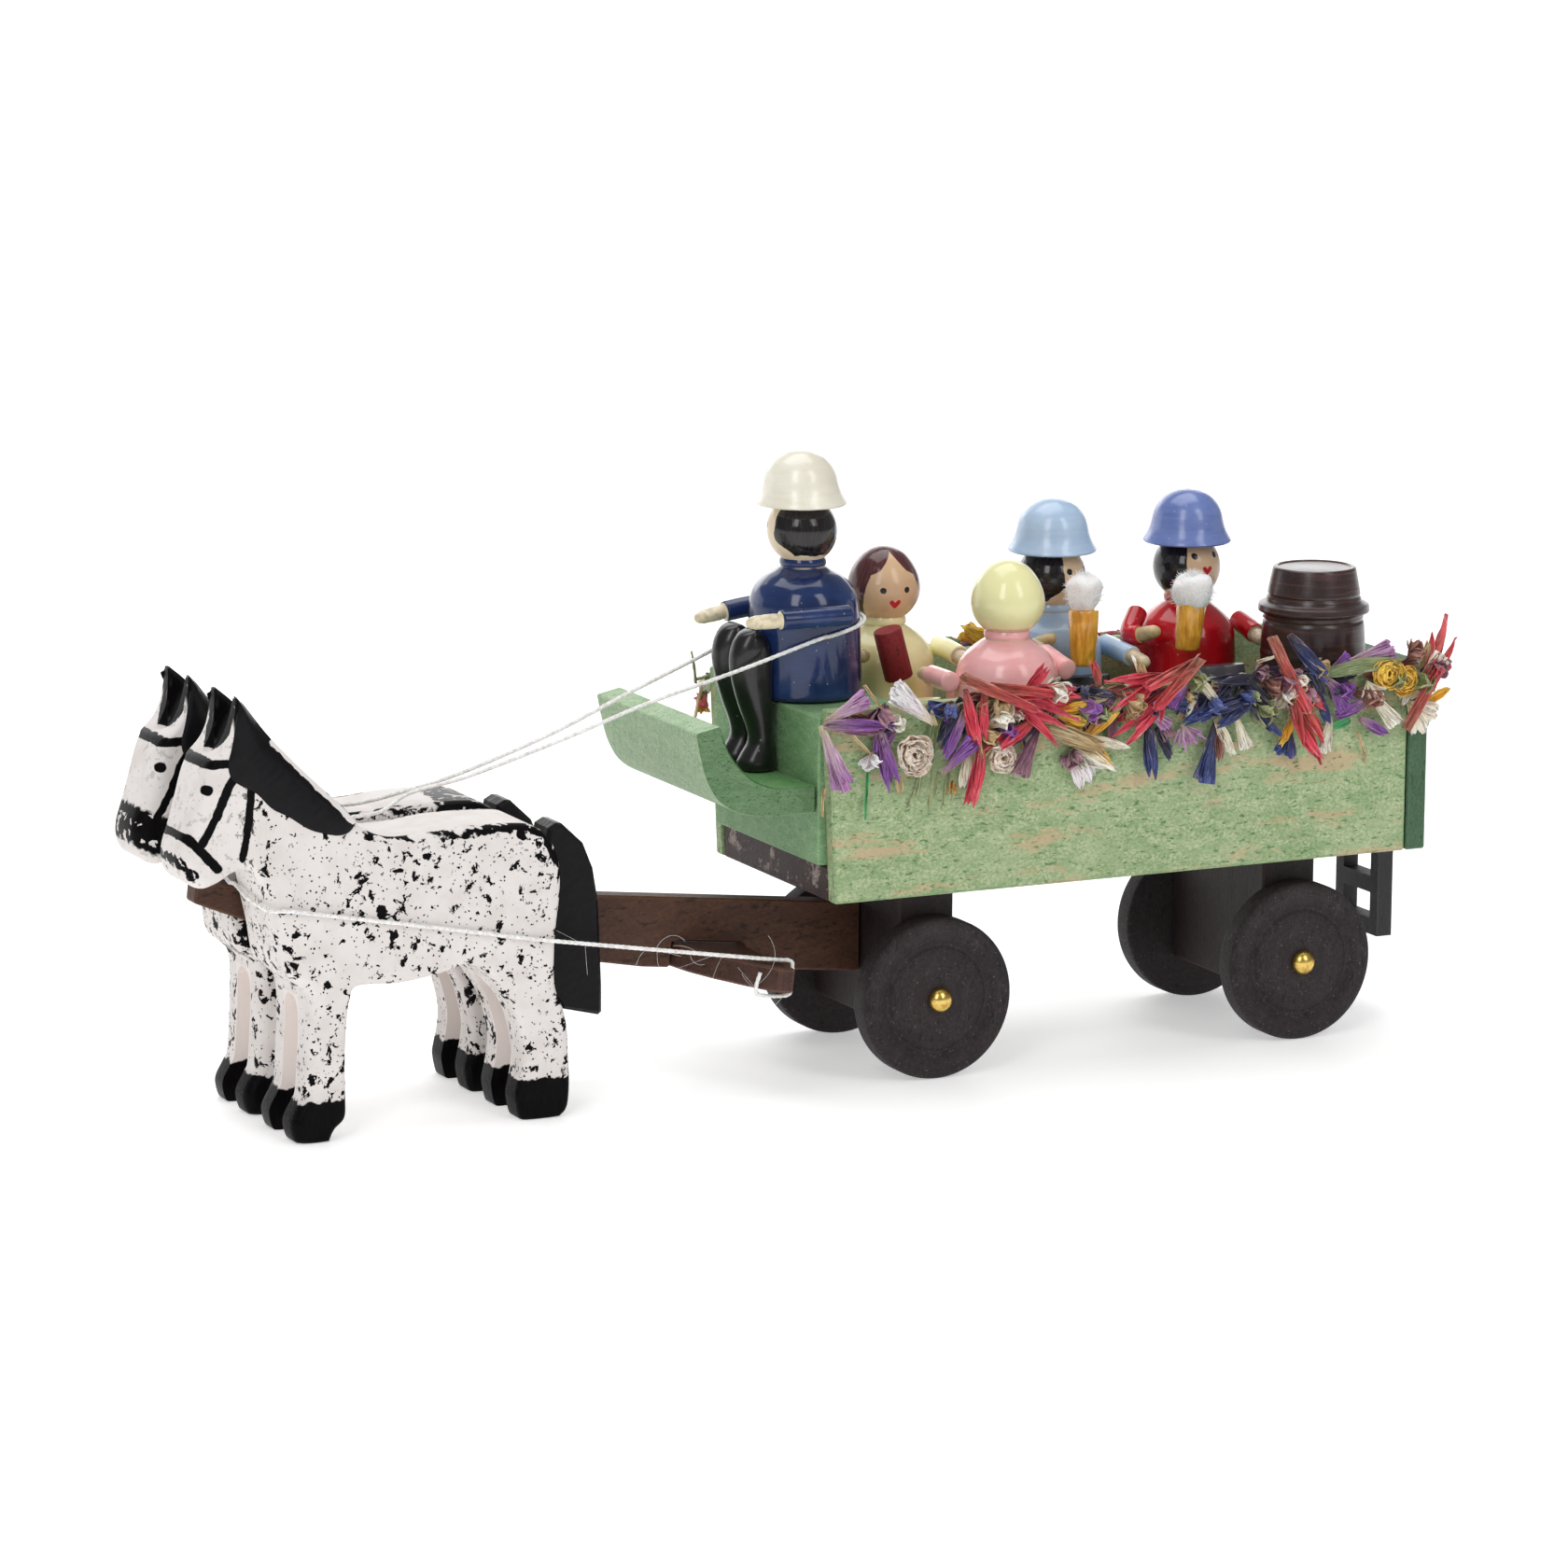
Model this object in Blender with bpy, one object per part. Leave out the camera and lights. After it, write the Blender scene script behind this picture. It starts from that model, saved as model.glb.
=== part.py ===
"""Miniature horse-drawn wagon: a painted wooden toy of turned and sawn pieces.

Two sawn horses pull a flat-sided party wagon by a draw pole.  The wagon rolls on
four turned wheels on brass nails, and its front axle steers under the bed.
Metres, +Z up.  The team stands towards -X and the tail board towards +X.
"""

import math

import bmesh
import bpy
import numpy as np

# Clearances between separate pieces
GLUE_GAP = 0.0002
RUNNING_GAP = 0.00009
TURN_GAP = 0.0003

# Wheels and their brass nails
WHEEL_RADIUS = 0.0070
WHEEL_THICKNESS = 0.0024
WHEEL_GROOVE_RADIUS = 0.0046
WHEEL_GROOVE_DEPTH = 0.00045
WHEEL_TRACK = 0.0188
NAIL_SHANK_RADIUS = 0.0005
NAIL_HEAD_RADIUS = 0.0011
NAIL_HEAD_HEIGHT = 0.0010
NAIL_LENGTH = 0.0068
AXLE_SPACING = 0.03565

# Axle blocks and kingpin
AXLE_BLOCK_THICKNESS = 0.0052
AXLE_BLOCK_BELOW_AXLE = 0.0030
KINGPIN_RADIUS = 0.0006
KINGPIN_HEAD_RADIUS = 0.0013
KINGPIN_HEAD_HEIGHT = 0.0005
KINGPIN_DEPTH = 0.0048

# Wagon box
BOX_WIDTH = 0.0235
BOX_LENGTH = 0.0556
BOX_FRONT_OVERHANG = 0.0105
BOX_UNDERSIDE_HEIGHT = 0.0164
SIDE_BOARD_THICKNESS = 0.0014
SIDE_BOARD_HEIGHT = 0.0166
SIDE_BOARD_RAKE = 0.0008
FLOOR_THICKNESS = 0.0029
TAIL_BOARD_THICKNESS = 0.0019
BOARD_EDGE = 0.00015
BENCH_DEPTH = 0.0072
BENCH_HEIGHT = 0.0061

# Driver's seat and foot board
SEAT_DEPTH = 0.0090
SEAT_PROUD = 0.0009
SEAT_HEIGHT = 0.0127
FOOT_BOARD_HEIGHT = 0.0046
FOOT_BOARD_THICKNESS = 0.0023
FOOT_BOARD_FLAT = 0.0058
FOOT_BOARD_CURVE_RADIUS = 0.0046
FOOT_BOARD_CURVE_ANGLE = math.radians(78)
FOOT_BOARD_LIP = 0.0040

# Ladder on the tail board
LADDER_WIDTH = 0.0073
LADDER_RAIL_WIDTH = 0.0013
LADDER_THICKNESS = 0.0015
LADDER_FOOT_HEIGHT = 0.0068
LADDER_RUNG_HEIGHT = 0.0015
LADDER_RUNG_PITCH = 0.0038
LADDER_RUNGS = 5

# Draw pole and crossbar
POLE_LENGTH = 0.0612
POLE_WIDTH = 0.0020
POLE_DEPTH = 0.0061
POLE_CHEST_DEPTH = 0.0034
POLE_TIP_DEPTH = 0.0016
POLE_TIP_LENGTH = 0.0062
POLE_TAPER_START = 0.0200
POLE_RISE = math.radians(6.4)
POLE_TOP_DROP = 0.00225
CROSSBAR_LENGTH = 0.0224
CROSSBAR_MIDDLE_WIDTH = 0.0066
CROSSBAR_END_WIDTH = 0.0014
CROSSBAR_THICKNESS = 0.0023
CROSSBAR_SETBACK = 0.0107

# Horses
HORSE_HEIGHT = 0.0363
HORSE_EAR_RISE = 0.0009
HORSE_LENGTH = 0.0357
NOSE_REACH = 0.935
HORSE_THICKNESS = 0.0082
HORSE_HEAD_THICKNESS = 0.0062
HORSE_EDGE = 0.0008
HORSE_POLE_GAP = 0.00025
HORSE_HOOF_BACK = 0.0342
LEG_SPLIT_WIDTH = 0.0030
LEG_SPLIT_HEIGHT = 0.0125
EAR_SPLIT_WIDTH = 0.0046
EAR_SPLIT_DEPTH = 0.0041
TAIL_THICKNESS = 0.0034
TAIL_WIDTH = 0.0045
TAIL_RISE = 0.0015
TAIL_DROP = 0.0036

# Turned figures
DRIVER_RADIUS = 0.0048
DRIVER_BODY_HEIGHT = 0.0118
DRIVER_LEAN = 0.035
RIDER_RADIUS = 0.0045
RIDER_BODY_HEIGHT = 0.0118
HEAD_RADIUS = 0.0030
HAIR_THICKNESS = 0.0007
NECK_RADIUS = 0.0019
HAT_BRIM_RADIUS = 0.0039
HAT_HEIGHT = 0.0047
ARM_RADIUS = 0.0009
HAND_RADIUS = 0.0006
DRIVER_LEG_DEPTH = 0.0039
DRIVER_LEG_WIDTH = 0.0030
RIDER_LEG_DEPTH = 0.0034
RIDER_LEG_WIDTH = 0.0025
KNEE_HEIGHT = 0.0062
CUP_RADIUS = 0.0012
CUP_HEIGHT = 0.0043
BEER_RADIUS = 0.0013
BEER_HEIGHT = 0.0049
FROTH_HEIGHT = 0.0027
FROTH_RADIUS = 0.0018

# Barrel
BARREL_HEIGHT = 0.0152
BARREL_END_RADIUS = 0.0036
BARREL_BELLY_RADIUS = 0.0046
BARREL_HOOP_PROUD = 0.0006
BARREL_HOOP_HEIGHT = 0.0011
BARREL_HOOP_OFFSET = 0.0040

# Dried-flower garlands and threads
GARLAND_RISE = 0.0020
GARLAND_DROP = 0.0060
GARLAND_PROUD = 0.0019
GARLAND_TAIL_OVERHANG = 0.0012
THREAD_RADIUS = 0.00018
THREAD_GAP = 0.00015

# Facets round a turned piece
TURN_STEPS = 32
FIGURE_STEPS = 18


# Places worked out from the sizes above

axle_height = WHEEL_RADIUS
wheel_outer_y = WHEEL_TRACK / 2 + WHEEL_THICKNESS / 2
wheel_inner_y = WHEEL_TRACK / 2 - WHEEL_THICKNESS / 2
axle_block_half = wheel_inner_y - GLUE_GAP
rear_axle_x = AXLE_SPACING

box_front_x = -BOX_FRONT_OVERHANG
box_rear_x = box_front_x + BOX_LENGTH
box_bottom = BOX_UNDERSIDE_HEIGHT
box_top = box_bottom + SIDE_BOARD_HEIGHT
box_half = BOX_WIDTH / 2
inner_half = box_half - SIDE_BOARD_THICKNESS - GLUE_GAP
floor_top = box_bottom + FLOOR_THICKNESS

seat_front_x = box_front_x - SEAT_PROUD
seat_rear_x = seat_front_x + SEAT_DEPTH
seat_bottom = floor_top + GLUE_GAP
seat_top = seat_bottom + SEAT_HEIGHT
bench_bottom = floor_top + GLUE_GAP
bench_top = bench_bottom + BENCH_HEIGHT
foot_board_rear_x = seat_front_x - GLUE_GAP
foot_board_bottom = seat_bottom + FOOT_BOARD_HEIGHT
foot_board_top = foot_board_bottom + FOOT_BOARD_THICKNESS

tail_front_x = box_rear_x + GLUE_GAP
tail_rear_x = tail_front_x + TAIL_BOARD_THICKNESS
ladder_front_x = tail_rear_x + GLUE_GAP
ladder_rear_x = ladder_front_x + LADDER_THICKNESS

block_top = box_bottom - TURN_GAP
block_bottom = axle_height - AXLE_BLOCK_BELOW_AXLE
pole_rear_x = -AXLE_BLOCK_THICKNESS / 2 - GLUE_GAP
pole_top = block_top - POLE_TOP_DROP

horse_inner_y = POLE_WIDTH / 2 + HORSE_POLE_GAP
horse_centre_y = horse_inner_y + HORSE_THICKNESS / 2
horse_outer_y = horse_inner_y + HORSE_THICKNESS
horse_front_x = -HORSE_HOOF_BACK - HORSE_LENGTH * NOSE_REACH
horse_ear_top = HORSE_HEIGHT + HORSE_EAR_RISE

# The frame's origin is under the middle of the overall length, on the ground.
middle_x = (ladder_rear_x + horse_front_x) / 2


def clear_scene():
    """Empty the scene before modelling."""
    for old in list(bpy.data.objects):
        bpy.data.objects.remove(old, do_unlink=True)


def place_empty(name, x, y, z, parent=None):
    """A plain pivot that pieces hang on; x is measured from the front axle."""
    pivot = bpy.data.objects.new(name, None)
    bpy.context.scene.collection.objects.link(pivot)
    pivot["place"] = (x, y, z)
    if parent is None:
        pivot.location = (x - middle_x, y, z)
    else:
        pivot.parent = parent
        base = parent["place"]
        pivot.location = (x - base[0], y - base[1], z - base[2])
    return pivot


def paint(name, colour, roughness=0.5, metallic=0.0):
    """One painted finish for one piece."""
    finish = bpy.data.materials.new(name + "_paint")
    finish.use_nodes = True
    shader = finish.node_tree.nodes["Principled BSDF"]
    shader.inputs["Base Color"].default_value = (*colour, 1.0)
    shader.inputs["Roughness"].default_value = roughness
    shader.inputs["Metallic"].default_value = metallic
    return finish


def add_piece(name, points, faces, finish, parent, origin=None, smooth=None):
    """One closed solid from points measured from the front axle's ground point."""
    if origin is None:
        origin = tuple(parent["place"])
    mesh = bpy.data.meshes.new(name)
    shifted = np.asarray(points, dtype=float) - np.asarray(origin, dtype=float)
    mesh.from_pydata([tuple(p) for p in shifted], [], [tuple(f) for f in faces])
    shell = bmesh.new()
    shell.from_mesh(mesh)
    bmesh.ops.remove_doubles(shell, verts=shell.verts, dist=1e-7)
    bmesh.ops.recalc_face_normals(shell, faces=shell.faces)
    shell.to_mesh(mesh)
    shell.free()
    piece = bpy.data.objects.new(name, mesh)
    bpy.context.scene.collection.objects.link(piece)
    piece.parent = parent
    base = parent["place"]
    piece.location = tuple(origin[i] - base[i] for i in range(3))
    mesh.materials.append(finish)
    if smooth is not None:
        mesh.shade_smooth()
        mesh.set_sharp_from_angle(angle=math.radians(smooth))
    return piece


def soften(piece, width, limit=40):
    """Break the sawn edges of a piece with a narrow bevel."""
    bevel = piece.modifiers.new("broken_edges", "BEVEL")
    bevel.width = width
    bevel.segments = 1
    bevel.limit_method = "ANGLE"
    bevel.angle_limit = math.radians(limit)
    return bevel


def cut(piece, cutter):
    """Cut one piece with a hidden cutter."""
    cutter.hide_render = True
    cutter.display_type = "WIRE"
    hole = piece.modifiers.new(cutter.name, "BOOLEAN")
    hole.operation = "DIFFERENCE"
    hole.solver = "EXACT"
    hole.object = cutter


def ring_faces(rings, count, closed_ends=True, closed_loop=False):
    """Quads between rings of count points each, with flat ends or a closed loop."""
    faces = []
    last = rings if closed_loop else rings - 1
    for r in range(last):
        a = r * count
        b = ((r + 1) % rings) * count
        for k in range(count):
            n = (k + 1) % count
            faces.append((a + k, a + n, b + n, b + k))
    if closed_ends and not closed_loop:
        faces.append(tuple(reversed(range(count))))
        faces.append(tuple(range((rings - 1) * count, rings * count)))
    return faces


def extruded(outline, low, high, axis):
    """An outline carried along one axis: 'x' takes (y, z), 'y' (x, z), 'z' (x, y)."""
    rings = []
    for level in (low, high):
        for a, b in outline:
            if axis == "x":
                rings.append((level, a, b))
            elif axis == "y":
                rings.append((a, level, b))
            else:
                rings.append((a, b, level))
    return rings, ring_faces(2, len(outline))


def turned(profile, centre, axis, steps, bored=False):
    """A turned piece: profile gives (radius, height) up the axis.

    A bored piece is a closed loop of the profile round its hole, and any other
    profile ends in small flat faces on the axis.
    """
    points = []
    for radius, height in profile:
        for k in range(steps):
            angle = 2 * math.pi * k / steps
            u = radius * math.cos(angle)
            v = radius * math.sin(angle)
            if axis == "z":
                points.append((centre[0] + u, centre[1] + v, centre[2] + height))
            elif axis == "y":
                points.append((centre[0] + u, centre[1] + height, centre[2] + v))
            else:
                points.append((centre[0] + height, centre[1] + u, centre[2] + v))
    return points, ring_faces(len(profile), steps, not bored, bored)


def swept(path, section, side):
    """A section (side, across) carried along a bent path, square to it.

    side is the fixed direction of the section's first coordinate.
    """
    path = np.asarray(path, dtype=float)
    side = np.asarray(side, dtype=float)
    side = side / np.linalg.norm(side)
    tangents = np.gradient(path, axis=0)
    points = []
    for i, centre in enumerate(path):
        along = tangents[i] / np.linalg.norm(tangents[i])
        across = np.cross(along, side)
        across = across / np.linalg.norm(across)
        for s, t in section(i / (len(path) - 1)):
            points.append(tuple(centre + side * s + across * t))
    count = len(points) // len(path)
    return points, ring_faces(len(path), count)


def smooth_curve(knots, count, closed=False):
    """Points read at even spacing from a Catmull-Rom curve through the knots."""
    knots = np.asarray(knots, dtype=float)
    if closed:
        ends = np.vstack([knots[-1], knots, knots[0], knots[1]])
    else:
        ends = np.vstack([2 * knots[0] - knots[1], knots, 2 * knots[-1] - knots[-2]])
    spans = len(ends) - 3
    fine = []
    for s in range(spans):
        p0, p1, p2, p3 = ends[s:s + 4]
        for t in np.linspace(0, 1, 16, endpoint=False):
            fine.append(0.5 * (2 * p1 + (p2 - p0) * t + (2 * p0 - 5 * p1 + 4 * p2 - p3) * t**2
                               + (3 * p1 - p0 - 3 * p2 + p3) * t**3))
    fine.append(ends[-2])
    fine = np.array(fine)
    steps = np.linalg.norm(np.diff(fine, axis=0), axis=1)
    length = np.concatenate([[0], np.cumsum(steps)])
    last = count + 1 if closed else count
    wanted = np.linspace(0, length[-1], last)[:count]
    return np.stack([np.interp(wanted, length, fine[:, i]) for i in range(fine.shape[1])], axis=1)


def ellipse(a, b, steps=10):
    """A flat oval of half widths a and b."""
    turns = [2 * math.pi * (k + 0.5) / steps for k in range(steps)]
    return [(a * math.cos(t), b * math.sin(t)) for t in turns]


clear_scene()
wagon = place_empty("wagon_pivot", 0, 0, 0)
steering = place_empty("steering_pivot", 0, 0, axle_height)


# Floor board: dark plank under the whole bed, with a sunk hole for the kingpin's head
outline = [(box_front_x, box_bottom), (box_rear_x, box_bottom), (box_rear_x, floor_top), (box_front_x, floor_top)]
points, faces = extruded(outline, -inner_half, inner_half, "y")
floor_board = add_piece("floor_board", points, faces, paint("floor_board", (0.075, 0.042, 0.042), 0.6), wagon)
soften(floor_board, BOARD_EDGE)
sink = KINGPIN_HEAD_HEIGHT + GLUE_GAP * 2
profile = [(KINGPIN_RADIUS + GLUE_GAP, box_bottom - 0.001), (KINGPIN_RADIUS + GLUE_GAP, floor_top - sink),
           (KINGPIN_HEAD_RADIUS + GLUE_GAP, floor_top - sink), (KINGPIN_HEAD_RADIUS + GLUE_GAP, floor_top + 0.001)]
points, faces = turned(profile, (0, 0, 0), "z", 16)
cut(floor_board, add_piece("floor_hole", points, faces, paint("floor_hole", (0.5, 0.5, 0.5)), wagon))


# Side boards: thin planed boards on edge, raked a little forward at the top
for side, label in ((-1, "left"), (1, "right")):
    outline = [(box_front_x, box_bottom), (box_rear_x, box_bottom),
               (box_rear_x, box_top), (box_front_x - SIDE_BOARD_RAKE, box_top)]
    inner = side * (box_half - SIDE_BOARD_THICKNESS)
    points, faces = extruded(outline, inner, side * box_half, "y")
    board = add_piece("side_board_" + label, points, faces,
                      paint("side_board_" + label, (0.35, 0.55, 0.30), 0.55), wagon)
    soften(board, BOARD_EDGE)


# Tail board: closes the box behind the side boards over its full width
outline = [(-box_half, box_bottom), (box_half, box_bottom), (box_half, box_top), (-box_half, box_top)]
points, faces = extruded(outline, tail_front_x, tail_rear_x, "x")
tail_board = add_piece("tail_board", points, faces, paint("tail_board", (0.05, 0.14, 0.08), 0.55), wagon)
soften(tail_board, BOARD_EDGE)


# Seat block: a solid block between the side boards that stands a little proud of them
outline = [(seat_front_x, seat_bottom), (seat_rear_x, seat_bottom), (seat_rear_x, seat_top), (seat_front_x, seat_top)]
points, faces = extruded(outline, -inner_half, inner_half, "y")
seat_block = add_piece("seat_block", points, faces, paint("seat_block", (0.10, 0.28, 0.11), 0.6), wagon)
soften(seat_block, BOARD_EDGE)


# Foot board: a thick board glued to the seat's front, its front end bent up as a dash
bend_x = foot_board_rear_x - FOOT_BOARD_FLAT
outer_curve = []
inner_curve = []
bend_z = foot_board_bottom + FOOT_BOARD_CURVE_RADIUS
inner_radius = FOOT_BOARD_CURVE_RADIUS - FOOT_BOARD_THICKNESS
for k in range(8):
    angle = FOOT_BOARD_CURVE_ANGLE * k / 7
    outer_curve.append((bend_x - FOOT_BOARD_CURVE_RADIUS * math.sin(angle),
                        bend_z - FOOT_BOARD_CURVE_RADIUS * math.cos(angle)))
    inner_curve.append((bend_x - inner_radius * math.sin(angle), bend_z - inner_radius * math.cos(angle)))
lip = (-FOOT_BOARD_LIP * math.cos(FOOT_BOARD_CURVE_ANGLE), FOOT_BOARD_LIP * math.sin(FOOT_BOARD_CURVE_ANGLE))
outer_tip = (outer_curve[-1][0] + lip[0], outer_curve[-1][1] + lip[1])
inner_tip = (inner_curve[-1][0] + lip[0], inner_curve[-1][1] + lip[1])
outline = [(foot_board_rear_x, foot_board_bottom)] + outer_curve + [outer_tip, inner_tip]
outline += inner_curve[::-1] + [(foot_board_rear_x, foot_board_top)]
points, faces = extruded(outline, -inner_half, inner_half, "y")
foot_board = add_piece("foot_board", points, faces, paint("foot_board", (0.10, 0.26, 0.12), 0.6), wagon)
soften(foot_board, BOARD_EDGE, 60)


# Benches: a long block down each side of the bed
for side, label in ((-1, "left"), (1, "right")):
    front = seat_rear_x + GLUE_GAP
    rear = box_rear_x - GLUE_GAP
    inner = side * (inner_half - BENCH_DEPTH)
    outline = [(inner, bench_bottom), (side * inner_half, bench_bottom), (side * inner_half, bench_top), (inner, bench_top)]
    points, faces = extruded(outline, front, rear, "x")
    bench = add_piece("bench_" + label, points, faces, paint("bench_" + label, (0.12, 0.30, 0.14), 0.6), wagon)
    soften(bench, BOARD_EDGE)


# Axle blocks: boards on edge from the floor down past the axle, bored at each end
def axle_block(name, x, parent, colour):
    """One axle block with a nail hole in each end."""
    low = x - AXLE_BLOCK_THICKNESS / 2
    high = x + AXLE_BLOCK_THICKNESS / 2
    outline = [(low, block_bottom), (high, block_bottom), (high, block_top), (low, block_top)]
    points, faces = extruded(outline, -axle_block_half, axle_block_half, "y")
    block = add_piece(name, points, faces, paint(name, colour, 0.6), parent)
    soften(block, BOARD_EDGE)
    reach = NAIL_LENGTH - WHEEL_THICKNESS
    for side in (-1, 1):
        hole = [(NAIL_SHANK_RADIUS + GLUE_GAP, 0), (NAIL_SHANK_RADIUS + GLUE_GAP, reach + 0.001)]
        centre = (x, side * (axle_block_half + 0.001) - (reach + 0.001 if side > 0 else 0), axle_height)
        points, faces = turned(hole, centre, "y", 10)
        label = "right" if side > 0 else "left"
        cut(block, add_piece(name + "_bore_" + label, points, faces, paint(name + "_bore", (0.5, 0.5, 0.5)), parent))
    return block


axle_block("rear_axle_block", rear_axle_x, wagon, (0.028, 0.014, 0.014))
front_block = axle_block("front_axle_block", 0, steering, (0.030, 0.015, 0.015))
pin_bottom = block_top - KINGPIN_DEPTH
points, faces = turned([(KINGPIN_RADIUS + RUNNING_GAP, pin_bottom - GLUE_GAP), (KINGPIN_RADIUS + RUNNING_GAP, block_top + 0.001)],
                       (0, 0, 0), "z", 16)
cut(front_block, add_piece("kingpin_bore", points, faces, paint("kingpin_bore", (0.5, 0.5, 0.5)), steering))


# Kingpin: a nail let into the floor board, on which the front axle turns
head_z = floor_top - KINGPIN_HEAD_HEIGHT - GLUE_GAP
profile = [(KINGPIN_RADIUS * 0.4, pin_bottom), (KINGPIN_RADIUS, pin_bottom + KINGPIN_RADIUS),
           (KINGPIN_RADIUS, head_z), (KINGPIN_HEAD_RADIUS, head_z),
           (KINGPIN_HEAD_RADIUS * 0.9, head_z + KINGPIN_HEAD_HEIGHT * 0.6),
           (KINGPIN_HEAD_RADIUS * 0.4, head_z + KINGPIN_HEAD_HEIGHT)]
points, faces = turned(profile, (0, 0, 0), "z", 12)
add_piece("kingpin", points, faces, paint("kingpin", (0.55, 0.40, 0.14), 0.3, 1.0), wagon, smooth=40)


# Wheels: turned discs with a rounded rim, a groove and a slightly domed hub
bore_radius = NAIL_SHANK_RADIUS + RUNNING_GAP
wheel_profile = [
    (bore_radius, 0.0),
    (WHEEL_RADIUS - 0.0003, 0.0),
    (WHEEL_RADIUS, 0.0003),
    (WHEEL_RADIUS, WHEEL_THICKNESS - 0.0005),
    (WHEEL_RADIUS - 0.0002, WHEEL_THICKNESS - 0.0002),
    (WHEEL_RADIUS - 0.0006, WHEEL_THICKNESS),
    (WHEEL_GROOVE_RADIUS + 0.0006, WHEEL_THICKNESS - WHEEL_GROOVE_DEPTH * 0.6),
    (WHEEL_GROOVE_RADIUS, WHEEL_THICKNESS - WHEEL_GROOVE_DEPTH),
    (WHEEL_GROOVE_RADIUS - 0.0003, WHEEL_THICKNESS - WHEEL_GROOVE_DEPTH * 0.4),
    (WHEEL_GROOVE_RADIUS * 0.5, WHEEL_THICKNESS),
    (bore_radius, WHEEL_THICKNESS),
]
nail_tip = WHEEL_THICKNESS - NAIL_LENGTH
nail_head = WHEEL_THICKNESS + RUNNING_GAP
nail_profile = [
    (NAIL_SHANK_RADIUS * 0.4, nail_tip),
    (NAIL_SHANK_RADIUS, nail_tip + NAIL_SHANK_RADIUS),
    (NAIL_SHANK_RADIUS, nail_head),
    (NAIL_HEAD_RADIUS, nail_head),
    (NAIL_HEAD_RADIUS * 0.95, nail_head + NAIL_HEAD_HEIGHT * 0.35),
    (NAIL_HEAD_RADIUS * 0.72, nail_head + NAIL_HEAD_HEIGHT * 0.75),
    (NAIL_HEAD_RADIUS * 0.30, nail_head + NAIL_HEAD_HEIGHT),
]
for end, x, parent in (("front", 0, steering), ("rear", rear_axle_x, wagon)):
    for side, label in ((-1, "left"), (1, "right")):
        hub = place_empty("axle_%s_%s" % (end, label), x, side * wheel_inner_y, axle_height, parent)
        centre = tuple(hub["place"])
        points, faces = turned([(r, side * h) for r, h in wheel_profile], centre, "y", TURN_STEPS, True)
        add_piece("wheel_%s_%s" % (end, label), points, faces,
                  paint("wheel_%s_%s" % (end, label), (0.032, 0.027, 0.030), 0.65), hub, smooth=40)
        points, faces = turned([(r, side * h) for r, h in nail_profile], centre, "y", 12)
        add_piece("nail_%s_%s" % (end, label), points, faces,
                  paint("nail_%s_%s" % (end, label), (0.72, 0.50, 0.16), 0.25, 1.0), parent, smooth=40)


# Ladder: two rails and their rungs cut in one piece, nailed to the tail board's back
rail = LADDER_RAIL_WIDTH
half = LADDER_WIDTH / 2
columns = [-half, -half + rail, half - rail, half]
levels = [LADDER_FOOT_HEIGHT]
for k in range(LADDER_RUNGS):
    low = LADDER_FOOT_HEIGHT + LADDER_RUNG_PITCH * k
    if k > 0:
        levels.append(low)
    levels.append(low + LADDER_RUNG_HEIGHT)
levels.append(levels[-1] + (LADDER_RUNG_PITCH - LADDER_RUNG_HEIGHT) / 2)
sheet = bmesh.new()
grid = [[sheet.verts.new((ladder_front_x, y, z)) for y in columns] for z in levels]
for row in range(len(levels) - 1):
    for column in range(3):
        if column == 1 and row % 2 == 1:
            continue
        corners = [grid[row][column], grid[row][column + 1], grid[row + 1][column + 1], grid[row + 1][column]]
        sheet.faces.new(corners)
grown = bmesh.ops.extrude_face_region(sheet, geom=sheet.faces[:])
moved = [g for g in grown["geom"] if isinstance(g, bmesh.types.BMVert)]
bmesh.ops.translate(sheet, verts=moved, vec=(LADDER_THICKNESS, 0, 0))
sheet.verts.index_update()
points = [tuple(v.co) for v in sheet.verts]
faces = [[v.index for v in f.verts] for f in sheet.faces]
sheet.free()
add_piece("ladder", points, faces, paint("ladder", (0.020, 0.018, 0.020), 0.5), wagon)


# Draw pole: a flat bar on edge that rises forward from the front axle block
def on_pole(forward, up, y=0.0):
    """A point of the tilted pole: forward along its top edge, up square to it."""
    x = pole_rear_x - forward * math.cos(POLE_RISE) + up * math.sin(POLE_RISE)
    z = pole_top + forward * math.sin(POLE_RISE) + up * math.cos(POLE_RISE)
    return (x, y, z)


notch_top = -(POLE_DEPTH - CROSSBAR_THICKNESS)
notch_rear = CROSSBAR_SETBACK - GLUE_GAP
notch_front = CROSSBAR_SETBACK + CROSSBAR_MIDDLE_WIDTH + GLUE_GAP
pole_outline = [
    (0, 0), (0, -POLE_DEPTH), (notch_rear, -POLE_DEPTH), (notch_rear, notch_top), (notch_front, notch_top),
    (notch_front, -POLE_DEPTH), (POLE_TAPER_START, -POLE_DEPTH),
    (POLE_LENGTH - POLE_TIP_LENGTH, -POLE_CHEST_DEPTH), (POLE_LENGTH, -POLE_TIP_DEPTH), (POLE_LENGTH, 0),
]
points = []
for y in (-POLE_WIDTH / 2, POLE_WIDTH / 2):
    points += [on_pole(f, u, y) for f, u in pole_outline]
# The pole's rear end is trimmed upright where it meets the axle block.
for k in (1, len(pole_outline) + 1):
    points[k] = (pole_rear_x, points[k][1], points[k][2])
pole = add_piece("draw_pole", points, ring_faces(2, len(pole_outline)),
                 paint("draw_pole", (0.085, 0.030, 0.014), 0.5), steering)
soften(pole, BOARD_EDGE)


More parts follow.
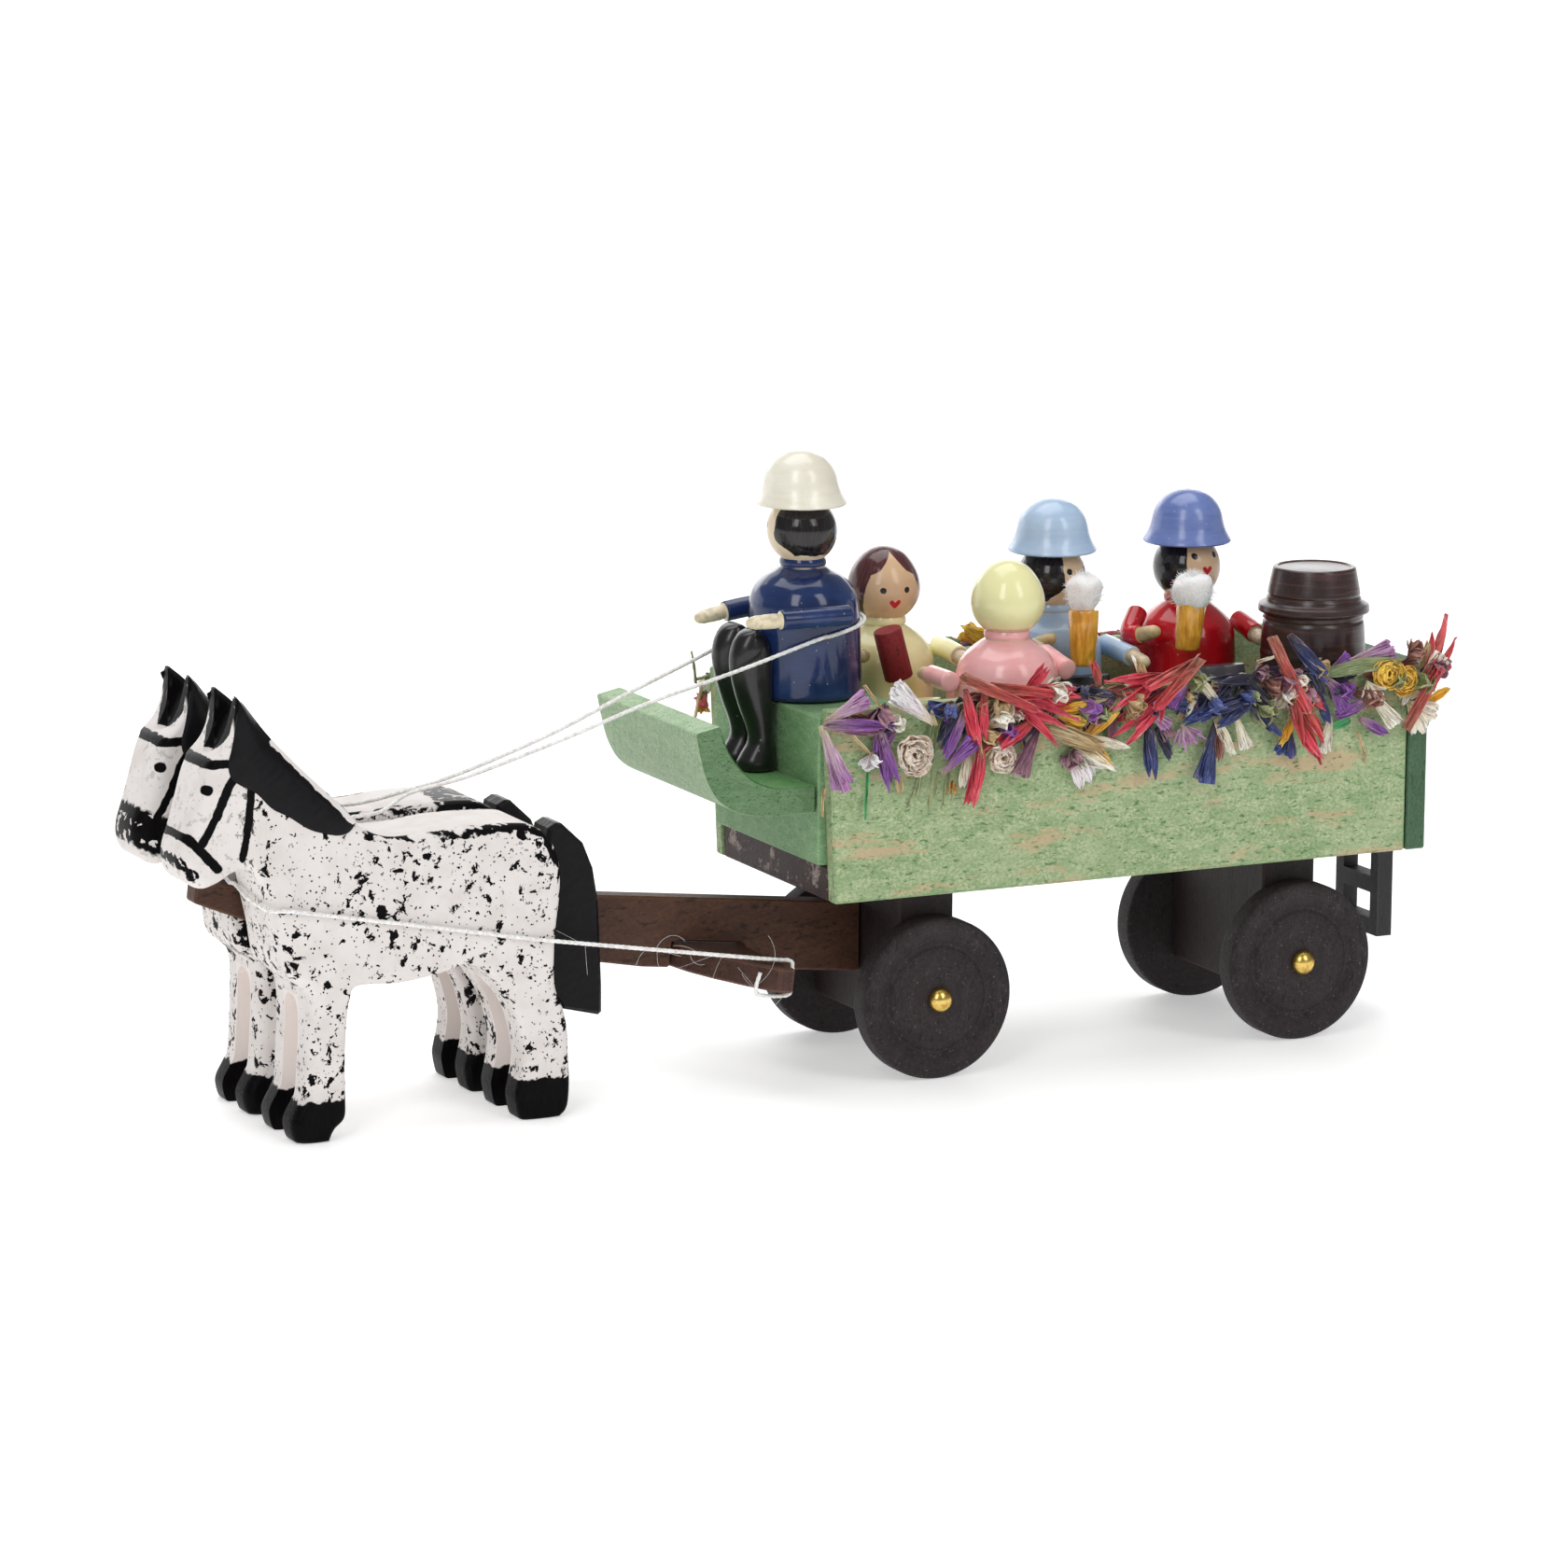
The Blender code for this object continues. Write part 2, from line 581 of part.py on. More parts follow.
# Crossbar: a flat bow-fronted bar let into the pole's underside, for the traces
bar_top = notch_top - GLUE_GAP
bar_bottom = -POLE_DEPTH
bar_half = CROSSBAR_LENGTH / 2
bar_plan = []
for k in range(9):
    y = -bar_half + CROSSBAR_LENGTH * k / 8
    bow = 1 - (abs(y) / bar_half) ** 1.6
    bar_plan.append((CROSSBAR_SETBACK + CROSSBAR_END_WIDTH + (CROSSBAR_MIDDLE_WIDTH - CROSSBAR_END_WIDTH) * bow, y))
bar_plan += [(CROSSBAR_SETBACK, bar_half), (CROSSBAR_SETBACK, -bar_half)]
points = []
for up in (bar_bottom, bar_top):
    points += [on_pole(f, up, y) for f, y in bar_plan]
crossbar = add_piece("crossbar", points, ring_faces(2, len(bar_plan)),
                     paint("crossbar", (0.080, 0.035, 0.022), 0.6), steering)
soften(crossbar, BOARD_EDGE)


# Horses: each sawn from a thick board, its legs split, its ears parted, its edges broken
def horse_xz(length_share, height_share):
    """A point of the horse's side view, from the back of its hind hoof and the ground."""
    return (-HORSE_HOOF_BACK - HORSE_LENGTH * length_share, HORSE_HEIGHT * height_share)


# Each run of the side view: shares of the length and height, and how deep its edge is broken
back_and_neck = [(0.056, 0.672), (0.104, 0.691), (0.249, 0.695), (0.359, 0.687), (0.451, 0.690), (0.527, 0.733),
                 (0.627, 0.826), (0.686, 0.886), (0.730, 0.934)]
ear = [(0.770, 0.986), (0.799, 1.0), (0.815, 0.912)]
face = [(0.842, 0.897), (0.870, 0.890), (0.886, 0.855), (0.900, 0.795), (0.918, 0.737), (NOSE_REACH, 0.682),
        (0.932, 0.640), (0.912, 0.612), (0.884, 0.602)]
throat = [(0.846, 0.613), (0.812, 0.630), (0.775, 0.637), (0.750, 0.612), (0.737, 0.575), (0.716, 0.490),
          (0.700, 0.405), (0.668, 0.372)]
foreleg_front = [(0.646, 0.345), (0.641, 0.280), (0.644, 0.198), (0.650, 0.113)]
fore_hoof = [(0.660, 0.090), (0.681, 0.048), (0.666, 0.0), (0.591, 0.0), (0.577, 0.025), (0.551, 0.052)]
foreleg_back = [(0.549, 0.107), (0.549, 0.193), (0.544, 0.275), (0.536, 0.325)]
belly = [(0.515, 0.352), (0.406, 0.350), (0.305, 0.364), (0.244, 0.378)]
hind_leg_front = [(0.207, 0.358), (0.172, 0.318), (0.134, 0.258), (0.110, 0.172), (0.112, 0.116), (0.120, 0.078)]
hind_hoof = [(0.124, 0.050), (0.106, 0.0), (0.011, 0.0), (-0.008, 0.030), (-0.013, 0.083)]
hind_leg_back = [(-0.010, 0.150), (-0.007, 0.205), (0.004, 0.255), (0.024, 0.311)]
rump = [(0.024, 0.416), (0.012, 0.520), (0.012, 0.585), (0.028, 0.636)]
horse_runs = [(back_and_neck, 1.0), (ear, 0.3), (face, 1.1), (throat, 0.9), (foreleg_front, 0.7), (fore_hoof, 0.5),
              (foreleg_back, 0.7), (belly, 0.9), (hind_leg_front, 0.7), (hind_hoof, 0.5), (hind_leg_back, 0.7), (rump, 0.9)]


def horse_half_thickness(x, z):
    """Half the board's thickness, carved thinner from the neck to the nose."""
    neck = min(max((-x - HORSE_HOOF_BACK - 0.52 * HORSE_LENGTH) / (0.25 * HORSE_LENGTH), 0), 1)
    high = min(max((z - 0.52 * HORSE_HEIGHT) / (0.16 * HORSE_HEIGHT), 0), 1)
    share = neck * high
    return (HORSE_THICKNESS * (1 - share) + HORSE_HEAD_THICKNESS * share) / 2


def inset_loop(loop, amount):
    """The loop moved inwards along its corner directions, each point by its own amount."""
    loop = np.asarray(loop)
    ahead = np.roll(loop, -1, axis=0) - loop
    behind = loop - np.roll(loop, 1, axis=0)
    ahead /= np.linalg.norm(ahead, axis=1)[:, None]
    behind /= np.linalg.norm(behind, axis=1)[:, None]
    along = ahead + behind
    along /= np.linalg.norm(along, axis=1)[:, None]
    area = 0.5 * np.sum(loop[:, 0] * np.roll(loop[:, 1], -1) - np.roll(loop[:, 0], -1) * loop[:, 1])
    inward = np.stack([-along[:, 1], along[:, 0]], axis=1) * (1 if area > 0 else -1)
    return loop + inward * np.asarray(amount)[:, None]


def horse(side, label):
    """One horse with broken edges, split legs and hollowed ears."""
    loop = []
    edges = []
    for run, share in horse_runs:
        loop += [horse_xz(a, b) for a, b in run]
        if run is ear:
            loop[-2] = (loop[-2][0], horse_ear_top)
        edges += [HORSE_EDGE * share * (1.6 if run is face else 1.0) for _ in run]
    centre_y = side * horse_centre_y
    edges = np.array(edges)
    inner = inset_loop(loop, edges * 0.8)
    points = []
    for share, broken in ((-1, True), (-1, False), (1, False), (1, True)):
        ring = inner if broken else np.asarray(loop)
        for (x, z), (x0, z0), edge in zip(ring, loop, edges):
            half = horse_half_thickness(x0, z0)
            if not broken:
                half -= edge
            points.append((x, centre_y + share * half, z))
    body = add_piece("horse_" + label, points, ring_faces(4, len(loop)),
                     paint("horse_" + label, (0.84, 0.80, 0.78), 0.55), steering, smooth=50)
    split = [(-LEG_SPLIT_WIDTH / 2, -0.001), (LEG_SPLIT_WIDTH / 2, -0.001), (LEG_SPLIT_WIDTH / 2, LEG_SPLIT_HEIGHT * 0.9),
             (LEG_SPLIT_WIDTH / 4, LEG_SPLIT_HEIGHT), (-LEG_SPLIT_WIDTH / 4, LEG_SPLIT_HEIGHT),
             (-LEG_SPLIT_WIDTH / 2, LEG_SPLIT_HEIGHT * 0.9)]
    reach = HORSE_HOOF_BACK + HORSE_LENGTH
    points, faces = extruded([(centre_y + y, z) for y, z in split], -reach, -HORSE_HOOF_BACK + 0.002, "x")
    cut(body, add_piece("leg_split_" + label, points, faces, paint("leg_split_" + label, (0.5, 0.5, 0.5)), steering))
    ear_low = horse_ear_top - EAR_SPLIT_DEPTH
    ear_high = horse_ear_top + 0.001
    ear_back = horse_xz(0.781, 1)[0]
    root = EAR_SPLIT_WIDTH * 0.09
    points = []
    for low_x, high_x in ((-reach - 0.001, -reach - 0.001), (ear_back - EAR_SPLIT_DEPTH * 0.3, ear_back)):
        points += [(low_x, centre_y - root, ear_low), (low_x, centre_y + root, ear_low),
                   (high_x, centre_y + EAR_SPLIT_WIDTH / 2, ear_high), (high_x, centre_y - EAR_SPLIT_WIDTH / 2, ear_high)]
    cut(body, add_piece("ear_hollow_" + label, points, ring_faces(2, 4),
                        paint("ear_hollow_" + label, (0.5, 0.5, 0.5)), steering))


for side, label in ((-1, "left"), (1, "right")):
    horse(side, label)


# Tails: flat sawn pieces glued behind each rump
def tail_outline():
    """The tail's side view: its front follows the rump a gap behind it."""
    follow = [hind_leg_back[-1]] + rump
    front = [(x + GLUE_GAP * 1.5, z) for x, z in (horse_xz(a, b) for a, b in follow)]
    root_x = front[-1][0]
    back_x = max(x for x, z in front) + TAIL_WIDTH
    top = front[-1][1] + TAIL_RISE
    foot = front[0][1] - TAIL_DROP
    rise = top - foot
    crown = [(root_x + TAIL_WIDTH * 0.05, top - TAIL_RISE * 0.35), (root_x + TAIL_WIDTH * 0.27, top)]
    back = [(back_x - TAIL_WIDTH * 0.38, top - rise * 0.12), (back_x - TAIL_WIDTH * 0.18, top - rise * 0.25),
            (back_x - TAIL_WIDTH * 0.07, top - rise * 0.42), (back_x, foot + rise * 0.15),
            (back_x, foot), (back_x - TAIL_WIDTH * 0.80, foot + TAIL_DROP * 0.25),
            (front[0][0] + TAIL_WIDTH * 0.05, front[0][1] - TAIL_DROP * 0.33)]
    return front + crown + back


for side, label in ((-1, "left"), (1, "right")):
    outline = tail_outline()
    centre_y = side * horse_centre_y
    points, faces = extruded(outline, centre_y - TAIL_THICKNESS / 2, centre_y + TAIL_THICKNESS / 2, "y")
    tail = add_piece("tail_" + label, points, faces, paint("tail_" + label, (0.022, 0.020, 0.023), 0.5), steering)
    soften(tail, BOARD_EDGE * 2, 50)


# Figures: each head and body is turned in one piece and stands on its flat base
def figure_profile(radius, body_height, hat_worn):
    """(radius, height) of a turned figure from its base to its crown."""
    collar = NECK_RADIUS + 0.0002
    profile = [(radius * 0.96, 0.0), (radius, 0.0004), (radius * 0.99, body_height * 0.60), (radius * 0.94, body_height * 0.71),
               (radius * 0.81, body_height * 0.80), (radius * 0.64, body_height * 0.87), (collar, body_height * 0.925),
               (collar, body_height * 0.98), (NECK_RADIUS, body_height)]
    drop = math.sqrt(HEAD_RADIUS**2 - NECK_RADIUS**2)
    centre = body_height + drop
    low = -math.degrees(math.asin(drop / HEAD_RADIUS))
    if hat_worn:
        for k in range(1, 7):
            angle = math.radians(low + (42 - low) * k / 6)
            profile.append((HEAD_RADIUS * math.cos(angle), centre + HEAD_RADIUS * math.sin(angle)))
    else:
        for k in range(1, 9):
            angle = math.radians(low + (84 - low) * k / 8)
            swell = 1 + 0.07 * max(0.0, math.cos(angle - math.radians(20)))
            lift = (HEAD_RADIUS + (HAIR_THICKNESS if angle > 0 else 0)) * math.sin(angle)
            profile.append((HEAD_RADIUS * swell * math.cos(angle), centre + lift))
    return profile


def hat_profile():
    """(radius, height) of a turned felt hat with a narrow brim."""
    shape = [(0.95, 0.0), (1.0, 0.05), (0.985, 0.13), (0.92, 0.22), (0.86, 0.33), (0.82, 0.47), (0.79, 0.62),
             (0.72, 0.76), (0.59, 0.87), (0.38, 0.96), (0.12, 1.0)]
    return [(HAT_BRIM_RADIUS * r, HAT_HEIGHT * h) for r, h in shape]


def add_figure(name, x, y, base, radius, body_height, colour, hat_colour=None, lean=0.0):
    """One turned figure, with its hat as a piece of its own."""
    profile = figure_profile(radius, body_height, hat_colour is not None)
    points, faces = turned(profile, (x, y, base), "z", FIGURE_STEPS)
    points = [(px - lean * (pz - base), py, pz) for px, py, pz in points]
    add_piece(name + "_figure", points, faces, paint(name + "_figure", colour, 0.2), wagon, smooth=50)
    if hat_colour is not None:
        rim = base + profile[-1][1] + GLUE_GAP
        points, faces = turned(hat_profile(), (x, y, rim), "z", FIGURE_STEPS)
        points = [(px - lean * (pz - base), py, pz) for px, py, pz in points]
        add_piece(name + "_hat", points, faces, paint(name + "_hat", hat_colour, 0.3), wagon, smooth=50)


def add_arm(name, knots, colour):
    """A round stick along its knots: a sleeve that ends in a narrower hand."""
    path = smooth_curve(knots, 7)
    side = np.cross(path[-1] - path[0], (0.1, 0.2, 1.0))

    def section(share):
        size = ARM_RADIUS if share < 0.62 else HAND_RADIUS * 1.15
        if share == 1:
            size = HAND_RADIUS * 0.7
        return ellipse(size, size, 8)

    points, faces = swept(path, section, side)
    add_piece(name, points, faces, paint(name, colour, 0.25), wagon, smooth=60)


def beside(place, sideways, forward, high):
    """A point near a figure: sideways and forward in arm's reaches, high as a share of its height."""
    x, y, base, radius, height, ahead = place
    reach = radius + GLUE_GAP + ARM_RADIUS
    u, v = ahead
    return (x + reach * (forward * u + sideways * abs(v)), y + reach * (forward * v + sideways * abs(u)), base + height * high)


# Driver, who sits on the seat block with both legs down on the foot board
driver_x = seat_front_x + DRIVER_RADIUS - 0.0012
driver_y = -0.0003
driver_base = seat_top + GLUE_GAP
driver_place = (driver_x, driver_y, driver_base, DRIVER_RADIUS, DRIVER_BODY_HEIGHT, (-1, 0))
add_figure("driver", driver_x, driver_y, driver_base, DRIVER_RADIUS, DRIVER_BODY_HEIGHT,
           (0.025, 0.055, 0.19), (0.84, 0.80, 0.70), DRIVER_LEAN)
driver_arms = [("left", [(-1.0, -0.22, 0.640), (-1.0, 0.60, 0.640), (-0.98, 1.44, 0.635)]),
               ("right", [(0.98, -0.15, 0.590), (0.97, 0.50, 0.575), (0.93, 1.35, 0.515)])]
for label, knots in driver_arms:
    add_arm("driver_arm_" + label, [beside(driver_place, *k) for k in knots], (0.025, 0.055, 0.19))
for side, label in ((-1, "left"), (1, "right")):
    leg_y = driver_y + side * (DRIVER_LEG_WIDTH / 2 + GLUE_GAP)
    back = seat_front_x - GLUE_GAP
    sole = foot_board_top + GLUE_GAP
    shin = driver_base + KNEE_HEIGHT - sole
    stations = [(0.0, 0.87, 0.0), (0.05, 0.90, 0.0), (0.12, 0.84, 0.06), (0.22, 0.79, 0.18), (0.36, 0.90, 0.12),
                (0.55, 1.0, 0.04), (0.75, 1.05, 0.06), (0.89, 1.0, 0.16), (0.97, 0.86, 0.32), (1.0, 0.66, 0.50)]
    points = []
    for high, front, rear in stations:
        depth = DRIVER_LEG_DEPTH * (front - rear) / 2
        centre_x = back - DRIVER_LEG_DEPTH * (front + rear) / 2
        width = DRIVER_LEG_WIDTH / 2 * min(1.0, 0.55 + 0.5 * (front - rear))
        for u, v in ellipse(depth, width, 10):
            points.append((centre_x + u, leg_y + v, sole + shin * high))
    leg = add_piece("driver_leg_" + label, points, ring_faces(len(stations), 10),
                    paint("driver_leg_" + label, (0.010, 0.009, 0.010), 0.25), wagon, smooth=60)
    hollow = DRIVER_RADIUS + GLUE_GAP + DRIVER_LEAN * KNEE_HEIGHT
    points, faces = turned([(hollow, -0.0002), (hollow, KNEE_HEIGHT * 1.5)], (driver_x, driver_y, driver_base), "z", 36)
    cut(leg, add_piece("leg_hollow_" + label, points, faces, paint("leg_hollow_" + label, (0.5, 0.5, 0.5)), wagon))


# Riders: name, place along the bench, side, coat, hat, trousers and knee height share
rider_base = bench_top + GLUE_GAP
riders = [
    ("woman", 0.0048, 1, (0.70, 0.62, 0.32), None, (0.55, 0.45, 0.20), 0.86),
    ("blonde", 0.0112, -1, (0.72, 0.22, 0.26), None, (0.55, 0.16, 0.20), 0.92),
    ("blue_man", 0.0213, 1, (0.32, 0.48, 0.70), (0.32, 0.48, 0.70), (0.02, 0.02, 0.022), 1.0),
    ("red_man", 0.0348, 1, (0.40, 0.012, 0.020), (0.08, 0.14, 0.38), (0.03, 0.03, 0.035), 1.0),
]
rider_place = {}
for name, along, side, coat, hat, trousers, knee_share in riders:
    x = seat_rear_x + along
    y = side * (inner_half - GLUE_GAP - RIDER_RADIUS)
    rider_place[name] = (x, y, rider_base, RIDER_RADIUS, RIDER_BODY_HEIGHT, (0, -side))
    add_figure(name, x, y, rider_base, RIDER_RADIUS, RIDER_BODY_HEIGHT, coat, hat)
    # Both legs carved side by side, standing on the floor in front of the figure
    front = y - side * (RIDER_RADIUS + GLUE_GAP)
    sole = floor_top + GLUE_GAP
    shin = rider_base + KNEE_HEIGHT * knee_share - sole
    stations = [(0.0, 1.0, 0.0), (0.06, 1.0, 0.0), (0.14, 0.82, 0.05), (0.40, 0.78, 0.04), (0.62, 0.88, 0.0),
                (0.82, 0.94, 0.0), (0.93, 0.86, 0.06), (1.0, 0.62, 0.22)]
    points = []
    for high, fore, rear in stations:
        half_depth = RIDER_LEG_DEPTH * (fore - rear) / 2
        centre = front - side * RIDER_LEG_DEPTH * (fore + rear) / 2
        for k in range(16):
            angle = 2 * math.pi * (k + 0.5) / 16
            u = RIDER_LEG_WIDTH * math.cos(angle)
            waist = 0.72 + 0.28 * min(1.0, abs(math.cos(angle)) * 1.7)
            points.append((x + u, centre + half_depth * math.sin(angle) * waist, sole + shin * high))
    add_piece(name + "_legs", points, ring_faces(len(stations), 16),
              paint(name + "_legs", trousers, 0.3), wagon, smooth=60)


# Riders' arms: knots as (sideways, forward, high) beside each figure
arm_routes = [
    ("woman", "left", [(1.0, -0.10, 0.73), (1.0, 0.40, 0.72), (1.0, 0.98, 0.68)]),
    ("woman", "right", [(-0.98, 0.0, 0.78), (-0.98, 0.45, 0.76), (-0.68, 0.88, 0.78)]),
    ("blonde", "left", [(-0.98, -0.05, 0.645), (-0.98, 0.45, 0.645), (-0.97, 0.95, 0.64)]),
    ("blonde", "right", [(1.0, -0.12, 0.67), (0.97, 0.40, 0.72), (0.90, 0.92, 0.80)]),
    ("blue_man", "left", [(1.0, -0.10, 0.645), (1.0, 0.60, 0.625), (1.0, 1.30, 0.60)]),
    ("blue_man", "right", [(-1.0, 0.10, 0.72), (-0.98, 0.52, 0.68), (-0.40, 0.92, 0.82)]),
    ("red_man", "left", [(1.0, -0.10, 0.75), (1.0, 0.30, 0.71), (1.0, 0.75, 0.64)]),
    ("red_man", "right", [(-0.88, 0.02, 0.88), (-1.18, 0.36, 0.74), (-0.96, 0.88, 0.80)]),
]
coats = {rider[0]: rider[3] for rider in riders}
for name, label, knots in arm_routes:
    add_arm(name + "_arm_" + label, [beside(rider_place[name], *k) for k in knots], coats[name])


# Red cup, a slanted stick in the woman's hand
foot = beside(rider_place["woman"], -0.26, 1.08, 0.62)
points = []
for radius, high in ((0.86, 0.0), (1.0, 0.06), (1.0, 0.94), (0.9, 1.0)):
    for u, v in ellipse(CUP_RADIUS * radius, CUP_RADIUS * radius, 12):
        points.append((foot[0] + u - CUP_HEIGHT * 0.28 * high, foot[1] + v, foot[2] + CUP_HEIGHT * high + u * 0.28))
add_piece("cup", points, ring_faces(4, 12), paint("cup", (0.35, 0.02, 0.02), 0.3), wagon, smooth=50)


# Beer glasses: an amber stick whose top is dipped thick in white for the froth
for name, sideways, high, tall, wide in (("blue_man", -0.06, 0.615, 1.15, 0.92), ("red_man", -0.62, 0.67, 0.85, 1.10)):
    foot = beside(rider_place[name], sideways, 1.17, high)
    froth = FROTH_HEIGHT * tall
    swell = FROTH_RADIUS * wide
    profile = [(BEER_RADIUS * 0.94, 0.0), (BEER_RADIUS, 0.0002), (BEER_RADIUS, BEER_HEIGHT - 0.0002),
               (BEER_RADIUS * 1.12, BEER_HEIGHT), (swell * 0.88, BEER_HEIGHT + froth * 0.25), (swell, BEER_HEIGHT + froth * 0.6),
               (swell * 0.9, BEER_HEIGHT + froth * 0.85), (swell * 0.5, BEER_HEIGHT + froth)]
    points, faces = turned(profile, foot, "z", 12)
    add_piece(name + "_beer", points, faces, paint(name + "_beer", (0.50, 0.24, 0.03), 0.2), wagon, smooth=50)


# Barrel: turned, tapered to both ends, with a hoop standing proud above and below the belly
barrel_x = box_rear_x - 0.0056
barrel_y = -(inner_half - GLUE_GAP - BARREL_BELLY_RADIUS - BARREL_HOOP_PROUD)
middle = BARREL_HEIGHT / 2


def barrel_radius(height):
    """The stave curve: fullest at the middle, narrowest at the heads."""
    share = abs(height - middle) / middle
    return BARREL_BELLY_RADIUS - (BARREL_BELLY_RADIUS - BARREL_END_RADIUS) * share**1.7


profile = [(barrel_radius(0), 0.0), (barrel_radius(middle * 0.3), middle * 0.3)]
for hoop in (middle - BARREL_HOOP_OFFSET, middle + BARREL_HOOP_OFFSET):
    low = hoop - BARREL_HOOP_HEIGHT / 2
    high = hoop + BARREL_HOOP_HEIGHT / 2
    proud = barrel_radius(hoop) + BARREL_HOOP_PROUD
    profile += [(barrel_radius(low), low), (proud, low + 0.0002), (proud, high - 0.0002), (barrel_radius(high), high)]
    if hoop < middle:
        profile.append((BARREL_BELLY_RADIUS, middle))
profile += [(barrel_radius(middle * 1.7), middle * 1.7), (barrel_radius(BARREL_HEIGHT), BARREL_HEIGHT),
            (BARREL_END_RADIUS * 0.85, BARREL_HEIGHT)]
points, faces = turned(profile, (barrel_x, barrel_y, rider_base), "z", 24)
add_piece("barrel", points, faces, paint("barrel", (0.055, 0.030, 0.034), 0.4), wagon, smooth=40)


# Garlands: dried flowers heaped along each side board's top edge and down its outside
generator = np.random.default_rng(7)
for side, label in ((-1, "left"), (1, "right")):
    start = box_front_x - SIDE_BOARD_RAKE
    end = ladder_front_x + GARLAND_TAIL_OVERHANG
    stations = np.linspace(start, end, 22)
    points = []
    for k, x in enumerate(stations):
        taper = min(1.0, 0.45 + 0.55 * min(k, len(stations) - 1 - k) / 2)
        bump = generator.uniform(0.62, 1.0, 4) * taper
        if k == len(stations) // 2:
            bump[0] = 1.0
        outer = box_half + GLUE_GAP
        inner = box_half - SIDE_BOARD_THICKNESS
        low = box_top + GLUE_GAP
        proud = GARLAND_PROUD * bump[0]
        rise = GARLAND_RISE * bump[1]
        drop = GARLAND_DROP * bump[2]
        section = [(inner, low), (outer, low), (outer, low - drop), (outer + proud * 0.5, low - drop * 0.9),
                   (outer + proud, low - drop * 0.45), (outer + proud * 0.9, low + rise * 0.25),
                   (outer + proud * 0.2, low + rise * 0.85), (inner + 0.0003, low + rise), (inner, low + rise * 0.6)]
        points += [(x, side * y, z) for y, z in section]
    add_piece("garland_" + label, points, ring_faces(len(stations), 9),
              paint("garland_" + label, (0.30, 0.16, 0.32), 0.9), wagon, smooth=60)


# Threads: white cotton, each one continuous length
def add_thread(name, path, parent):
    """A round thread along a smooth route."""
    route = np.asarray(path, dtype=float) - np.asarray(parent["place"], dtype=float)
    line = bpy.data.curves.new(name, "CURVE")
    line.dimensions = "3D"
    line.bevel_depth = THREAD_RADIUS
    line.bevel_resolution = 1
    line.use_fill_caps = True
    spline = line.splines.new("POLY")
    spline.points.add(len(route) - 1)
    for point, place in zip(spline.points, route):
        point.co = (*place, 1.0)
    line.materials.append(paint(name, (0.87, 0.87, 0.86), 0.8))
    thread = bpy.data.objects.new(name, line)
    bpy.context.scene.collection.objects.link(thread)
    thread.parent = parent
    return thread


def both_sides(half, joint):
    """The left half of a route, the point where it crosses the middle, and the mirrored right half."""
    left = [(x, -y, z) for x, y, z in half]
    right = [(x, y, z) for x, y, z in reversed(half)]
    return left + [joint] + right


# Traces: wound round one end of the crossbar, along the flank, round both chests and back
clear = THREAD_RADIUS + THREAD_GAP
flank_y = horse_outer_y + clear
chest_x = horse_xz(0.734, 0)[0] - clear
tie_y = min(flank_y - 0.0002, bar_half - 0.0008)
tie_width = CROSSBAR_END_WIDTH + (CROSSBAR_MIDDLE_WIDTH - CROSSBAR_END_WIDTH) * (1 - (tie_y / bar_half) ** 1.6)
rear = CROSSBAR_SETBACK - clear
fore = CROSSBAR_SETBACK + tie_width + clear
over = bar_top + clear
under = bar_bottom - clear
wound = [on_pole(fore - 0.0001, over - 0.0009, tie_y + 0.0006), on_pole(fore + 0.0001, under + 0.0006, tie_y + 0.0005),
         on_pole(fore - 0.0003, under - 0.0001, tie_y + 0.0004), on_pole(rear + 0.0003, under - 0.0001, tie_y + 0.0003),
         on_pole(rear - 0.0001, under + 0.0005, tie_y + 0.0002), on_pole(rear - 0.0001, over - 0.0005, tie_y + 0.0001),
         on_pole(rear + 0.0003, over + 0.0001, tie_y), on_pole(fore - 0.0002, over + 0.0002, tie_y)]
flank = [wound[-1]]
for share, high in ((0.03, 0.4165), (0.22, 0.453), (0.45, 0.4975), (0.61, 0.528), (0.680, 0.542)):
    flank.append((horse_xz(share, 0)[0], flank_y, HORSE_HEIGHT * high))
chest = [flank[-1], (chest_x + 0.0006, flank_y - 0.0001, HORSE_HEIGHT * 0.546), (chest_x, horse_outer_y - 0.0006, HORSE_HEIGHT * 0.549),
         (chest_x - 0.0001, horse_centre_y, HORSE_HEIGHT * 0.556), (chest_x - 0.0001, horse_inner_y + 0.0014, HORSE_HEIGHT * 0.572)]
pole_forward = (pole_rear_x - chest_x) / math.cos(POLE_RISE)
over_pole = on_pole(pole_forward, clear + 0.0001)
crossing = [chest[-1], (chest_x - 0.0001, POLE_WIDTH / 2 + clear, over_pole[2] - 0.0001), over_pole]
half = [tuple(p) for p in smooth_curve(wound, 15)]
half += [tuple(p) for p in smooth_curve(flank, 9)[1:]]
half += [tuple(p) for p in smooth_curve(chest, 9)[1:]]
half += [tuple(p) for p in smooth_curve(crossing, 5)[1:-1]]
add_thread("traces", both_sides(half, over_pole), steering)


# Reins: one length round the driver's back, its two ends laid on the horses' withers
hold_z = driver_base + DRIVER_BODY_HEIGHT * 0.555
hold_x = driver_x - DRIVER_LEAN * (hold_z - driver_base)
loop_radius = DRIVER_RADIUS + clear
withers_z = horse_xz(0, 0.690)[1] + clear
withers_x = horse_xz(0.46, 0)[0]
leg_outer_y = DRIVER_LEG_WIDTH + GLUE_GAP + clear
span = seat_front_x - withers_x
climb = hold_z - withers_z
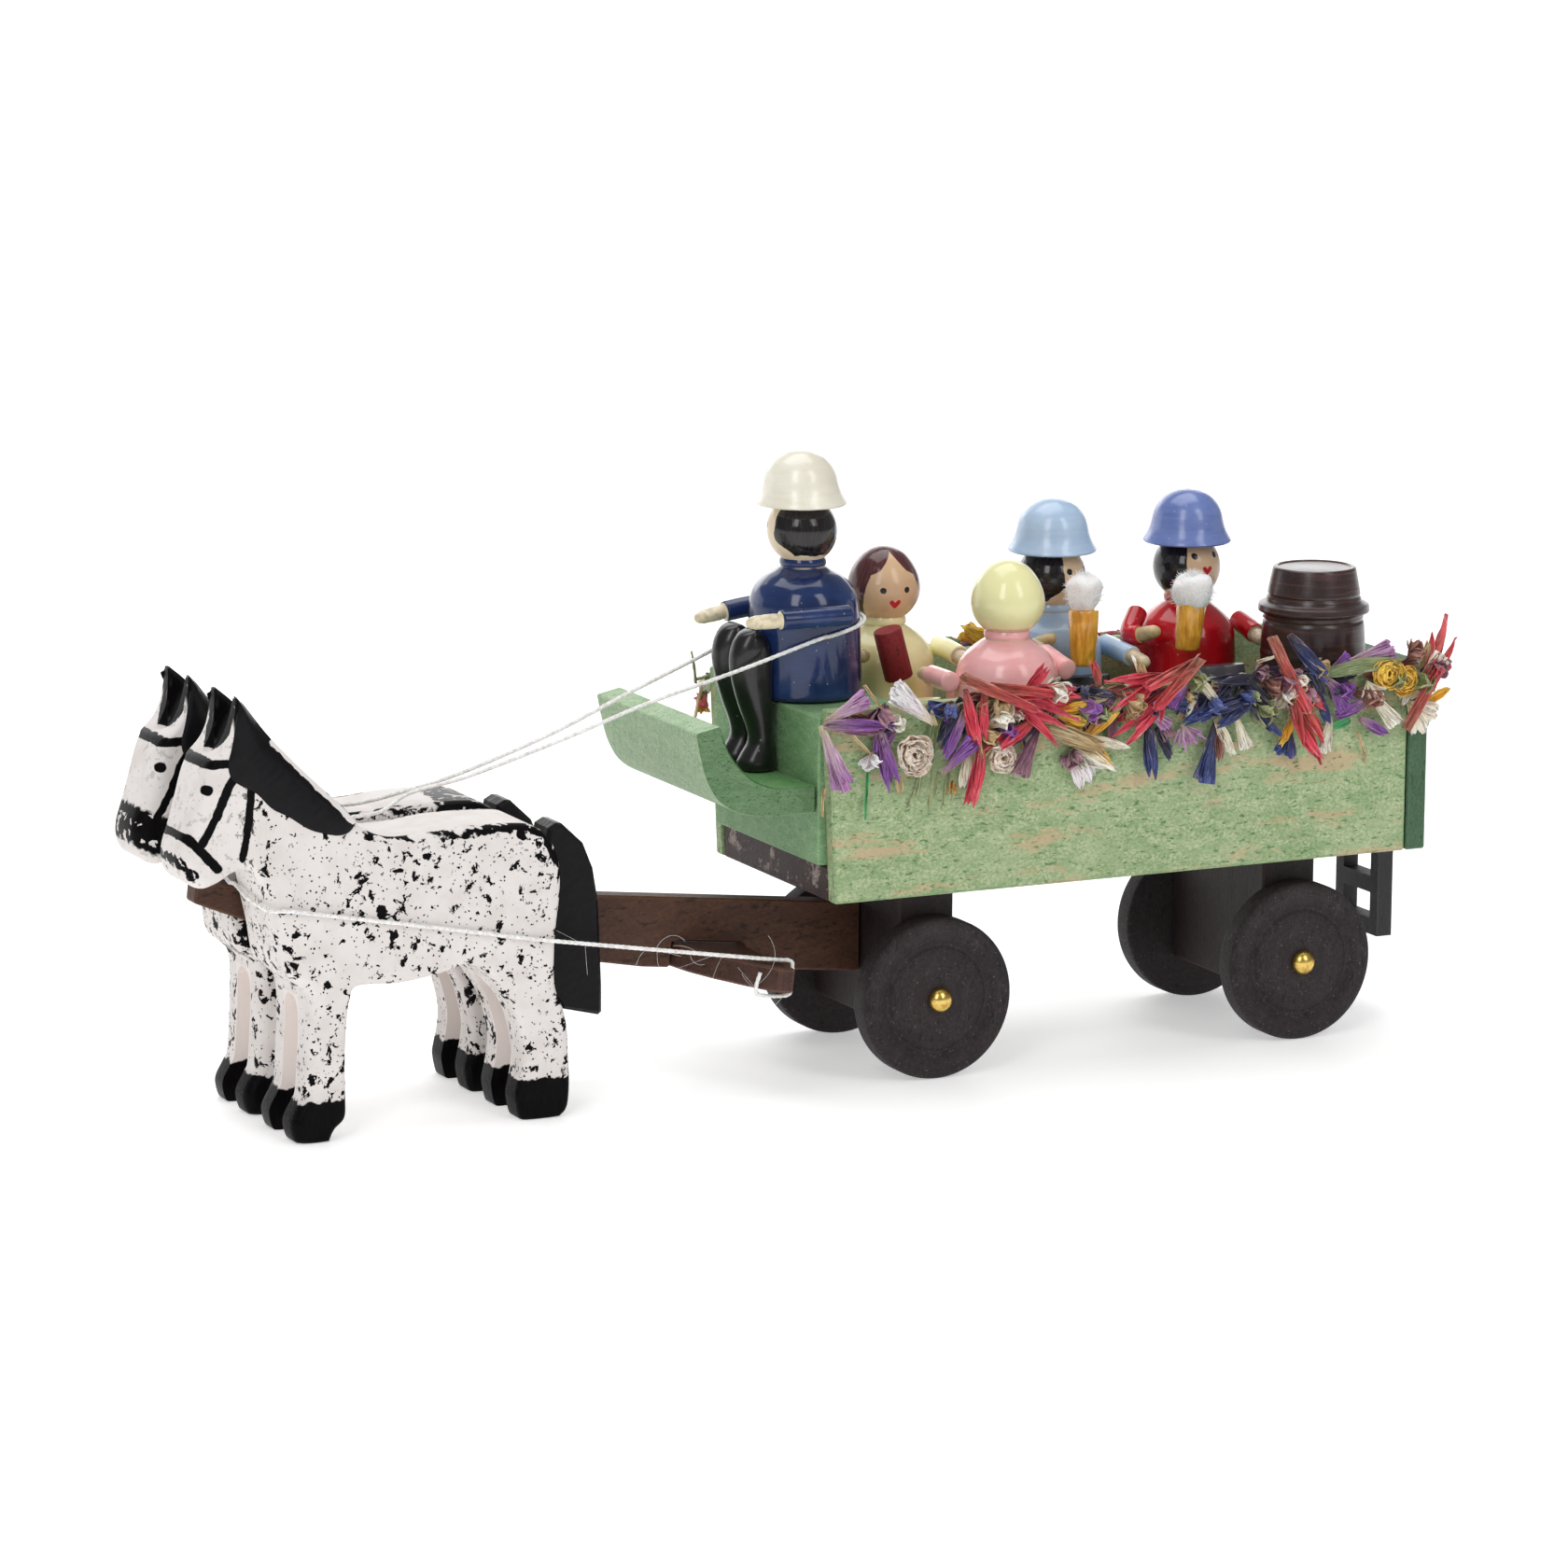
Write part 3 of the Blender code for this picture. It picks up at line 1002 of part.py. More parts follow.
# Shares of the way from the withers to the seat, of the reach past the legs, and of the climb to the hold
rein_shares = [(0.158, 0.142, 0.096), (0.293, 0.227, 0.177), (0.503, 0.368, 0.363), (0.684, 0.623, 0.554),
               (0.888, 1.085, 0.753)]
free = [(withers_x, horse_inner_y + HORSE_EDGE * 1.6, withers_z + THREAD_GAP * 0.7),
        (withers_x + span * 0.076, horse_inner_y + HORSE_EDGE, withers_z + THREAD_GAP * 2)]
free += [(withers_x + span * a, leg_outer_y * b, withers_z + climb * c) for a, b, c in rein_shares]
half = [tuple(p) for p in smooth_curve(free, 18)]
around = []
for degrees in range(104, 0, -13):
    angle = math.radians(degrees)
    rise = -0.0011 * (degrees / 104) ** 2
    around.append((hold_x + loop_radius * math.cos(angle), loop_radius * math.sin(angle), hold_z + rise))
route = both_sides(half + around, (hold_x + loop_radius, 0, hold_z))
add_thread("reins", [(x, y + (driver_y if x > seat_front_x - 0.006 else 0), z) for x, y, z in route], wagon)
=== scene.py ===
import math

import bmesh
import bpy
import numpy as np
from mathutils import Matrix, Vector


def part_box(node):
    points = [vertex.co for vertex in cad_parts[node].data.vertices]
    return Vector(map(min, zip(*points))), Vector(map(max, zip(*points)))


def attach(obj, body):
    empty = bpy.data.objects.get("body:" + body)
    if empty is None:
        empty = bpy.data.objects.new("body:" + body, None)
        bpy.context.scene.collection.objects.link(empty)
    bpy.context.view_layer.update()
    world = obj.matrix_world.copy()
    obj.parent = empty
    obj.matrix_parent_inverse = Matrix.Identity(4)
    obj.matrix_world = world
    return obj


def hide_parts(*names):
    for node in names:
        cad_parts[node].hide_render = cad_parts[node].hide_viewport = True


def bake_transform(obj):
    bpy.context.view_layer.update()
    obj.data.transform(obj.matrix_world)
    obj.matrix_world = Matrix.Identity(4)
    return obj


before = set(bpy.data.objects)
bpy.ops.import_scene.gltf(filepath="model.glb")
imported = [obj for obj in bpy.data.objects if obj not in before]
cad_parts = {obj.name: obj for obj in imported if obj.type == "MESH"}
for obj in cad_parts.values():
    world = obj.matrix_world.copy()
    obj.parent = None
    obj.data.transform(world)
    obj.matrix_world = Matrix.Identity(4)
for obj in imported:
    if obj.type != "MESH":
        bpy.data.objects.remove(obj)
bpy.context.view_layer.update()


# Camera: it stands low at the team's left front, half a metre off, and looks along the wagon.
# A long lens, 150 mm on a 36 mm back, so the near wheels hardly grow against the far ones.
pin_low, pin_high = (np.array(corner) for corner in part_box("kingpin"))
axle_x = (pin_low[0] + pin_high[0]) / 2 * 1000


def spot(x, y, z):
    """A point given in millimetres from the ground under the front axle, as metres in the frame."""
    return np.array([x + axle_x, y, z]) / 1000


def unit(vectors):
    """The same directions at length 1."""
    return vectors / np.linalg.norm(vectors, axis=-1, keepdims=True)


def put(name, data):
    """A new object in the scene."""
    piece = bpy.data.objects.new(name, data)
    bpy.context.scene.collection.objects.link(piece)
    return piece


def pose(axes, place):
    """The matrix that turns an object's own axes to three directions and sets it at a place."""
    return Matrix([[*row, p] for row, p in zip(np.stack(axes, axis=1), place)] + [[0, 0, 0, 1]])


swing, rise, tilt = (math.radians(a) for a in (-25.86, 11.14, 0.38))
back = np.array([math.sin(swing) * math.cos(rise), -math.cos(swing) * math.cos(rise), math.sin(rise)])
level = unit(np.cross([0, 0, 1], back))
upright = np.cross(back, level)
right = math.cos(tilt) * level + math.sin(tilt) * upright
over = -math.sin(tilt) * level + math.cos(tilt) * upright
stand = spot(-248.63, -492.97, 132.45)
bpy.context.scene.view_settings.view_transform = "Standard"
lens = bpy.data.cameras.new("photo_camera")
lens.lens = 150
lens.sensor_width = 36
lens.clip_start = 0.05
lens.clip_end = 20
camera = put("photo_camera", lens)
camera.matrix_world = pose([right, over, back], stand)
bpy.context.scene.camera = camera


# Threads: white two-ply cotton. The traces run from the crossbar round both horses' chests and back;
# the reins go round the driver's back and lie on the horses' withers. Their routes are the solids' own.
def smooth_line(knots, step):
    """Points at an even step along the Catmull-Rom curve through the knots."""
    knots = np.asarray(knots, dtype=float)
    ends = np.vstack([2 * knots[0] - knots[1], knots, 2 * knots[-1] - knots[-2]])
    p0, p1, p2, p3 = (ends[k:len(ends) - 3 + k, None, :] for k in range(4))
    t = np.linspace(0, 1, 24, endpoint=False)[None, :, None]
    fine = 0.5 * (2 * p1 + (p2 - p0) * t + (2 * p0 - 5 * p1 + 4 * p2 - p3) * t**2 + (3 * p1 - p0 - 3 * p2 + p3) * t**3)
    fine = np.vstack([fine.reshape(-1, knots.shape[1]), knots[-1:]])
    run = np.concatenate([[0], np.cumsum(np.linalg.norm(np.diff(fine, axis=0), axis=1))])
    wanted = np.linspace(0, run[-1], max(2, int(round(run[-1] / step)) + 1))
    return np.stack([np.interp(wanted, run, fine[:, k]) for k in range(knots.shape[1])], axis=1)


def skin(name, grid, sharp=None):
    """A closed piece from a grid of points: each row is a ring, joined to the next and closed flat at both ends."""
    grid = np.asarray(grid, dtype=float)
    rows, columns = grid.shape[:2]
    here = np.arange(rows * columns).reshape(rows, columns)
    beside = np.roll(here, -1, axis=1)
    faces = np.stack([here[:-1], beside[:-1], beside[1:], here[1:]], axis=-1).reshape(-1, 4).tolist()
    faces += [here[0, ::-1].tolist(), here[-1].tolist()]
    mesh = bpy.data.meshes.new(name)
    mesh.from_pydata(grid.reshape(-1, 3).tolist(), [], faces)
    shell = bmesh.new()
    shell.from_mesh(mesh)
    bmesh.ops.remove_doubles(shell, verts=shell.verts, dist=1e-7)
    bmesh.ops.recalc_face_normals(shell, faces=shell.faces)
    shell.to_mesh(mesh)
    shell.free()
    mesh.shade_smooth()
    if sharp is not None:
        mesh.set_sharp_from_angle(angle=math.radians(sharp))
    return put(name, mesh)


def around(count):
    """Even angles once round, in radians."""
    return np.arange(count) * 2 * np.pi / count


def twisted(path, radius, pitch, columns=12):
    """Rings along a path whose section has two lobes, like two yarns, and turns once in every pitch.

    The radius at angle a is the full radius times 0.80 + 0.20 |cos(a - turn)|.
    """
    along = unit(np.gradient(path, axis=0))
    side = unit(np.cross(along, [0.48, 0.62, 0.62]))
    across = np.cross(along, side)
    run = np.concatenate([[0], np.cumsum(np.linalg.norm(np.diff(path, axis=0), axis=1))])
    a = around(columns)
    turn = 2 * np.pi * run / pitch
    reach = radius * (0.80 + 0.20 * np.abs(np.cos(a[None, :] - turn[:, None])))
    ring = np.cos(a)[None, :, None] * side[:, None, :] + np.sin(a)[None, :, None] * across[:, None, :]
    return path[:, None, :] + reach[:, :, None] * ring


def add_node(tree, kind, inputs=(), **choices):
    """One shader node. Each input, by name or number, is a value or another node's socket to link."""
    node = tree.nodes.new("ShaderNode" + kind)
    for key, value in choices.items():
        setattr(node, key, value)
    for key, value in dict(inputs).items():
        if isinstance(value, bpy.types.NodeSocket):
            tree.links.new(value, node.inputs[key])
        else:
            node.inputs[key].default_value = value
    return node


def new_finish(name, **sockets):
    """A material with its shader's own sockets set; two underscores in a key stand for a space."""
    finish = bpy.data.materials.new(name)
    finish.use_nodes = True
    shader = finish.node_tree.nodes["Principled BSDF"]
    for key, value in sockets.items():
        shader.inputs[key.replace("__", " ")].default_value = value
    return finish, finish.node_tree, shader


def ink(red, green, blue):
    """A colour as read off, 0 to 255 a channel, in Blender's linear light."""
    share = np.array([red, green, blue]) / 255
    light = np.where(share <= 0.04045, share / 12.92, ((share + 0.055) / 1.055) ** 2.4)
    return (*light.tolist(), 1.0)


def from_point(tree, centre=(0, 0, 0), stretch=(1, 1, 1), turn=(0, 0, 0)):
    """Object coordinates measured from a centre, then turned, then stretched."""
    coordinates = add_node(tree, "TexCoord").outputs["Object"]
    moved = add_node(tree, "Mapping", {"Vector": coordinates, "Location": [-c for c in centre]}, vector_type="POINT")
    spun = add_node(tree, "Mapping", {"Vector": moved.outputs[0], "Rotation": turn}, vector_type="POINT")
    return add_node(tree, "Mapping", {"Vector": spun.outputs[0], "Scale": stretch}, vector_type="POINT").outputs[0]


def squeezed(tree, place, stretch):
    """A place stretched along its axes, so that what is drawn there runs along the least of them."""
    return add_node(tree, "Mapping", {"Vector": place, "Scale": stretch}).outputs[0]


def grey_noise(tree, place, scale, detail=2.0, rough=0.5, bend=0.0):
    """The grey value of a noise, 0 to 1."""
    return add_node(tree, "TexNoise", {"Vector": place, "Scale": scale, "Detail": detail, "Roughness": rough,
                                       "Distortion": bend}).outputs["Fac"]


def bumped(tree, strength, depth, height):
    """The normal of a surface raised by a height, the depth in metres."""
    return add_node(tree, "Bump", {"Strength": strength, "Distance": depth, "Height": height}).outputs["Normal"]


def ramped(tree, share, low, high, start=0.0, end=1.0):
    """A colour read off a ramp that goes from low at the start to high at the end."""
    ramp = add_node(tree, "ValToRGB", {"Fac": share})
    for stop, colour, place in zip(ramp.color_ramp.elements, (low, high), (start, end)):
        stop.color, stop.position = colour, place
    return ramp.outputs["Color"]


def cover(tree, shader, colour, roughness=None, normal=None):
    """Link what was mixed to the shader's own sockets."""
    for key, value in (("Base Color", colour), ("Roughness", roughness), ("Normal", normal)):
        if value is not None:
            tree.links.new(value, shader.inputs[key])


def cotton():
    """Bright cotton whose shade varies with the twist and whose surface is fine fibre."""
    finish, tree, shader = new_finish("white_cotton", Roughness=0.85, Sheen__Weight=0.35, Sheen__Roughness=0.5,
                                      Subsurface__Weight=0.15, Subsurface__Scale=0.0003)
    place = from_point(tree)
    shade = ramped(tree, grey_noise(tree, place, 2600, 3, 0.6), ink(214, 212, 208), ink(250, 250, 248), 0.3, 0.62)
    bump = bumped(tree, 0.5, 0.00004, grey_noise(tree, place, 9000))
    cover(tree, shader, shade, normal=bump)
    return finish


thread_radius, thread_gap = 0.18, 0.15
horse_height, horse_length, hoof_back = 36.3, 35.7, 34.2
pole_rise = math.radians(6.4)
pole_rear, pole_top, pole_depth = -2.8, 16.1 - 2.25, 6.1
clear = thread_radius + thread_gap


def on_pole(forward, up, y=0.0):
    """A point of the tilted pole, in millimetres: forward along its top edge, up square to it."""
    x = pole_rear - forward * math.cos(pole_rise) + up * math.sin(pole_rise)
    return (x, y, pole_top + forward * math.sin(pole_rise) + up * math.cos(pole_rise))


def side_view(along, high):
    """A point of a horse's side view in millimetres, from shares of its length and height."""
    return (-hoof_back - horse_length * along, horse_height * high)


horse_inner, horse_outer = 1.25, 9.45
horse_middle = (horse_inner + horse_outer) / 2
bar_top, bar_bottom = -(pole_depth - 2.3) - 0.2, -pole_depth
flank_y = horse_outer + clear
chest_x = side_view(0.734, 0)[0] - clear
tie_y = flank_y - 0.2
tie_width = 1.4 + 5.2 * (1 - (tie_y / 11.2) ** 1.6)
rear, fore = 10.7 - clear, 10.7 + tie_width + clear
top, under = bar_top + clear, bar_bottom - clear
wound = [on_pole(fore - 0.1, top - 0.9, tie_y + 0.6), on_pole(fore + 0.1, under + 0.6, tie_y + 0.5),
         on_pole(fore - 0.3, under - 0.1, tie_y + 0.4), on_pole(rear + 0.3, under - 0.1, tie_y + 0.3),
         on_pole(rear - 0.1, under + 0.5, tie_y + 0.2), on_pole(rear - 0.1, top - 0.5, tie_y + 0.1),
         on_pole(rear + 0.3, top + 0.1, tie_y), on_pole(fore - 0.2, top + 0.2, tie_y)]
flank = [(side_view(share, 0)[0], flank_y, horse_height * high)
         for share, high in ((0.03, 0.4165), (0.22, 0.453), (0.45, 0.4975), (0.61, 0.528), (0.680, 0.542))]
chest = [(chest_x + 0.6, flank_y - 0.1, horse_height * 0.546), (chest_x, horse_outer - 0.6, horse_height * 0.549),
         (chest_x - 0.1, horse_middle, horse_height * 0.556), (chest_x - 0.1, horse_inner + 1.4, horse_height * 0.572)]
over_pole = on_pole((pole_rear - chest_x) / math.cos(pole_rise), clear + 0.1)
half = wound + flank + chest + [(chest_x - 0.1, 1 + clear, over_pole[2] - 0.1)]
route = [(x, -y, z) for x, y, z in half] + [over_pole] + [(x, y, z) for x, y, z in reversed(half)]
traces_path = smooth_line([spot(*p) for p in route], 0.00014)

seat_front = -11.4
driver_base = np.array([seat_front + 3.6, -0.3, 32.4])
driver_radius, driver_lean, neck_top = 4.8, 0.035, 11.8
hold_high = neck_top * 0.555
hold = np.array([driver_base[0] - driver_lean * hold_high, 0, driver_base[2] + hold_high])
withers = np.array([side_view(0.46, 0)[0], side_view(0, 0.690)[1] + clear])
climb, span = hold[2] - withers[1], seat_front - withers[0]
free = [(withers[0], horse_inner + 1.28, withers[1] + 0.105),
        (withers[0] + span * 0.076, horse_inner + 0.8, withers[1] + 0.3)]
free += [(withers[0] + span * a, 3.53 * b, withers[1] + climb * c)
         for a, b, c in ((0.158, 0.142, 0.096), (0.293, 0.227, 0.177), (0.503, 0.368, 0.363), (0.684, 0.623, 0.554),
                         (0.888, 1.085, 0.753))]
reach = driver_radius + clear
turn = np.radians(np.arange(104, 0, -13))
bend = [(hold[0] + reach * math.cos(a), reach * math.sin(a), hold[2] - 1.1 * (a / turn[0]) ** 2) for a in turn]
half = free + bend
route = [(x, -y, z) for x, y, z in half] + [(hold[0] + reach, 0, hold[2])] + [(x, y, z) for x, y, z in reversed(half)]
route = [(x, y - (0.3 if x > seat_front - 6 else 0), z) for x, y, z in route]
reins_path = smooth_line([spot(*p) for p in route], 0.00014)

white_cotton = cotton()
for name, path in (("traces", traces_path), ("reins", reins_path)):
    thread = skin(name + "_thread", twisted(path, thread_radius / 1000, 0.0011))
    thread.data.materials.append(white_cotton)
    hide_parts(name)
    if name == "traces":
        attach(thread, "front_gear")
    else:
        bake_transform(thread)


# Studio: a white sweep under soft boxes, two tall ones in front that give each head its twin highlights.
# The sheet is matt card and the boxes are plain diffused lamps.
sweep = bpy.data.meshes.new("studio_floor")
sweep.from_pydata([(-4, -4, 0), (4, -4, 0), (4, 4, 0), (-4, 4, 0)], [], [(0, 1, 2, 3)])
floor = put("studio_floor", sweep)
card, tree, shader = new_finish("white_card", Roughness=0.6, Specular__IOR__Level=0.2, Emission__Color=(1, 1, 1, 1),
                                Emission__Strength=0.40)
grain = grey_noise(tree, from_point(tree), 60, 4)
shade = ramped(tree, grain, (0.86, 0.86, 0.865, 1), (0.89, 0.89, 0.89, 1))
cover(tree, shader, shade)
sweep.materials.append(card)
backdrop = bpy.data.meshes.new("studio_backdrop")
backdrop.from_pydata([(-6, 3.9, -0.2), (6, 3.9, -0.2), (6, 3.9, 1.6), (-6, 3.9, 1.6)], [], [(0, 1, 2, 3)])
wall = put("studio_backdrop", backdrop)
paper, tree, shader = new_finish("backdrop_paper", Base__Color=(0.85, 0.85, 0.85, 1), Roughness=0.8,
                                 Specular__IOR__Level=0.1, Emission__Color=(1, 1, 1, 1), Emission__Strength=0.9)
backdrop.materials.append(paper)


def soft_box(name, place, aim, width, height, power):
    """A rectangular lamp at a place, turned to face a point; both in metres in the frame."""
    lamp = bpy.data.lights.new(name, "AREA")
    lamp.shape = "RECTANGLE"
    lamp.size = width
    lamp.size_y = height
    lamp.energy = power
    away = unit(np.subtract(place, aim))
    flat = unit(np.cross([0, 0, 1], away))
    put(name, lamp).matrix_world = pose([flat, np.cross(away, flat), away], place)


middle = (0.0, 0.0, 0.025)
soft_box("left_box", (-0.75, -0.75, 0.75), middle, 0.35, 0.8, 3.8)
soft_box("right_box", (0.35, -1.05, 0.80), middle, 0.35, 0.8, 3.3)
soft_box("top_box", (0.0, 0.25, 1.2), middle, 1.2, 1.0, 9.5)
soft_box("back_box", (0.3, 1.3, 0.6), middle, 1.6, 0.8, 4.5)
sky = bpy.data.worlds.new("studio_light")
sky.use_nodes = True
glow = sky.node_tree.nodes["Background"].inputs
glow["Color"].default_value = (1, 1, 1, 1)
glow["Strength"].default_value = 0.25
bpy.context.scene.world = sky


# Wagon box: thin sawn limewood boards glued edge to edge, washed with a green water stain.
# The stain takes more in the open grain, and some patches stay bare and tan; the bent foot board's end faces and hollow
# are darkened with painted shade.
def new_effect(name, inputs, outputs):
    """A shared effect: a node group with named sockets, each input with its type and first value."""
    group = bpy.data.node_groups.new(name, "ShaderNodeTree")
    for label, kind, start in inputs:
        socket = group.interface.new_socket(name=label, in_out="INPUT", socket_type="NodeSocket" + kind)
        if start is not None:
            socket.default_value = start
    for label, kind in outputs:
        group.interface.new_socket(name=label, in_out="OUTPUT", socket_type="NodeSocket" + kind)
    return group, group.nodes.new("NodeGroupInput").outputs, group.nodes.new("NodeGroupOutput").inputs


def between(tree, value, low, high):
    """A value spread from 0 at low to 1 at high with a smooth step."""
    return add_node(tree, "MapRange", {"Value": value, "From Min": low, "From Max": high},
                    interpolation_type="SMOOTHSTEP").outputs["Result"]


def blended(tree, share, first, second, way="MIX"):
    """Two colours mixed by a share."""
    node = add_node(tree, "Mix", data_type="RGBA", blend_type=way)
    for key, value in ((0, share), (6, first), (7, second)):
        if isinstance(value, bpy.types.NodeSocket):
            tree.links.new(value, node.inputs[key])
        else:
            node.inputs[key].default_value = value
    return node.outputs[2]


def sums(tree, way, first, second=0.0, third=0.0):
    """One step of arithmetic on values."""
    return add_node(tree, "Math", {0: first, 1: second, 2: third}, operation=way).outputs[0]


def vector_step(tree, way, first, second=(0, 0, 0)):
    """One step of arithmetic on vectors; a dot product and a length come out as values."""
    node = add_node(tree, "VectorMath", {0: first, 1: second}, operation=way)
    return node.outputs["Value" if way in ("DOT_PRODUCT", "LENGTH") else 0]


def plus(tree, first, second):
    """The sum of two values."""
    return sums(tree, "ADD", first, second)


def minus(tree, first, second):
    """The first value less the second."""
    return sums(tree, "SUBTRACT", first, second)


def rest(tree, share):
    """What a share leaves of 1."""
    return minus(tree, 1.0, share)


def times(tree, first, second):
    """The product of two values."""
    return sums(tree, "MULTIPLY", first, second)


def larger(tree, first, second):
    """The larger of two values; of two masks, the points that either covers."""
    return sums(tree, "MAXIMUM", first, second)


def grain_effect():
    """Stained grain that runs along the first axis: streaks of two stains, bare patches, dark pores and fine fibre.

    All four are noises squeezed across the grain; the height is the fibre less the pores.
    """
    group, given, out = new_effect(
        "stained_grain",
        [("Vector", "Vector", None), ("Light", "Color", (0.4, 0.6, 0.35, 1)), ("Deep", "Color", (0.2, 0.45, 0.2, 1)),
         ("Bare", "Color", (0.6, 0.5, 0.3, 1)), ("Pore", "Color", (0.1, 0.2, 0.1, 1)), ("Bare Share", "Float", 0.3),
         ("Pore Share", "Float", 0.3), ("Scale", "Float", 1.0)],
        [("Color", "Color"), ("Roughness", "Float"), ("Height", "Float")])

    def noise(stretch, scale, detail=3.0, rough=0.55):
        place = squeezed(group, given["Vector"], stretch)
        return grey_noise(group, place, times(group, given["Scale"], scale), detail, rough)

    streak = between(group, noise((0.42, 1, 1), 1150), 0.36, 0.66)
    cloud = between(group, noise((0.6, 1, 1), 260, 2.0), 0.30, 0.75)
    mottle = between(group, noise((0.70, 1, 1), 4600, 4.0, 0.75), 0.36, 0.64)
    colour = blended(group, times(group, streak, 0.50), given["Light"], given["Deep"])
    colour = blended(group, times(group, mottle, 0.80), colour, given["Deep"])
    colour = blended(group, times(group, cloud, 0.35), colour, given["Light"])
    patch_edge = minus(group, 0.78, times(group, given["Bare Share"], 0.45))
    patch = noise((0.20, 1, 1), 380, 5.0, 0.75)
    patch = sums(group, "SMOOTH_MIN", times(group, minus(group, patch, patch_edge), 14.0), 1.0, 0.2)
    patch = larger(group, patch, 0.0)
    colour = blended(group, times(group, patch, 0.75), colour, given["Bare"])
    pore_edge = minus(group, 0.74, times(group, given["Pore Share"], 0.30))
    pore = minus(group, noise((0.38, 1, 1), 3000, 3.0, 0.6), pore_edge)
    pore = sums(group, "MINIMUM", larger(group, times(group, pore, 12.0), 0.0), 1.0)
    colour = blended(group, times(group, pore, 0.8), colour, given["Pore"])
    fibre = noise((0.06, 1, 1), 7000, 3.0, 0.6)
    height = minus(group, times(group, fibre, 0.8), times(group, pore, 0.7))
    height = plus(group, height, times(group, mottle, 0.35))
    group.links.new(colour, out["Color"])
    group.links.new(plus(group, 0.48, times(group, fibre, 0.2)), out["Roughness"])
    group.links.new(height, out["Height"])
    return group


def edge_effect():
    """How near a broken edge a point is: 1 where the rounded normal leaves the true one, 0 on the flat."""
    group, given, out = new_effect("worn_edge", [("Vector", "Vector", None), ("Radius", "Float", 0.0003),
                                                 ("Raggedness", "Float", 0.5)], [("Mask", "Float")])
    rounded = add_node(group, "Bevel", {"Radius": given["Radius"]}, samples=6).outputs["Normal"]
    true = add_node(group, "NewGeometry").outputs["Normal"]
    match = vector_step(group, "DOT_PRODUCT", rounded, true)
    noise = grey_noise(group, given["Vector"], 1800, 3)
    ragged = times(group, minus(group, noise, 0.5), given["Raggedness"])
    off = plus(group, rest(group, match), times(group, ragged, 0.25))
    group.links.new(between(group, off, 0.015, 0.13), out["Mask"])
    return group


stained_grain = grain_effect()
worn_edge = edge_effect()


def worn(tree, place, radius=0.0003):
    """The mask of worn edges, as far in as the radius in metres."""
    return add_node(tree, "Group", {"Vector": place, "Radius": radius}, node_tree=worn_edge).outputs["Mask"]


def stained(tree, place, light, deep, bare, pore, bare_share, pore_share, scale):
    """The stained grain at a place, as the sockets of its colour, roughness and height."""
    given = {"Vector": place, "Light": light, "Deep": deep, "Bare": bare, "Pore": pore, "Bare Share": bare_share,
             "Pore Share": pore_share, "Scale": scale}
    return add_node(tree, "Group", given, node_tree=stained_grain).outputs


def stained_board(name, light, deep, bare, pore, bare_share=0.3, pore_share=0.35, scale=1.0, turn=(0, 0, 0),
                  centre=(0, 0, 0), edge=None, edge_share=0.6, depth=0.00006, gloss=0.35):
    """A stained wooden finish whose grain runs along X after the turn; edge gives the colour of worn edges."""
    finish, tree, shader = new_finish(name, Specular__IOR__Level=gloss)
    place = from_point(tree, centre, turn=turn)
    wood = stained(tree, place, light, deep, bare, pore, bare_share, pore_share, scale)
    colour = wood["Color"]
    if edge is not None:
        colour = blended(tree, times(tree, worn(tree, place), edge_share), colour, edge)
    bump = bumped(tree, 0.6, depth, wood["Height"])
    cover(tree, shader, colour, wood["Roughness"], bump)
    return finish


def dress(node, finish):
    """Give a CAD node its material."""
    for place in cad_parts[node].material_slots:
        place.material = finish


for side in ("left", "right"):
    centre = np.mean(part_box("side_board_" + side), axis=0)
    board = stained_board("side_stain_" + side, ink(188, 199, 158), ink(108, 144, 92), ink(200, 170, 136),
                          ink(62, 112, 62), 0.54, 0.52, centre=centre, edge=ink(84, 140, 86), edge_share=0.7)
    dress("side_board_" + side, board)
    bench = stained_board("bench_stain_" + side, ink(130, 164, 120), ink(84, 122, 82), ink(170, 164, 124),
                          ink(48, 80, 52), 0.15, 0.4, centre=centre)
    dress("bench_" + side, bench)
dress("tail_board", stained_board("tail_stain", ink(80, 110, 80), ink(52, 82, 58), ink(116, 122, 90), ink(30, 52, 38),
                                  0.10, 0.45, turn=(0, math.pi / 2, 0), edge=ink(92, 140, 104)))
dress("seat_block", stained_board("seat_stain", ink(150, 184, 138), ink(98, 140, 96), ink(172, 184, 138),
                                  ink(56, 94, 62), 0.12, 0.35, scale=1.3, turn=(0, 0, math.pi / 2),
                                  edge=ink(150, 190, 142)))
foot_low, foot_high = (np.array(corner) * 1000 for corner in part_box("foot_board"))
under = smooth_line([(-11.13, 7.56), (-10.72, 5.6), (-10.15, 3.6), (-9.05, 1.75), (-7.35, 0.62), (-5.2, 0.08),
                     (-3.5, 0), (0, 0)], 0.3)
above = smooth_line([(-8.88, 8.03), (-8.50, 6.8), (-7.95, 5.6), (-7.05, 4.35), (-5.85, 3.3), (-4.5, 2.62),
                     (-3.0, 2.34), (0, 2.3)], 0.3)
loop = np.concatenate([under, above[::-1]]) + [foot_high[0], foot_low[2]]
foot = skin("foot_board_sawn", [[(x / 1000, y / 1000, z / 1000) for x, z in loop]
                                for y in np.linspace(foot_low[1], foot_high[1], 9)], 40)
rounding = foot.modifiers.new("rounding", "BEVEL")
rounding.width = 0.00016
rounding.segments = 2
rounding.limit_method = "ANGLE"
rounding.angle_limit = math.radians(50)
finish = stained_board("foot_stain_and_painted_shade", ink(196, 216, 182), ink(124, 164, 116), ink(204, 200, 160), ink(70, 112, 72), 0.16,
                       0.5, scale=1.9, edge=ink(160, 196, 150))
tree = finish.node_tree
shader = tree.nodes["Principled BSDF"]
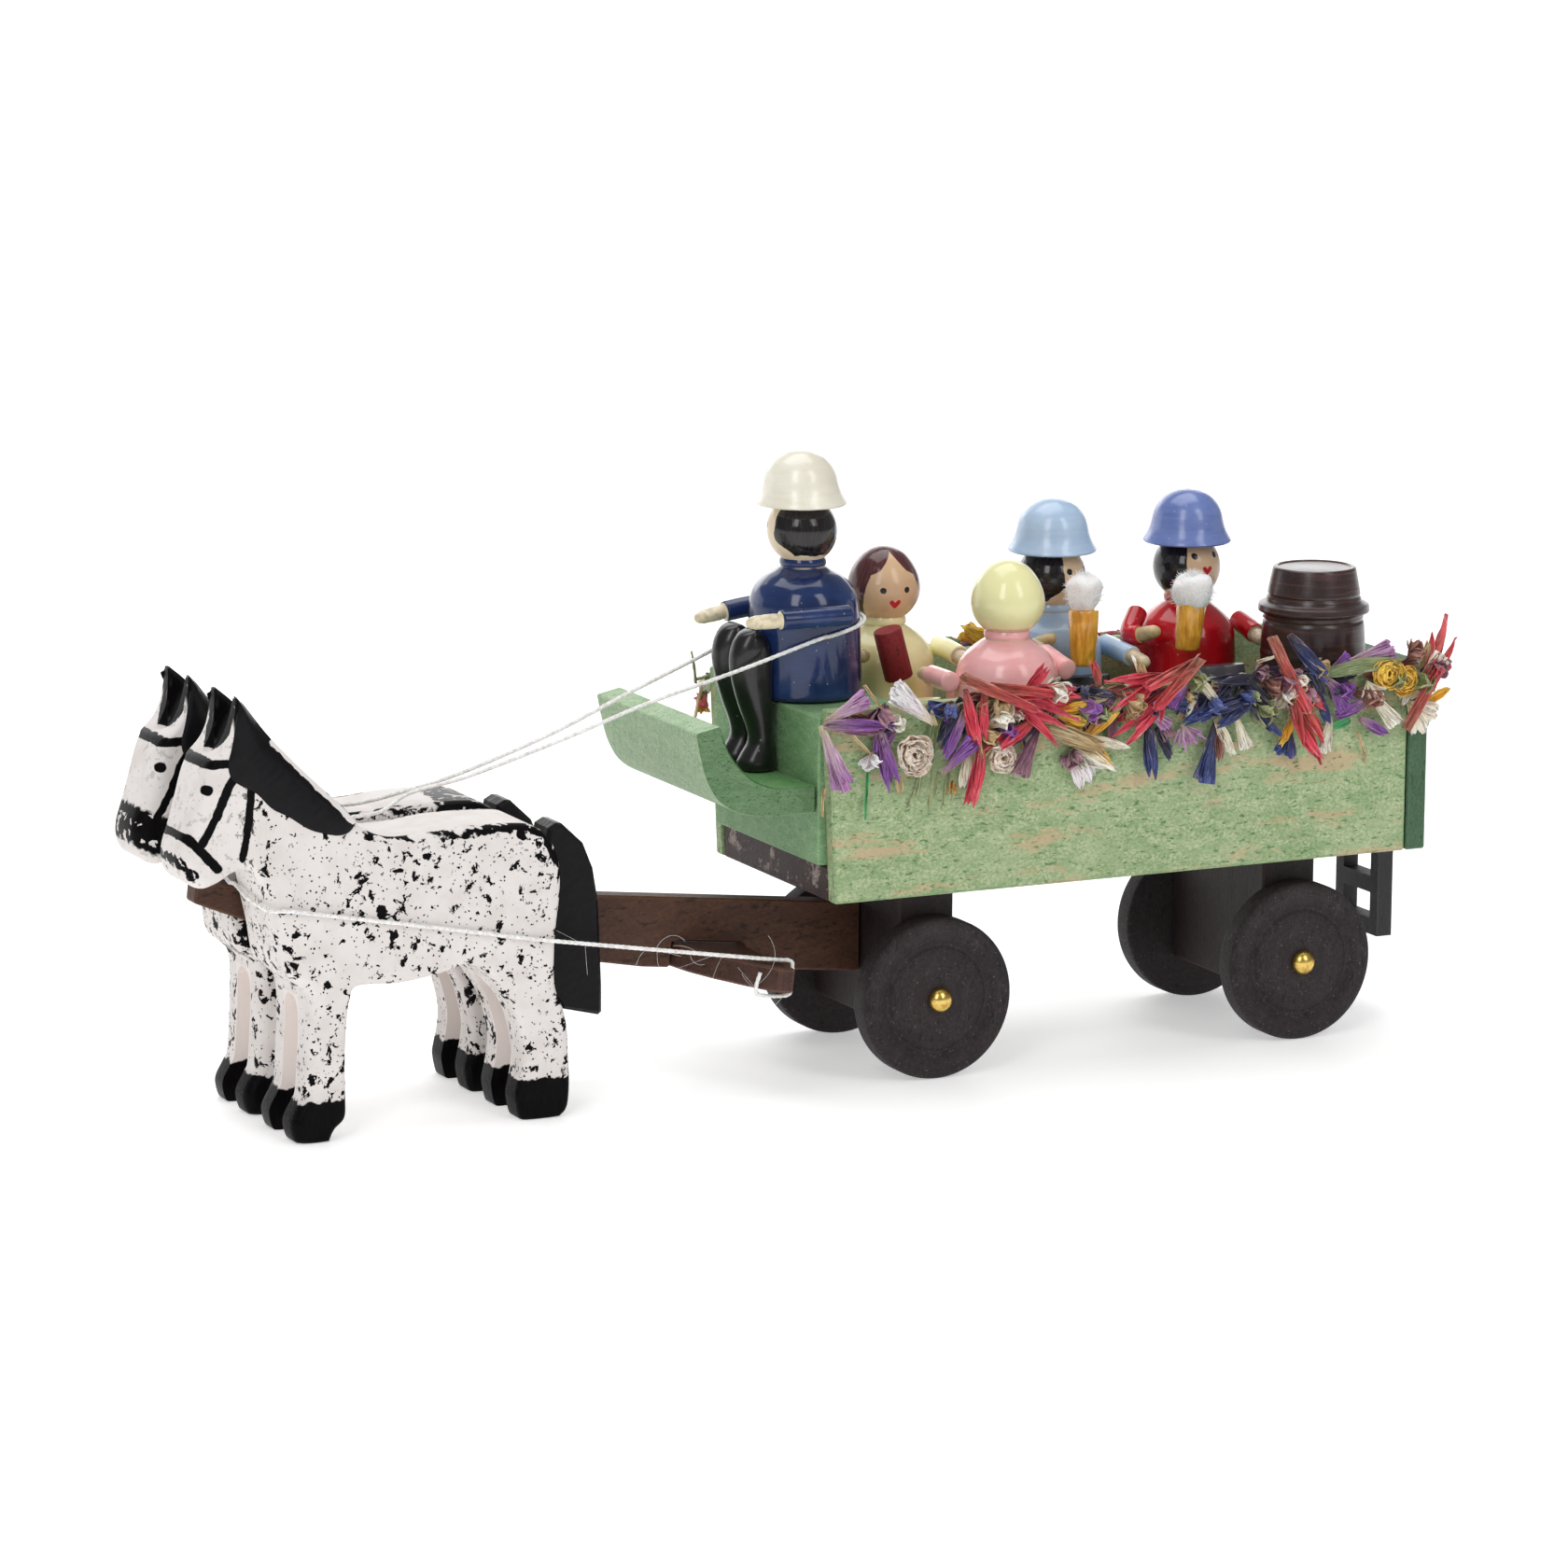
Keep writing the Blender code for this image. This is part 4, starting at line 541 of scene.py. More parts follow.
# Painted shade: the foot board's end faces, and the faces of its bend that look back or up low down, are multiplied
# darker.
outward = add_node(tree, "SeparateXYZ", {0: add_node(tree, "TexCoord").outputs["Normal"]})
ends = between(tree, sums(tree, "ABSOLUTE", outward.outputs[1]), 0.5, 0.7)
height = add_node(tree, "SeparateXYZ", {0: from_point(tree)}).outputs[2]
hollow = larger(tree, between(tree, outward.outputs[0], 0.1, 0.3), between(tree, outward.outputs[2], 0.6, 0.8))
hollow = times(tree, hollow, sums(tree, "LESS_THAN", height, float(foot_low[2] + 7.2) / 1000))
plain = shader.inputs["Base Color"].links[0].from_socket
deeper = blended(tree, times(tree, ends, 0.95), plain, ink(146, 168, 146), way="MULTIPLY")
deeper = blended(tree, times(tree, hollow, 0.95), deeper, ink(152, 196, 152), way="MULTIPLY")
cover(tree, shader, deeper)
foot.data.materials.append(finish)
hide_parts("foot_board")
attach(foot, "wagon")
dress("floor_board", stained_board("floor_stain", ink(72, 50, 48), ink(44, 28, 30), ink(186, 168, 160), ink(24, 14, 16),
                                   0.50, 0.6, scale=1.2, edge=ink(120, 92, 80), edge_share=0.5))


# Axle blocks, draw pole and crossbar: sawn beech, stained dark brown and glued under the box and to the pole.
# The pole's stain is thinner and redder, and wears through to tan along its lower edge.
for name, shift in (("front_axle_block", 0.0), ("rear_axle_block", 0.03565)):
    dress(name, stained_board(name + "_stain", ink(50, 38, 38), ink(32, 23, 25), ink(70, 54, 50), ink(18, 12, 13), 0.10,
                              0.5, scale=0.9, turn=(0, math.pi / 2, 0), centre=(shift, 0, 0), edge=ink(86, 62, 54)))
dress("draw_pole", stained_board("pole_stain", ink(88, 58, 42), ink(60, 37, 27), ink(124, 90, 64), ink(38, 22, 16),
                                 0.16, 0.55, scale=0.8, turn=(0, pole_rise, 0), edge=ink(134, 86, 58)))
dress("crossbar", stained_board("crossbar_stain", ink(84, 54, 45), ink(58, 35, 29), ink(122, 86, 70), ink(34, 20, 17),
                                0.12, 0.5, scale=0.9, turn=(0, 0, math.pi / 2), edge=ink(150, 104, 80), edge_share=0.7))
dress("ladder", stained_board("ladder_stain", ink(44, 42, 44), ink(26, 25, 27), ink(70, 64, 62), ink(12, 12, 13),
                              0.05, 0.4, turn=(0, math.pi / 2, 0), edge=ink(84, 80, 80), edge_share=0.5, gloss=0.5))


# Wheels: beech discs turned on a lathe, with a groove round the hub, stained charcoal.
# Each turns on a domed brass pin driven into the axle block; the kingpin is a pin of the same kind.
def turned(name, profile, centre, axis=2, columns=96, sharp=35, bored=False, lean=0.0):
    """A turned piece: the profile's (radius, height) pairs spun round an axis; lean shifts it in -X with height.

    Point (i, j) is the centre + radius_i (cos a_j, sin a_j) + height_i along the axis. All in metres.
    """
    profile = np.asarray(profile, dtype=float)
    if bored:
        profile = np.vstack([profile, profile[:1]])
    a = around(columns)
    grid = np.zeros((len(profile), columns, 3))
    first, second = [(1, 2), (0, 2), (0, 1)][axis]
    grid[..., first] = profile[:, :1] * np.cos(a)
    grid[..., second] = profile[:, :1] * np.sin(a)
    grid[..., axis] = profile[:, 1:]
    grid[..., 0] -= lean * grid[..., axis] if axis == 2 else 0
    piece = skin(name, grid + np.asarray(centre), sharp)
    if not bored:
        return piece
    shell = bmesh.new()
    shell.from_mesh(piece.data)
    caps = [f for f in shell.faces if len(f.verts) > 4]
    bmesh.ops.delete(shell, geom=caps, context="FACES_ONLY")
    bmesh.ops.recalc_face_normals(shell, faces=shell.faces)
    shell.to_mesh(piece.data)
    shell.free()
    piece.data.set_sharp_from_angle(angle=math.radians(sharp))
    return piece


def charcoal(name, centre):
    """Charcoal stain on a turned face: end grain in bands, fine rings from the tool, dust in the pores."""
    finish, tree, shader = new_finish(name, Specular__IOR__Level=0.30)
    place = from_point(tree, centre)
    wood = stained(tree, from_point(tree, centre, turn=(0, math.radians(78), 0)), ink(56, 48, 50), ink(32, 27, 29),
                   ink(84, 73, 71), ink(22, 19, 21), 0.22, 0.45, 0.8)
    flat = vector_step(tree, "MULTIPLY", place, (1, 0, 1))
    out = vector_step(tree, "LENGTH", flat)
    rings = add_node(tree, "TexNoise", {"W": times(tree, out, 9000.0), "Scale": 1.0, "Detail": 2.0},
                     noise_dimensions="1D").outputs["Fac"]
    dust = grey_noise(tree, place, 5200)
    dust = between(tree, dust, 0.66, 0.74)
    colour = blended(tree, times(tree, dust, 0.45), wood["Color"], ink(140, 132, 132))
    colour = blended(tree, times(tree, between(tree, rings, 0.60, 0.80), 0.30), colour, ink(96, 86, 88))
    colour = blended(tree, times(tree, worn(tree, place, 0.00025), 0.35), colour, ink(112, 102, 104))
    height = plus(tree, times(tree, wood["Height"], 1.3), times(tree, rings, 1.2))
    bump = bumped(tree, 0.6, 0.00009, height)
    cover(tree, shader, colour, plus(tree, wood["Roughness"], 0.08), bump)
    return finish


def polished_brass():
    """Brass with fine scratches and a darker film in patches."""
    finish, tree, shader = new_finish("pin_brass", Metallic=1.0)
    place = from_point(tree)
    film = grey_noise(tree, place, 1500, 4)
    scratch = grey_noise(tree, from_point(tree, stretch=(1, 6, 1)), 6000)
    colour = blended(tree, between(tree, film, 0.45, 0.75), ink(232, 198, 110), ink(168, 122, 52))
    bump = bumped(tree, 0.25, 0.00002, scratch)
    cover(tree, shader, colour, plus(tree, 0.16, times(tree, film, 0.22)), bump)
    return finish


pin_brass = polished_brass()
wheel_radius, wheel_base, wheel_out = 7.0, 35.65, 8.2
rim = [(0.59, 0), (2.4, 0.0), (6.70, 0.0), (6.88, 0.05), (6.97, 0.16), (7.0, 0.32), (7.0, 1.90), (6.96, 2.07),
       (6.86, 2.22), (6.70, 2.33), (6.45, 2.385), (6.0, 2.36), (5.6, 2.29), (5.25, 2.17), (4.98, 2.03), (4.80, 1.95),
       (4.66, 1.94), (4.52, 1.99), (4.40, 2.10), (4.24, 2.22), (3.9, 2.31), (3.2, 2.37), (2.2, 2.40), (1.3, 2.40),
       (0.59, 2.40)]
pin = [(0.2, -4.4), (0.5, -3.9), (0.5, 2.49), (1.06, 2.49), (1.10, 2.56), (1.10, 2.66), (1.06, 2.84), (0.96, 3.04),
       (0.80, 3.22), (0.58, 3.36), (0.32, 3.45), (0.08, 3.48)]
for end, x in (("front", 0.0), ("rear", wheel_base)):
    for side, label in ((-1, "left"), (1, "right")):
        centre = spot(x, side * wheel_out, wheel_radius)
        name = "%s_%s" % (end, label)
        wheel = turned("wheel_%s_turned" % name, [(r / 1000, side * h / 1000) for r, h in rim], centre, axis=1,
                       columns=128, sharp=60, bored=True)
        wheel.data.materials.append(charcoal("charcoal_" + name, centre))
        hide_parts("wheel_" + name)
        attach(wheel, "wheel_" + name)
        head = turned("pin_%s" % name, [(r / 1000, side * h / 1000) for r, h in pin], centre, axis=1, columns=48)
        head.data.materials.append(pin_brass)
        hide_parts("nail_" + name)
        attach(head, "front_gear" if end == "front" else "wagon")
dress("kingpin", pin_brass)


# Horses: sawn from 8 mm limewood, edges chamfered with a knife, legs split with a saw, ears parted with a gouge.
# Painted white and flecked with black by brush; mane, halter, eyes and hooves are black enamel.
back_line = [(0.056, 0.672), (0.104, 0.691), (0.249, 0.695), (0.359, 0.687), (0.451, 0.690), (0.527, 0.733),
             (0.627, 0.826), (0.686, 0.886), (0.730, 0.934), (0.770, 0.986), (0.799, 1.0248)]
ear_front = [(0.799, 1.0248), (0.804, 0.985), (0.812, 0.948), (0.827, 0.918), (0.846, 0.898), (0.864, 0.886)]
face_line = [(0.864, 0.886), (0.882, 0.852), (0.900, 0.795), (0.918, 0.737), (0.935, 0.682), (0.932, 0.640),
             (0.912, 0.612), (0.884, 0.602), (0.846, 0.613), (0.812, 0.630), (0.775, 0.637), (0.750, 0.612),
             (0.737, 0.575), (0.716, 0.490), (0.700, 0.405), (0.668, 0.372), (0.646, 0.345), (0.641, 0.280),
             (0.644, 0.198), (0.650, 0.113), (0.660, 0.090), (0.681, 0.048), (0.672, 0.006), (0.655, 0.0)]
sole_front = [(0.655, 0.0), (0.591, 0.0)]
belly_line = [(0.591, 0.0), (0.577, 0.025), (0.551, 0.052), (0.549, 0.107), (0.549, 0.193), (0.544, 0.275),
              (0.536, 0.325), (0.515, 0.352), (0.406, 0.350), (0.305, 0.364), (0.244, 0.378), (0.207, 0.358),
              (0.172, 0.318), (0.134, 0.258), (0.110, 0.172), (0.112, 0.116), (0.120, 0.078), (0.124, 0.050),
              (0.114, 0.006), (0.100, 0.0)]
sole_back = [(0.100, 0.0), (0.014, 0.0)]
rump_line = [(0.014, 0.0), (-0.002, 0.012), (-0.010, 0.034), (-0.013, 0.083), (-0.010, 0.150), (-0.007, 0.205),
             (0.004, 0.255), (0.024, 0.311), (0.024, 0.416), (0.012, 0.520), (0.012, 0.585), (0.028, 0.636),
             (0.056, 0.672)]
runs = [(back_line, 0.80), (ear_front, 0.30), (face_line, 0.95), (sole_front, 0.30), (belly_line, 0.62),
        (sole_back, 0.30), (rump_line, 0.62)]
outline, chamfer = [], []
for run, width in runs:
    piece = smooth_line([side_view(*p) for p in run], 0.22)[:-1]
    outline.append(piece)
    chamfer.append(np.full(len(piece), width))
outline = np.vstack(outline)
chamfer = np.concatenate(chamfer)
for k in range(12):
    chamfer = (np.roll(chamfer, 1) + chamfer * 2 + np.roll(chamfer, -1)) / 4
muzzle = np.clip((-outline[:, 0] - 64.5) / 2.5, 0, 1) * np.clip((outline[:, 1] - 21) / 2, 0, 1)
chamfer += muzzle * 0.55


def half_thick(x, z):
    """Half the board's thickness in millimetres: 4.1 on the body, falling smoothly to 3.1 at the head."""
    neck = np.clip((-x - hoof_back - 0.52 * horse_length) / (0.25 * horse_length), 0, 1)
    high = np.clip((z - 0.52 * horse_height) / (0.16 * horse_height), 0, 1)
    share = neck * high
    return 4.1 - 1.0 * share * share * (3 - 2 * share)


def inset(loop, amount):
    """The loop moved inwards by its own amount at each point, square to its direction there."""
    along = unit(np.roll(loop, -1, axis=0) - np.roll(loop, 1, axis=0))
    area = np.sum(loop[:, 0] * np.roll(loop[:, 1], -1) - np.roll(loop[:, 0], -1) * loop[:, 1])
    inward = np.stack([-along[:, 1], along[:, 0]], axis=1) * np.sign(area)
    return loop + inward * amount[:, None]


def carved_horse(name, centre_y):
    """The outline carried across the board with rounded chamfers, then cut by the saw between legs and ears.

    Ring k lies at a share of the chamfer in from the edge and out from the side, along a quarter of a round.
    """
    rings = []
    for sign in (-1, 1):
        turns = np.radians(np.linspace(0, 90, 6))
        for t in (turns if sign < 0 else turns[::-1]):
            loop = inset(outline, chamfer * (1 - math.sin(t)) * 0.9)
            y = half_thick(loop[:, 0], loop[:, 1]) - chamfer * (1 - math.cos(t)) * 1.1
            rings.append(np.stack([loop[:, 0], centre_y + sign * y, loop[:, 1]], axis=1))
    grid = np.array(rings)
    grid[..., 0] += axle_x
    body = skin(name, grid / 1000, 38)
    shell = bmesh.new()
    shell.from_mesh(body.data)
    carved_points = len(shell.verts)
    for axis, places in ((0, np.arange(-68, -33, 1.6)), (2, np.arange(1, 37, 1.6))):
        for place in places:
            origin = spot(place, 0, 0) if axis == 0 else spot(0, 0, place)
            normal = (1, 0, 0) if axis == 0 else (0, 0, 1)
            sides = [f for f in shell.faces if len(f.verts) > 4 or abs(f.normal.y) > 0.999]
            edges = list({e for f in sides for e in f.edges})
            verts = list({v for f in sides for v in f.verts})
            bmesh.ops.bisect_plane(shell, geom=verts + edges + sides, plane_co=origin, plane_no=normal, dist=1e-7)
    shell.to_mesh(body.data)
    shell.free()
    points = np.empty(len(body.data.vertices) * 3)
    body.data.vertices.foreach_get("co", points)
    points = points.reshape(-1, 3) * 1000
    off = points[:, 1] - centre_y
    full = half_thick(points[:, 0] - axle_x, points[:, 2])
    added = np.arange(len(points)) >= carved_points
    points[:, 1] = centre_y + np.where(added, np.sign(off) * full, off)
    body.data.vertices.foreach_set("co", (points / 1000).ravel())
    body.data.update()
    cutters = []
    a = np.radians(np.linspace(0, 180, 9))
    arch = [(-1.5, -1.0)] + [(-1.5 * math.cos(t), 10.4 + 1.5 * math.sin(t)) for t in a] + [(1.5, -1.0)]
    grid = [[spot(x, centre_y + y, z) for y, z in arch] for x in (-70, -32)]
    cutters.append(skin("leg_saw", grid))
    cutters.append(ear_gouge(centre_y))
    cut_away(body, cutters)
    return body


def hollow_foot(x):
    """The height of the ears' hollow in millimetres: level at the forehead, then scooped up to the crest behind."""
    share = np.clip((x + 64.0) / 2.7, 0, 1)
    return 32.55 + 3.95 * share**2 * (3 - 2 * share)


def ear_gouge(centre_y):
    """A gouge's cut between the ears: at height h above its foot the half width is 0.25 + 1.10 times the root of h."""
    x = np.linspace(-68.5, -60.2, 40)
    share = np.linspace(0, 1, 16) ** 1.5
    foot = hollow_foot(x)[:, None]
    height = foot + (38.6 - foot) * share[None, :]
    width = 0.25 + 1.10 * (height - foot) ** 0.5
    ring_y = np.concatenate([-width[:, ::-1], width], axis=1) + centre_y
    ring_z = np.concatenate([height[:, ::-1], height], axis=1)
    ring_x = np.broadcast_to(x[:, None], ring_y.shape) + axle_x
    return skin("ear_gouge", np.stack([ring_x, ring_y, ring_z], axis=-1) / 1000)


def cut_away(body, cutters):
    """Take the cutters' shapes out of a piece, once and for good."""
    for cutter in cutters:
        saw = body.modifiers.new(cutter.name, "BOOLEAN")
        saw.operation = "DIFFERENCE"
        saw.solver = "EXACT"
        saw.object = cutter
    bpy.context.view_layer.update()
    cut = bpy.data.meshes.new_from_object(body.evaluated_get(bpy.context.evaluated_depsgraph_get()))
    body.modifiers.clear()
    body.data = cut
    for cutter in cutters:
        bpy.data.objects.remove(cutter, do_unlink=True)
    cut.shade_smooth()
    cut.set_sharp_from_angle(angle=math.radians(38))


def stroke_effect():
    """A brush stroke: 1 within the half width of a straight line in the side view, its edge shaken by noise."""
    group, given, out = new_effect("brush_stroke", [("Vector", "Vector", None), ("From", "Vector", (0, 0, 0)),
                                                    ("To", "Vector", (0, 0, 0)), ("Half Width", "Float", 0.0004),
                                                    ("Shake", "Float", 0.0002)], [("Mask", "Float")])
    noise = add_node(group, "TexNoise", {"Vector": given["Vector"], "Scale": 1300.0, "Detail": 3.0}).outputs["Color"]
    shake = vector_step(group, "SUBTRACT", noise, (0.5, 0.5, 0.5))
    shake = add_node(group, "VectorMath", {0: shake, "Scale": given["Shake"]}, operation="SCALE").outputs[0]
    place = vector_step(group, "ADD", given["Vector"], shake)
    place = vector_step(group, "MULTIPLY", place, (1, 0, 1))
    from_start = vector_step(group, "SUBTRACT", place, given["From"])
    line = vector_step(group, "SUBTRACT", given["To"], given["From"])
    top = vector_step(group, "DOT_PRODUCT", from_start, line)
    bottom = vector_step(group, "DOT_PRODUCT", line, line)
    share = add_node(group, "Math", {0: top, 1: plus(group, bottom, 1e-12)}, operation="DIVIDE", use_clamp=True)
    foot = add_node(group, "VectorMath", {0: line, "Scale": share.outputs[0]}, operation="SCALE").outputs[0]
    off = vector_step(group, "SUBTRACT", from_start, foot)
    off = vector_step(group, "LENGTH", off)
    edge = sums(group, "DIVIDE", off, given["Half Width"])
    group.links.new(rest(group, between(group, edge, 0.88, 1.06)), out["Mask"])
    return group


def fleck_effect():
    """Brush flecks: ragged islands where a fine noise, lifted by a broad one, passes a limit."""
    group, given, out = new_effect("flecks", [("Vector", "Vector", None), ("Share", "Float", 0.5)], [("Mask", "Float")])
    fine = grey_noise(group, given["Vector"], 1050, 5, 0.62, 0.45)
    broad = grey_noise(group, given["Vector"], 190)
    bent = add_node(group, "TexNoise", {"Vector": given["Vector"], "Scale": 5200.0, "Detail": 2.0}).outputs["Color"]
    bent = add_node(group, "VectorMath", {0: bent, "Scale": 0.00022}, operation="SCALE").outputs[0]
    bent = vector_step(group, "ADD", given["Vector"], bent)
    small = add_node(group, "TexVoronoi", {"Vector": bent, "Scale": 2200.0, "Randomness": 1.0})
    dot = rest(group, between(group, small.outputs["Distance"], 0.15, 0.21))
    keep = add_node(group, "SeparateColor", {0: small.outputs["Color"]}).outputs[0]
    dot = times(group, dot, sums(group, "GREATER_THAN", keep, 0.15))
    lift = times(group, minus(group, broad, 0.5), 0.30)
    edge = minus(group, 0.650, times(group, given["Share"], 0.08))
    island = between(group, minus(group, plus(group, fine, lift), edge), 0.0, 0.015)
    group.links.new(larger(group, island, dot), out["Mask"])
    return group


brush_stroke = stroke_effect()
flecks = fleck_effect()


def stroked(tree, place, start, end, width, shake):
    """The mask of one brush stroke between two points of the side view, all in millimetres."""
    given = {"Vector": place, "From": spot(start[0], 0, start[1]), "To": spot(end[0], 0, end[1]),
             "Half Width": width / 1000, "Shake": shake / 1000}
    return add_node(tree, "Group", given, node_tree=brush_stroke).outputs["Mask"]


def horse_paint(name, centre_y, strokes, patches):
    """White enamel over pale wood, black flecks, and black strokes and patches given in the side view."""
    finish, tree, shader = new_finish(name, Specular__IOR__Level=0.04)
    place = from_point(tree)
    x, y, z = (add_node(tree, "SeparateXYZ", {0: from_point(tree, (0, centre_y / 1000, 0))}).outputs[k]
               for k in range(3))
    cloud = grey_noise(tree, place, 420, 4)
    brush = grey_noise(tree, from_point(tree, stretch=(1, 1, 0.25)), 3200, 3)
    white = blended(tree, between(tree, cloud, 0.35, 0.75), ink(231, 226, 223), ink(221, 214, 210))
    thin = between(tree, plus(tree, brush, times(tree, cloud, 0.4)), 0.86, 1.02)
    white = blended(tree, times(tree, thin, 0.35), white, ink(214, 190, 172))
    inside = times(tree, sums(tree, "LESS_THAN", sums(tree, "ABSOLUTE", y), 0.00165),
                   sums(tree, "LESS_THAN", z, 0.0120))
    white = blended(tree, times(tree, inside, 0.85), white, ink(240, 230, 225))
    spots = add_node(tree, "Group", {"Vector": place, "Share": 0.84}, node_tree=flecks).outputs["Mask"]
    head = between(tree, x, (axle_x - 60.5) / 1000, (axle_x - 64.5) / 1000)
    spots = times(tree, spots, rest(tree, times(tree, head, 0.75)))
    spots = times(tree, spots, rest(tree, inside))
    facing_up = add_node(tree, "SeparateXYZ", {0: add_node(tree, "TexCoord").outputs["Normal"]}).outputs[2]
    upward = between(tree, facing_up, 0.55, 0.75)
    spots = times(tree, spots, rest(tree, upward))
    island = grey_noise(tree, place, 1150, 4, bend=0.4)
    black = None
    for stroke in strokes:
        mask = stroked(tree, place, *stroke)
        black = mask if black is None else larger(tree, black, mask)
    for patch in patches:
        mask = stroked(tree, place, *patch)
        gap = larger(tree, rest(tree, between(tree, island, 0.565, 0.58)), upward)
        black = larger(tree, black, times(tree, mask, gap))
    hoof_edge = grey_noise(tree, place, 900)
    hoof = plus(tree, z, times(tree, minus(tree, hoof_edge, 0.5), 0.0010))
    hoof = rest(tree, between(tree, hoof, 0.00335, 0.00350))
    black = larger(tree, black, hoof)
    hollow_floor = 0.03275
    deep = sums(tree, "POWER", larger(tree, minus(tree, z, hollow_floor), 0.0), 0.5)
    wide = sums(tree, "MINIMUM", sums(tree, "MULTIPLY_ADD", deep, 0.0553, 0.00040), 0.00252)
    within = sums(tree, "MULTIPLY_ADD", minus(tree, brush, 0.5), 0.0006, sums(tree, "ABSOLUTE", y))
    hollow = times(tree, sums(tree, "LESS_THAN", within, wide), sums(tree, "GREATER_THAN", z, hollow_floor))
    black = larger(tree, black, hollow)
    ear = times(tree, between(tree, z, 0.0335, 0.0339),
                between(tree, x, (axle_x - 63.05) / 1000, (axle_x - 62.9) / 1000))
    black = larger(tree, black, ear)
    broken = larger(tree, between(tree, cloud, 0.48, 0.52),
                    between(tree, x, (axle_x - 41.5) / 1000, (axle_x - 40.5) / 1000))
    at_edge = times(tree, broken, between(tree, sums(tree, "ABSOLUTE", y), 0.0030, 0.0032))
    for start, end in zip(crest_line, crest_line[1:]):
        rubbed = stroked(tree, place, start, end, 0.32, 1.1)
        spots = larger(tree, spots, times(tree, rubbed, at_edge))
    paint = blended(tree, spots, white, ink(16, 14, 16))
    enamel = blended(tree, brush, ink(6, 6, 7), ink(22, 20, 22))
    colour = blended(tree, black, paint, enamel)
    height = plus(tree, times(tree, brush, 0.5), times(tree, black, 1.2))
    height = plus(tree, height, times(tree, spots, 0.5))
    bump = bumped(tree, 0.6, 0.00007, height)
    gloss = minus(tree, 0.52, times(tree, black, 0.22))
    cover(tree, shader, colour, gloss, bump)
    return finish


def mane(name, centre_y, finish):
    """The mane: a thick coat of enamel over the crest, from the ear to the withers, its lower edge scalloped.

    Across the neck the coat follows the side, a little proud, from one lower edge over the crest to the other.
    """
    crest = smooth_line([side_view(*p) for p in back_line[:4:-1]], 0.2) + [0.12, 0.17]
    low = smooth_line([(-62.62, 36.7), (-62.86, 35.3), (-63.05, 34.2), (-63.30, 33.0), (-63.55, 31.9), (-63.3, 30.9),
                       (-62.3, 30.1), (-61.0, 29.2), (-59.5, 27.9), (-57.6, 26.7), (-56.0, 25.9), (-54.6, 25.55),
                       (-53.5, 25.8), (-52.9, 26.5)], 0.2)
    u = np.linspace(0, 1, 120)
    crest, low = (np.stack([np.interp(u, np.linspace(0, 1, len(line)), line[:, k]) for k in range(2)], axis=1)
                  for line in (crest, low))
    low[:, 1] += 0.10 * np.sin(u * 31) * np.sin(np.pi * u)
    out = crest - low
    out /= np.linalg.norm(out, axis=1)[:, None] + 1e-9
    v = np.linspace(0, 1, 14)
    swell = 0.05 + 0.24 * np.sqrt(np.clip(np.sin(np.pi * np.clip(v * 1.15, 0, 1)), 0, 1))
    ends = np.clip(np.minimum(u, 1 - u) * 14, 0, 1)[:, None]
    place = low[:, None, :] * (1 - v[None, :, None]) + crest[:, None, :] * v[None, :, None]
    thick = half_thick(place[..., 0], place[..., 1]) + swell[None, :] * ends
    near_top = np.clip((v - 0.72) / 0.28, 0, 1)[None, :]
    thick -= near_top**2 * 0.75
    place = place + out[:, None, :] * (near_top * 0.16 * ends)[..., None]
    inner = place - out[:, None, :] * 0.9
    left = np.stack([place[..., 0], centre_y - thick, place[..., 1]], axis=-1)
    right_side = np.stack([place[:, ::-1, 0], centre_y + thick[:, ::-1], place[:, ::-1, 1]], axis=-1)
    shut = np.stack([inner[:, 3, 0], np.full(len(u), centre_y), inner[:, 3, 1]], axis=-1)[:, None, :]
    grid = np.concatenate([left, right_side, shut], axis=1)
    grid[..., 0] += axle_x
    piece = skin(name, grid / 1000, 70)
    cut_away(piece, [ear_gouge(centre_y)])
    piece.data.materials.clear()
    piece.data.materials.append(finish)
    return piece


def black_enamel(name, gloss=0.22):
    """Thick black enamel with brush ridges that follow the hair; a strip of white is left bare along the neck's top."""
    finish, tree, shader = new_finish(name, Specular__IOR__Level=0.14)
    comb = grey_noise(tree, from_point(tree, turn=(0, math.radians(40), 0), stretch=(0.3, 1, 1)), 2400, 3)
    broad = grey_noise(tree, from_point(tree), 700)
    bump = bumped(tree, 0.6, 0.00008, plus(tree, comb, broad))
    black = blended(tree, comb, ink(8, 7, 9), ink(24, 22, 25))
    along, high = np.array([side_view(*p) for p in back_line[::-1]]).T
    ends = [(x, float(np.interp(x, along, high)) + out) for x, out in ((-59.6, 0.30), (-53.2, -0.10))]
    top = stroked(tree, from_point(tree), *ends, 0.26, 0.5)
    cover(tree, shader, blended(tree, top, black, ink(228, 223, 220)), plus(tree, gloss, times(tree, broad, 0.25)),
          bump)
    return finish


hair_enamel = black_enamel("hair_enamel")
crest_line = [(-52.2, 25.4), (-47.0, 24.7), (-38.2, 24.95), (-36.2, 24.1), (-35.1, 21.8)]
halter = [((-70.0, 31.85), (-63.2, 32.05), 0.38, 0.28), ((-62.9, 31.0), (-63.5, 30.2), 0.40, 0.3),
          ((-63.5, 30.2), (-64.6, 27.7), 0.40, 0.3), ((-64.6, 27.7), (-65.9, 25.5), 0.36, 0.3),
          ((-68.6, 26.7), (-66.9, 26.0), 0.36, 0.3), ((-66.9, 26.0), (-64.6, 23.5), 0.42, 0.3),
          ((-61.5, 30.3), (-61.95, 26.3), 0.36, 0.35), ((-61.95, 26.3), (-62.4, 24.1), 0.32, 0.35),
          ((-65.32, 29.95), (-65.28, 29.95), 0.44, 0.25)]
near_patches = [((-67.6, 24.2), (-66.6, 23.0), 0.35, 1.2)]
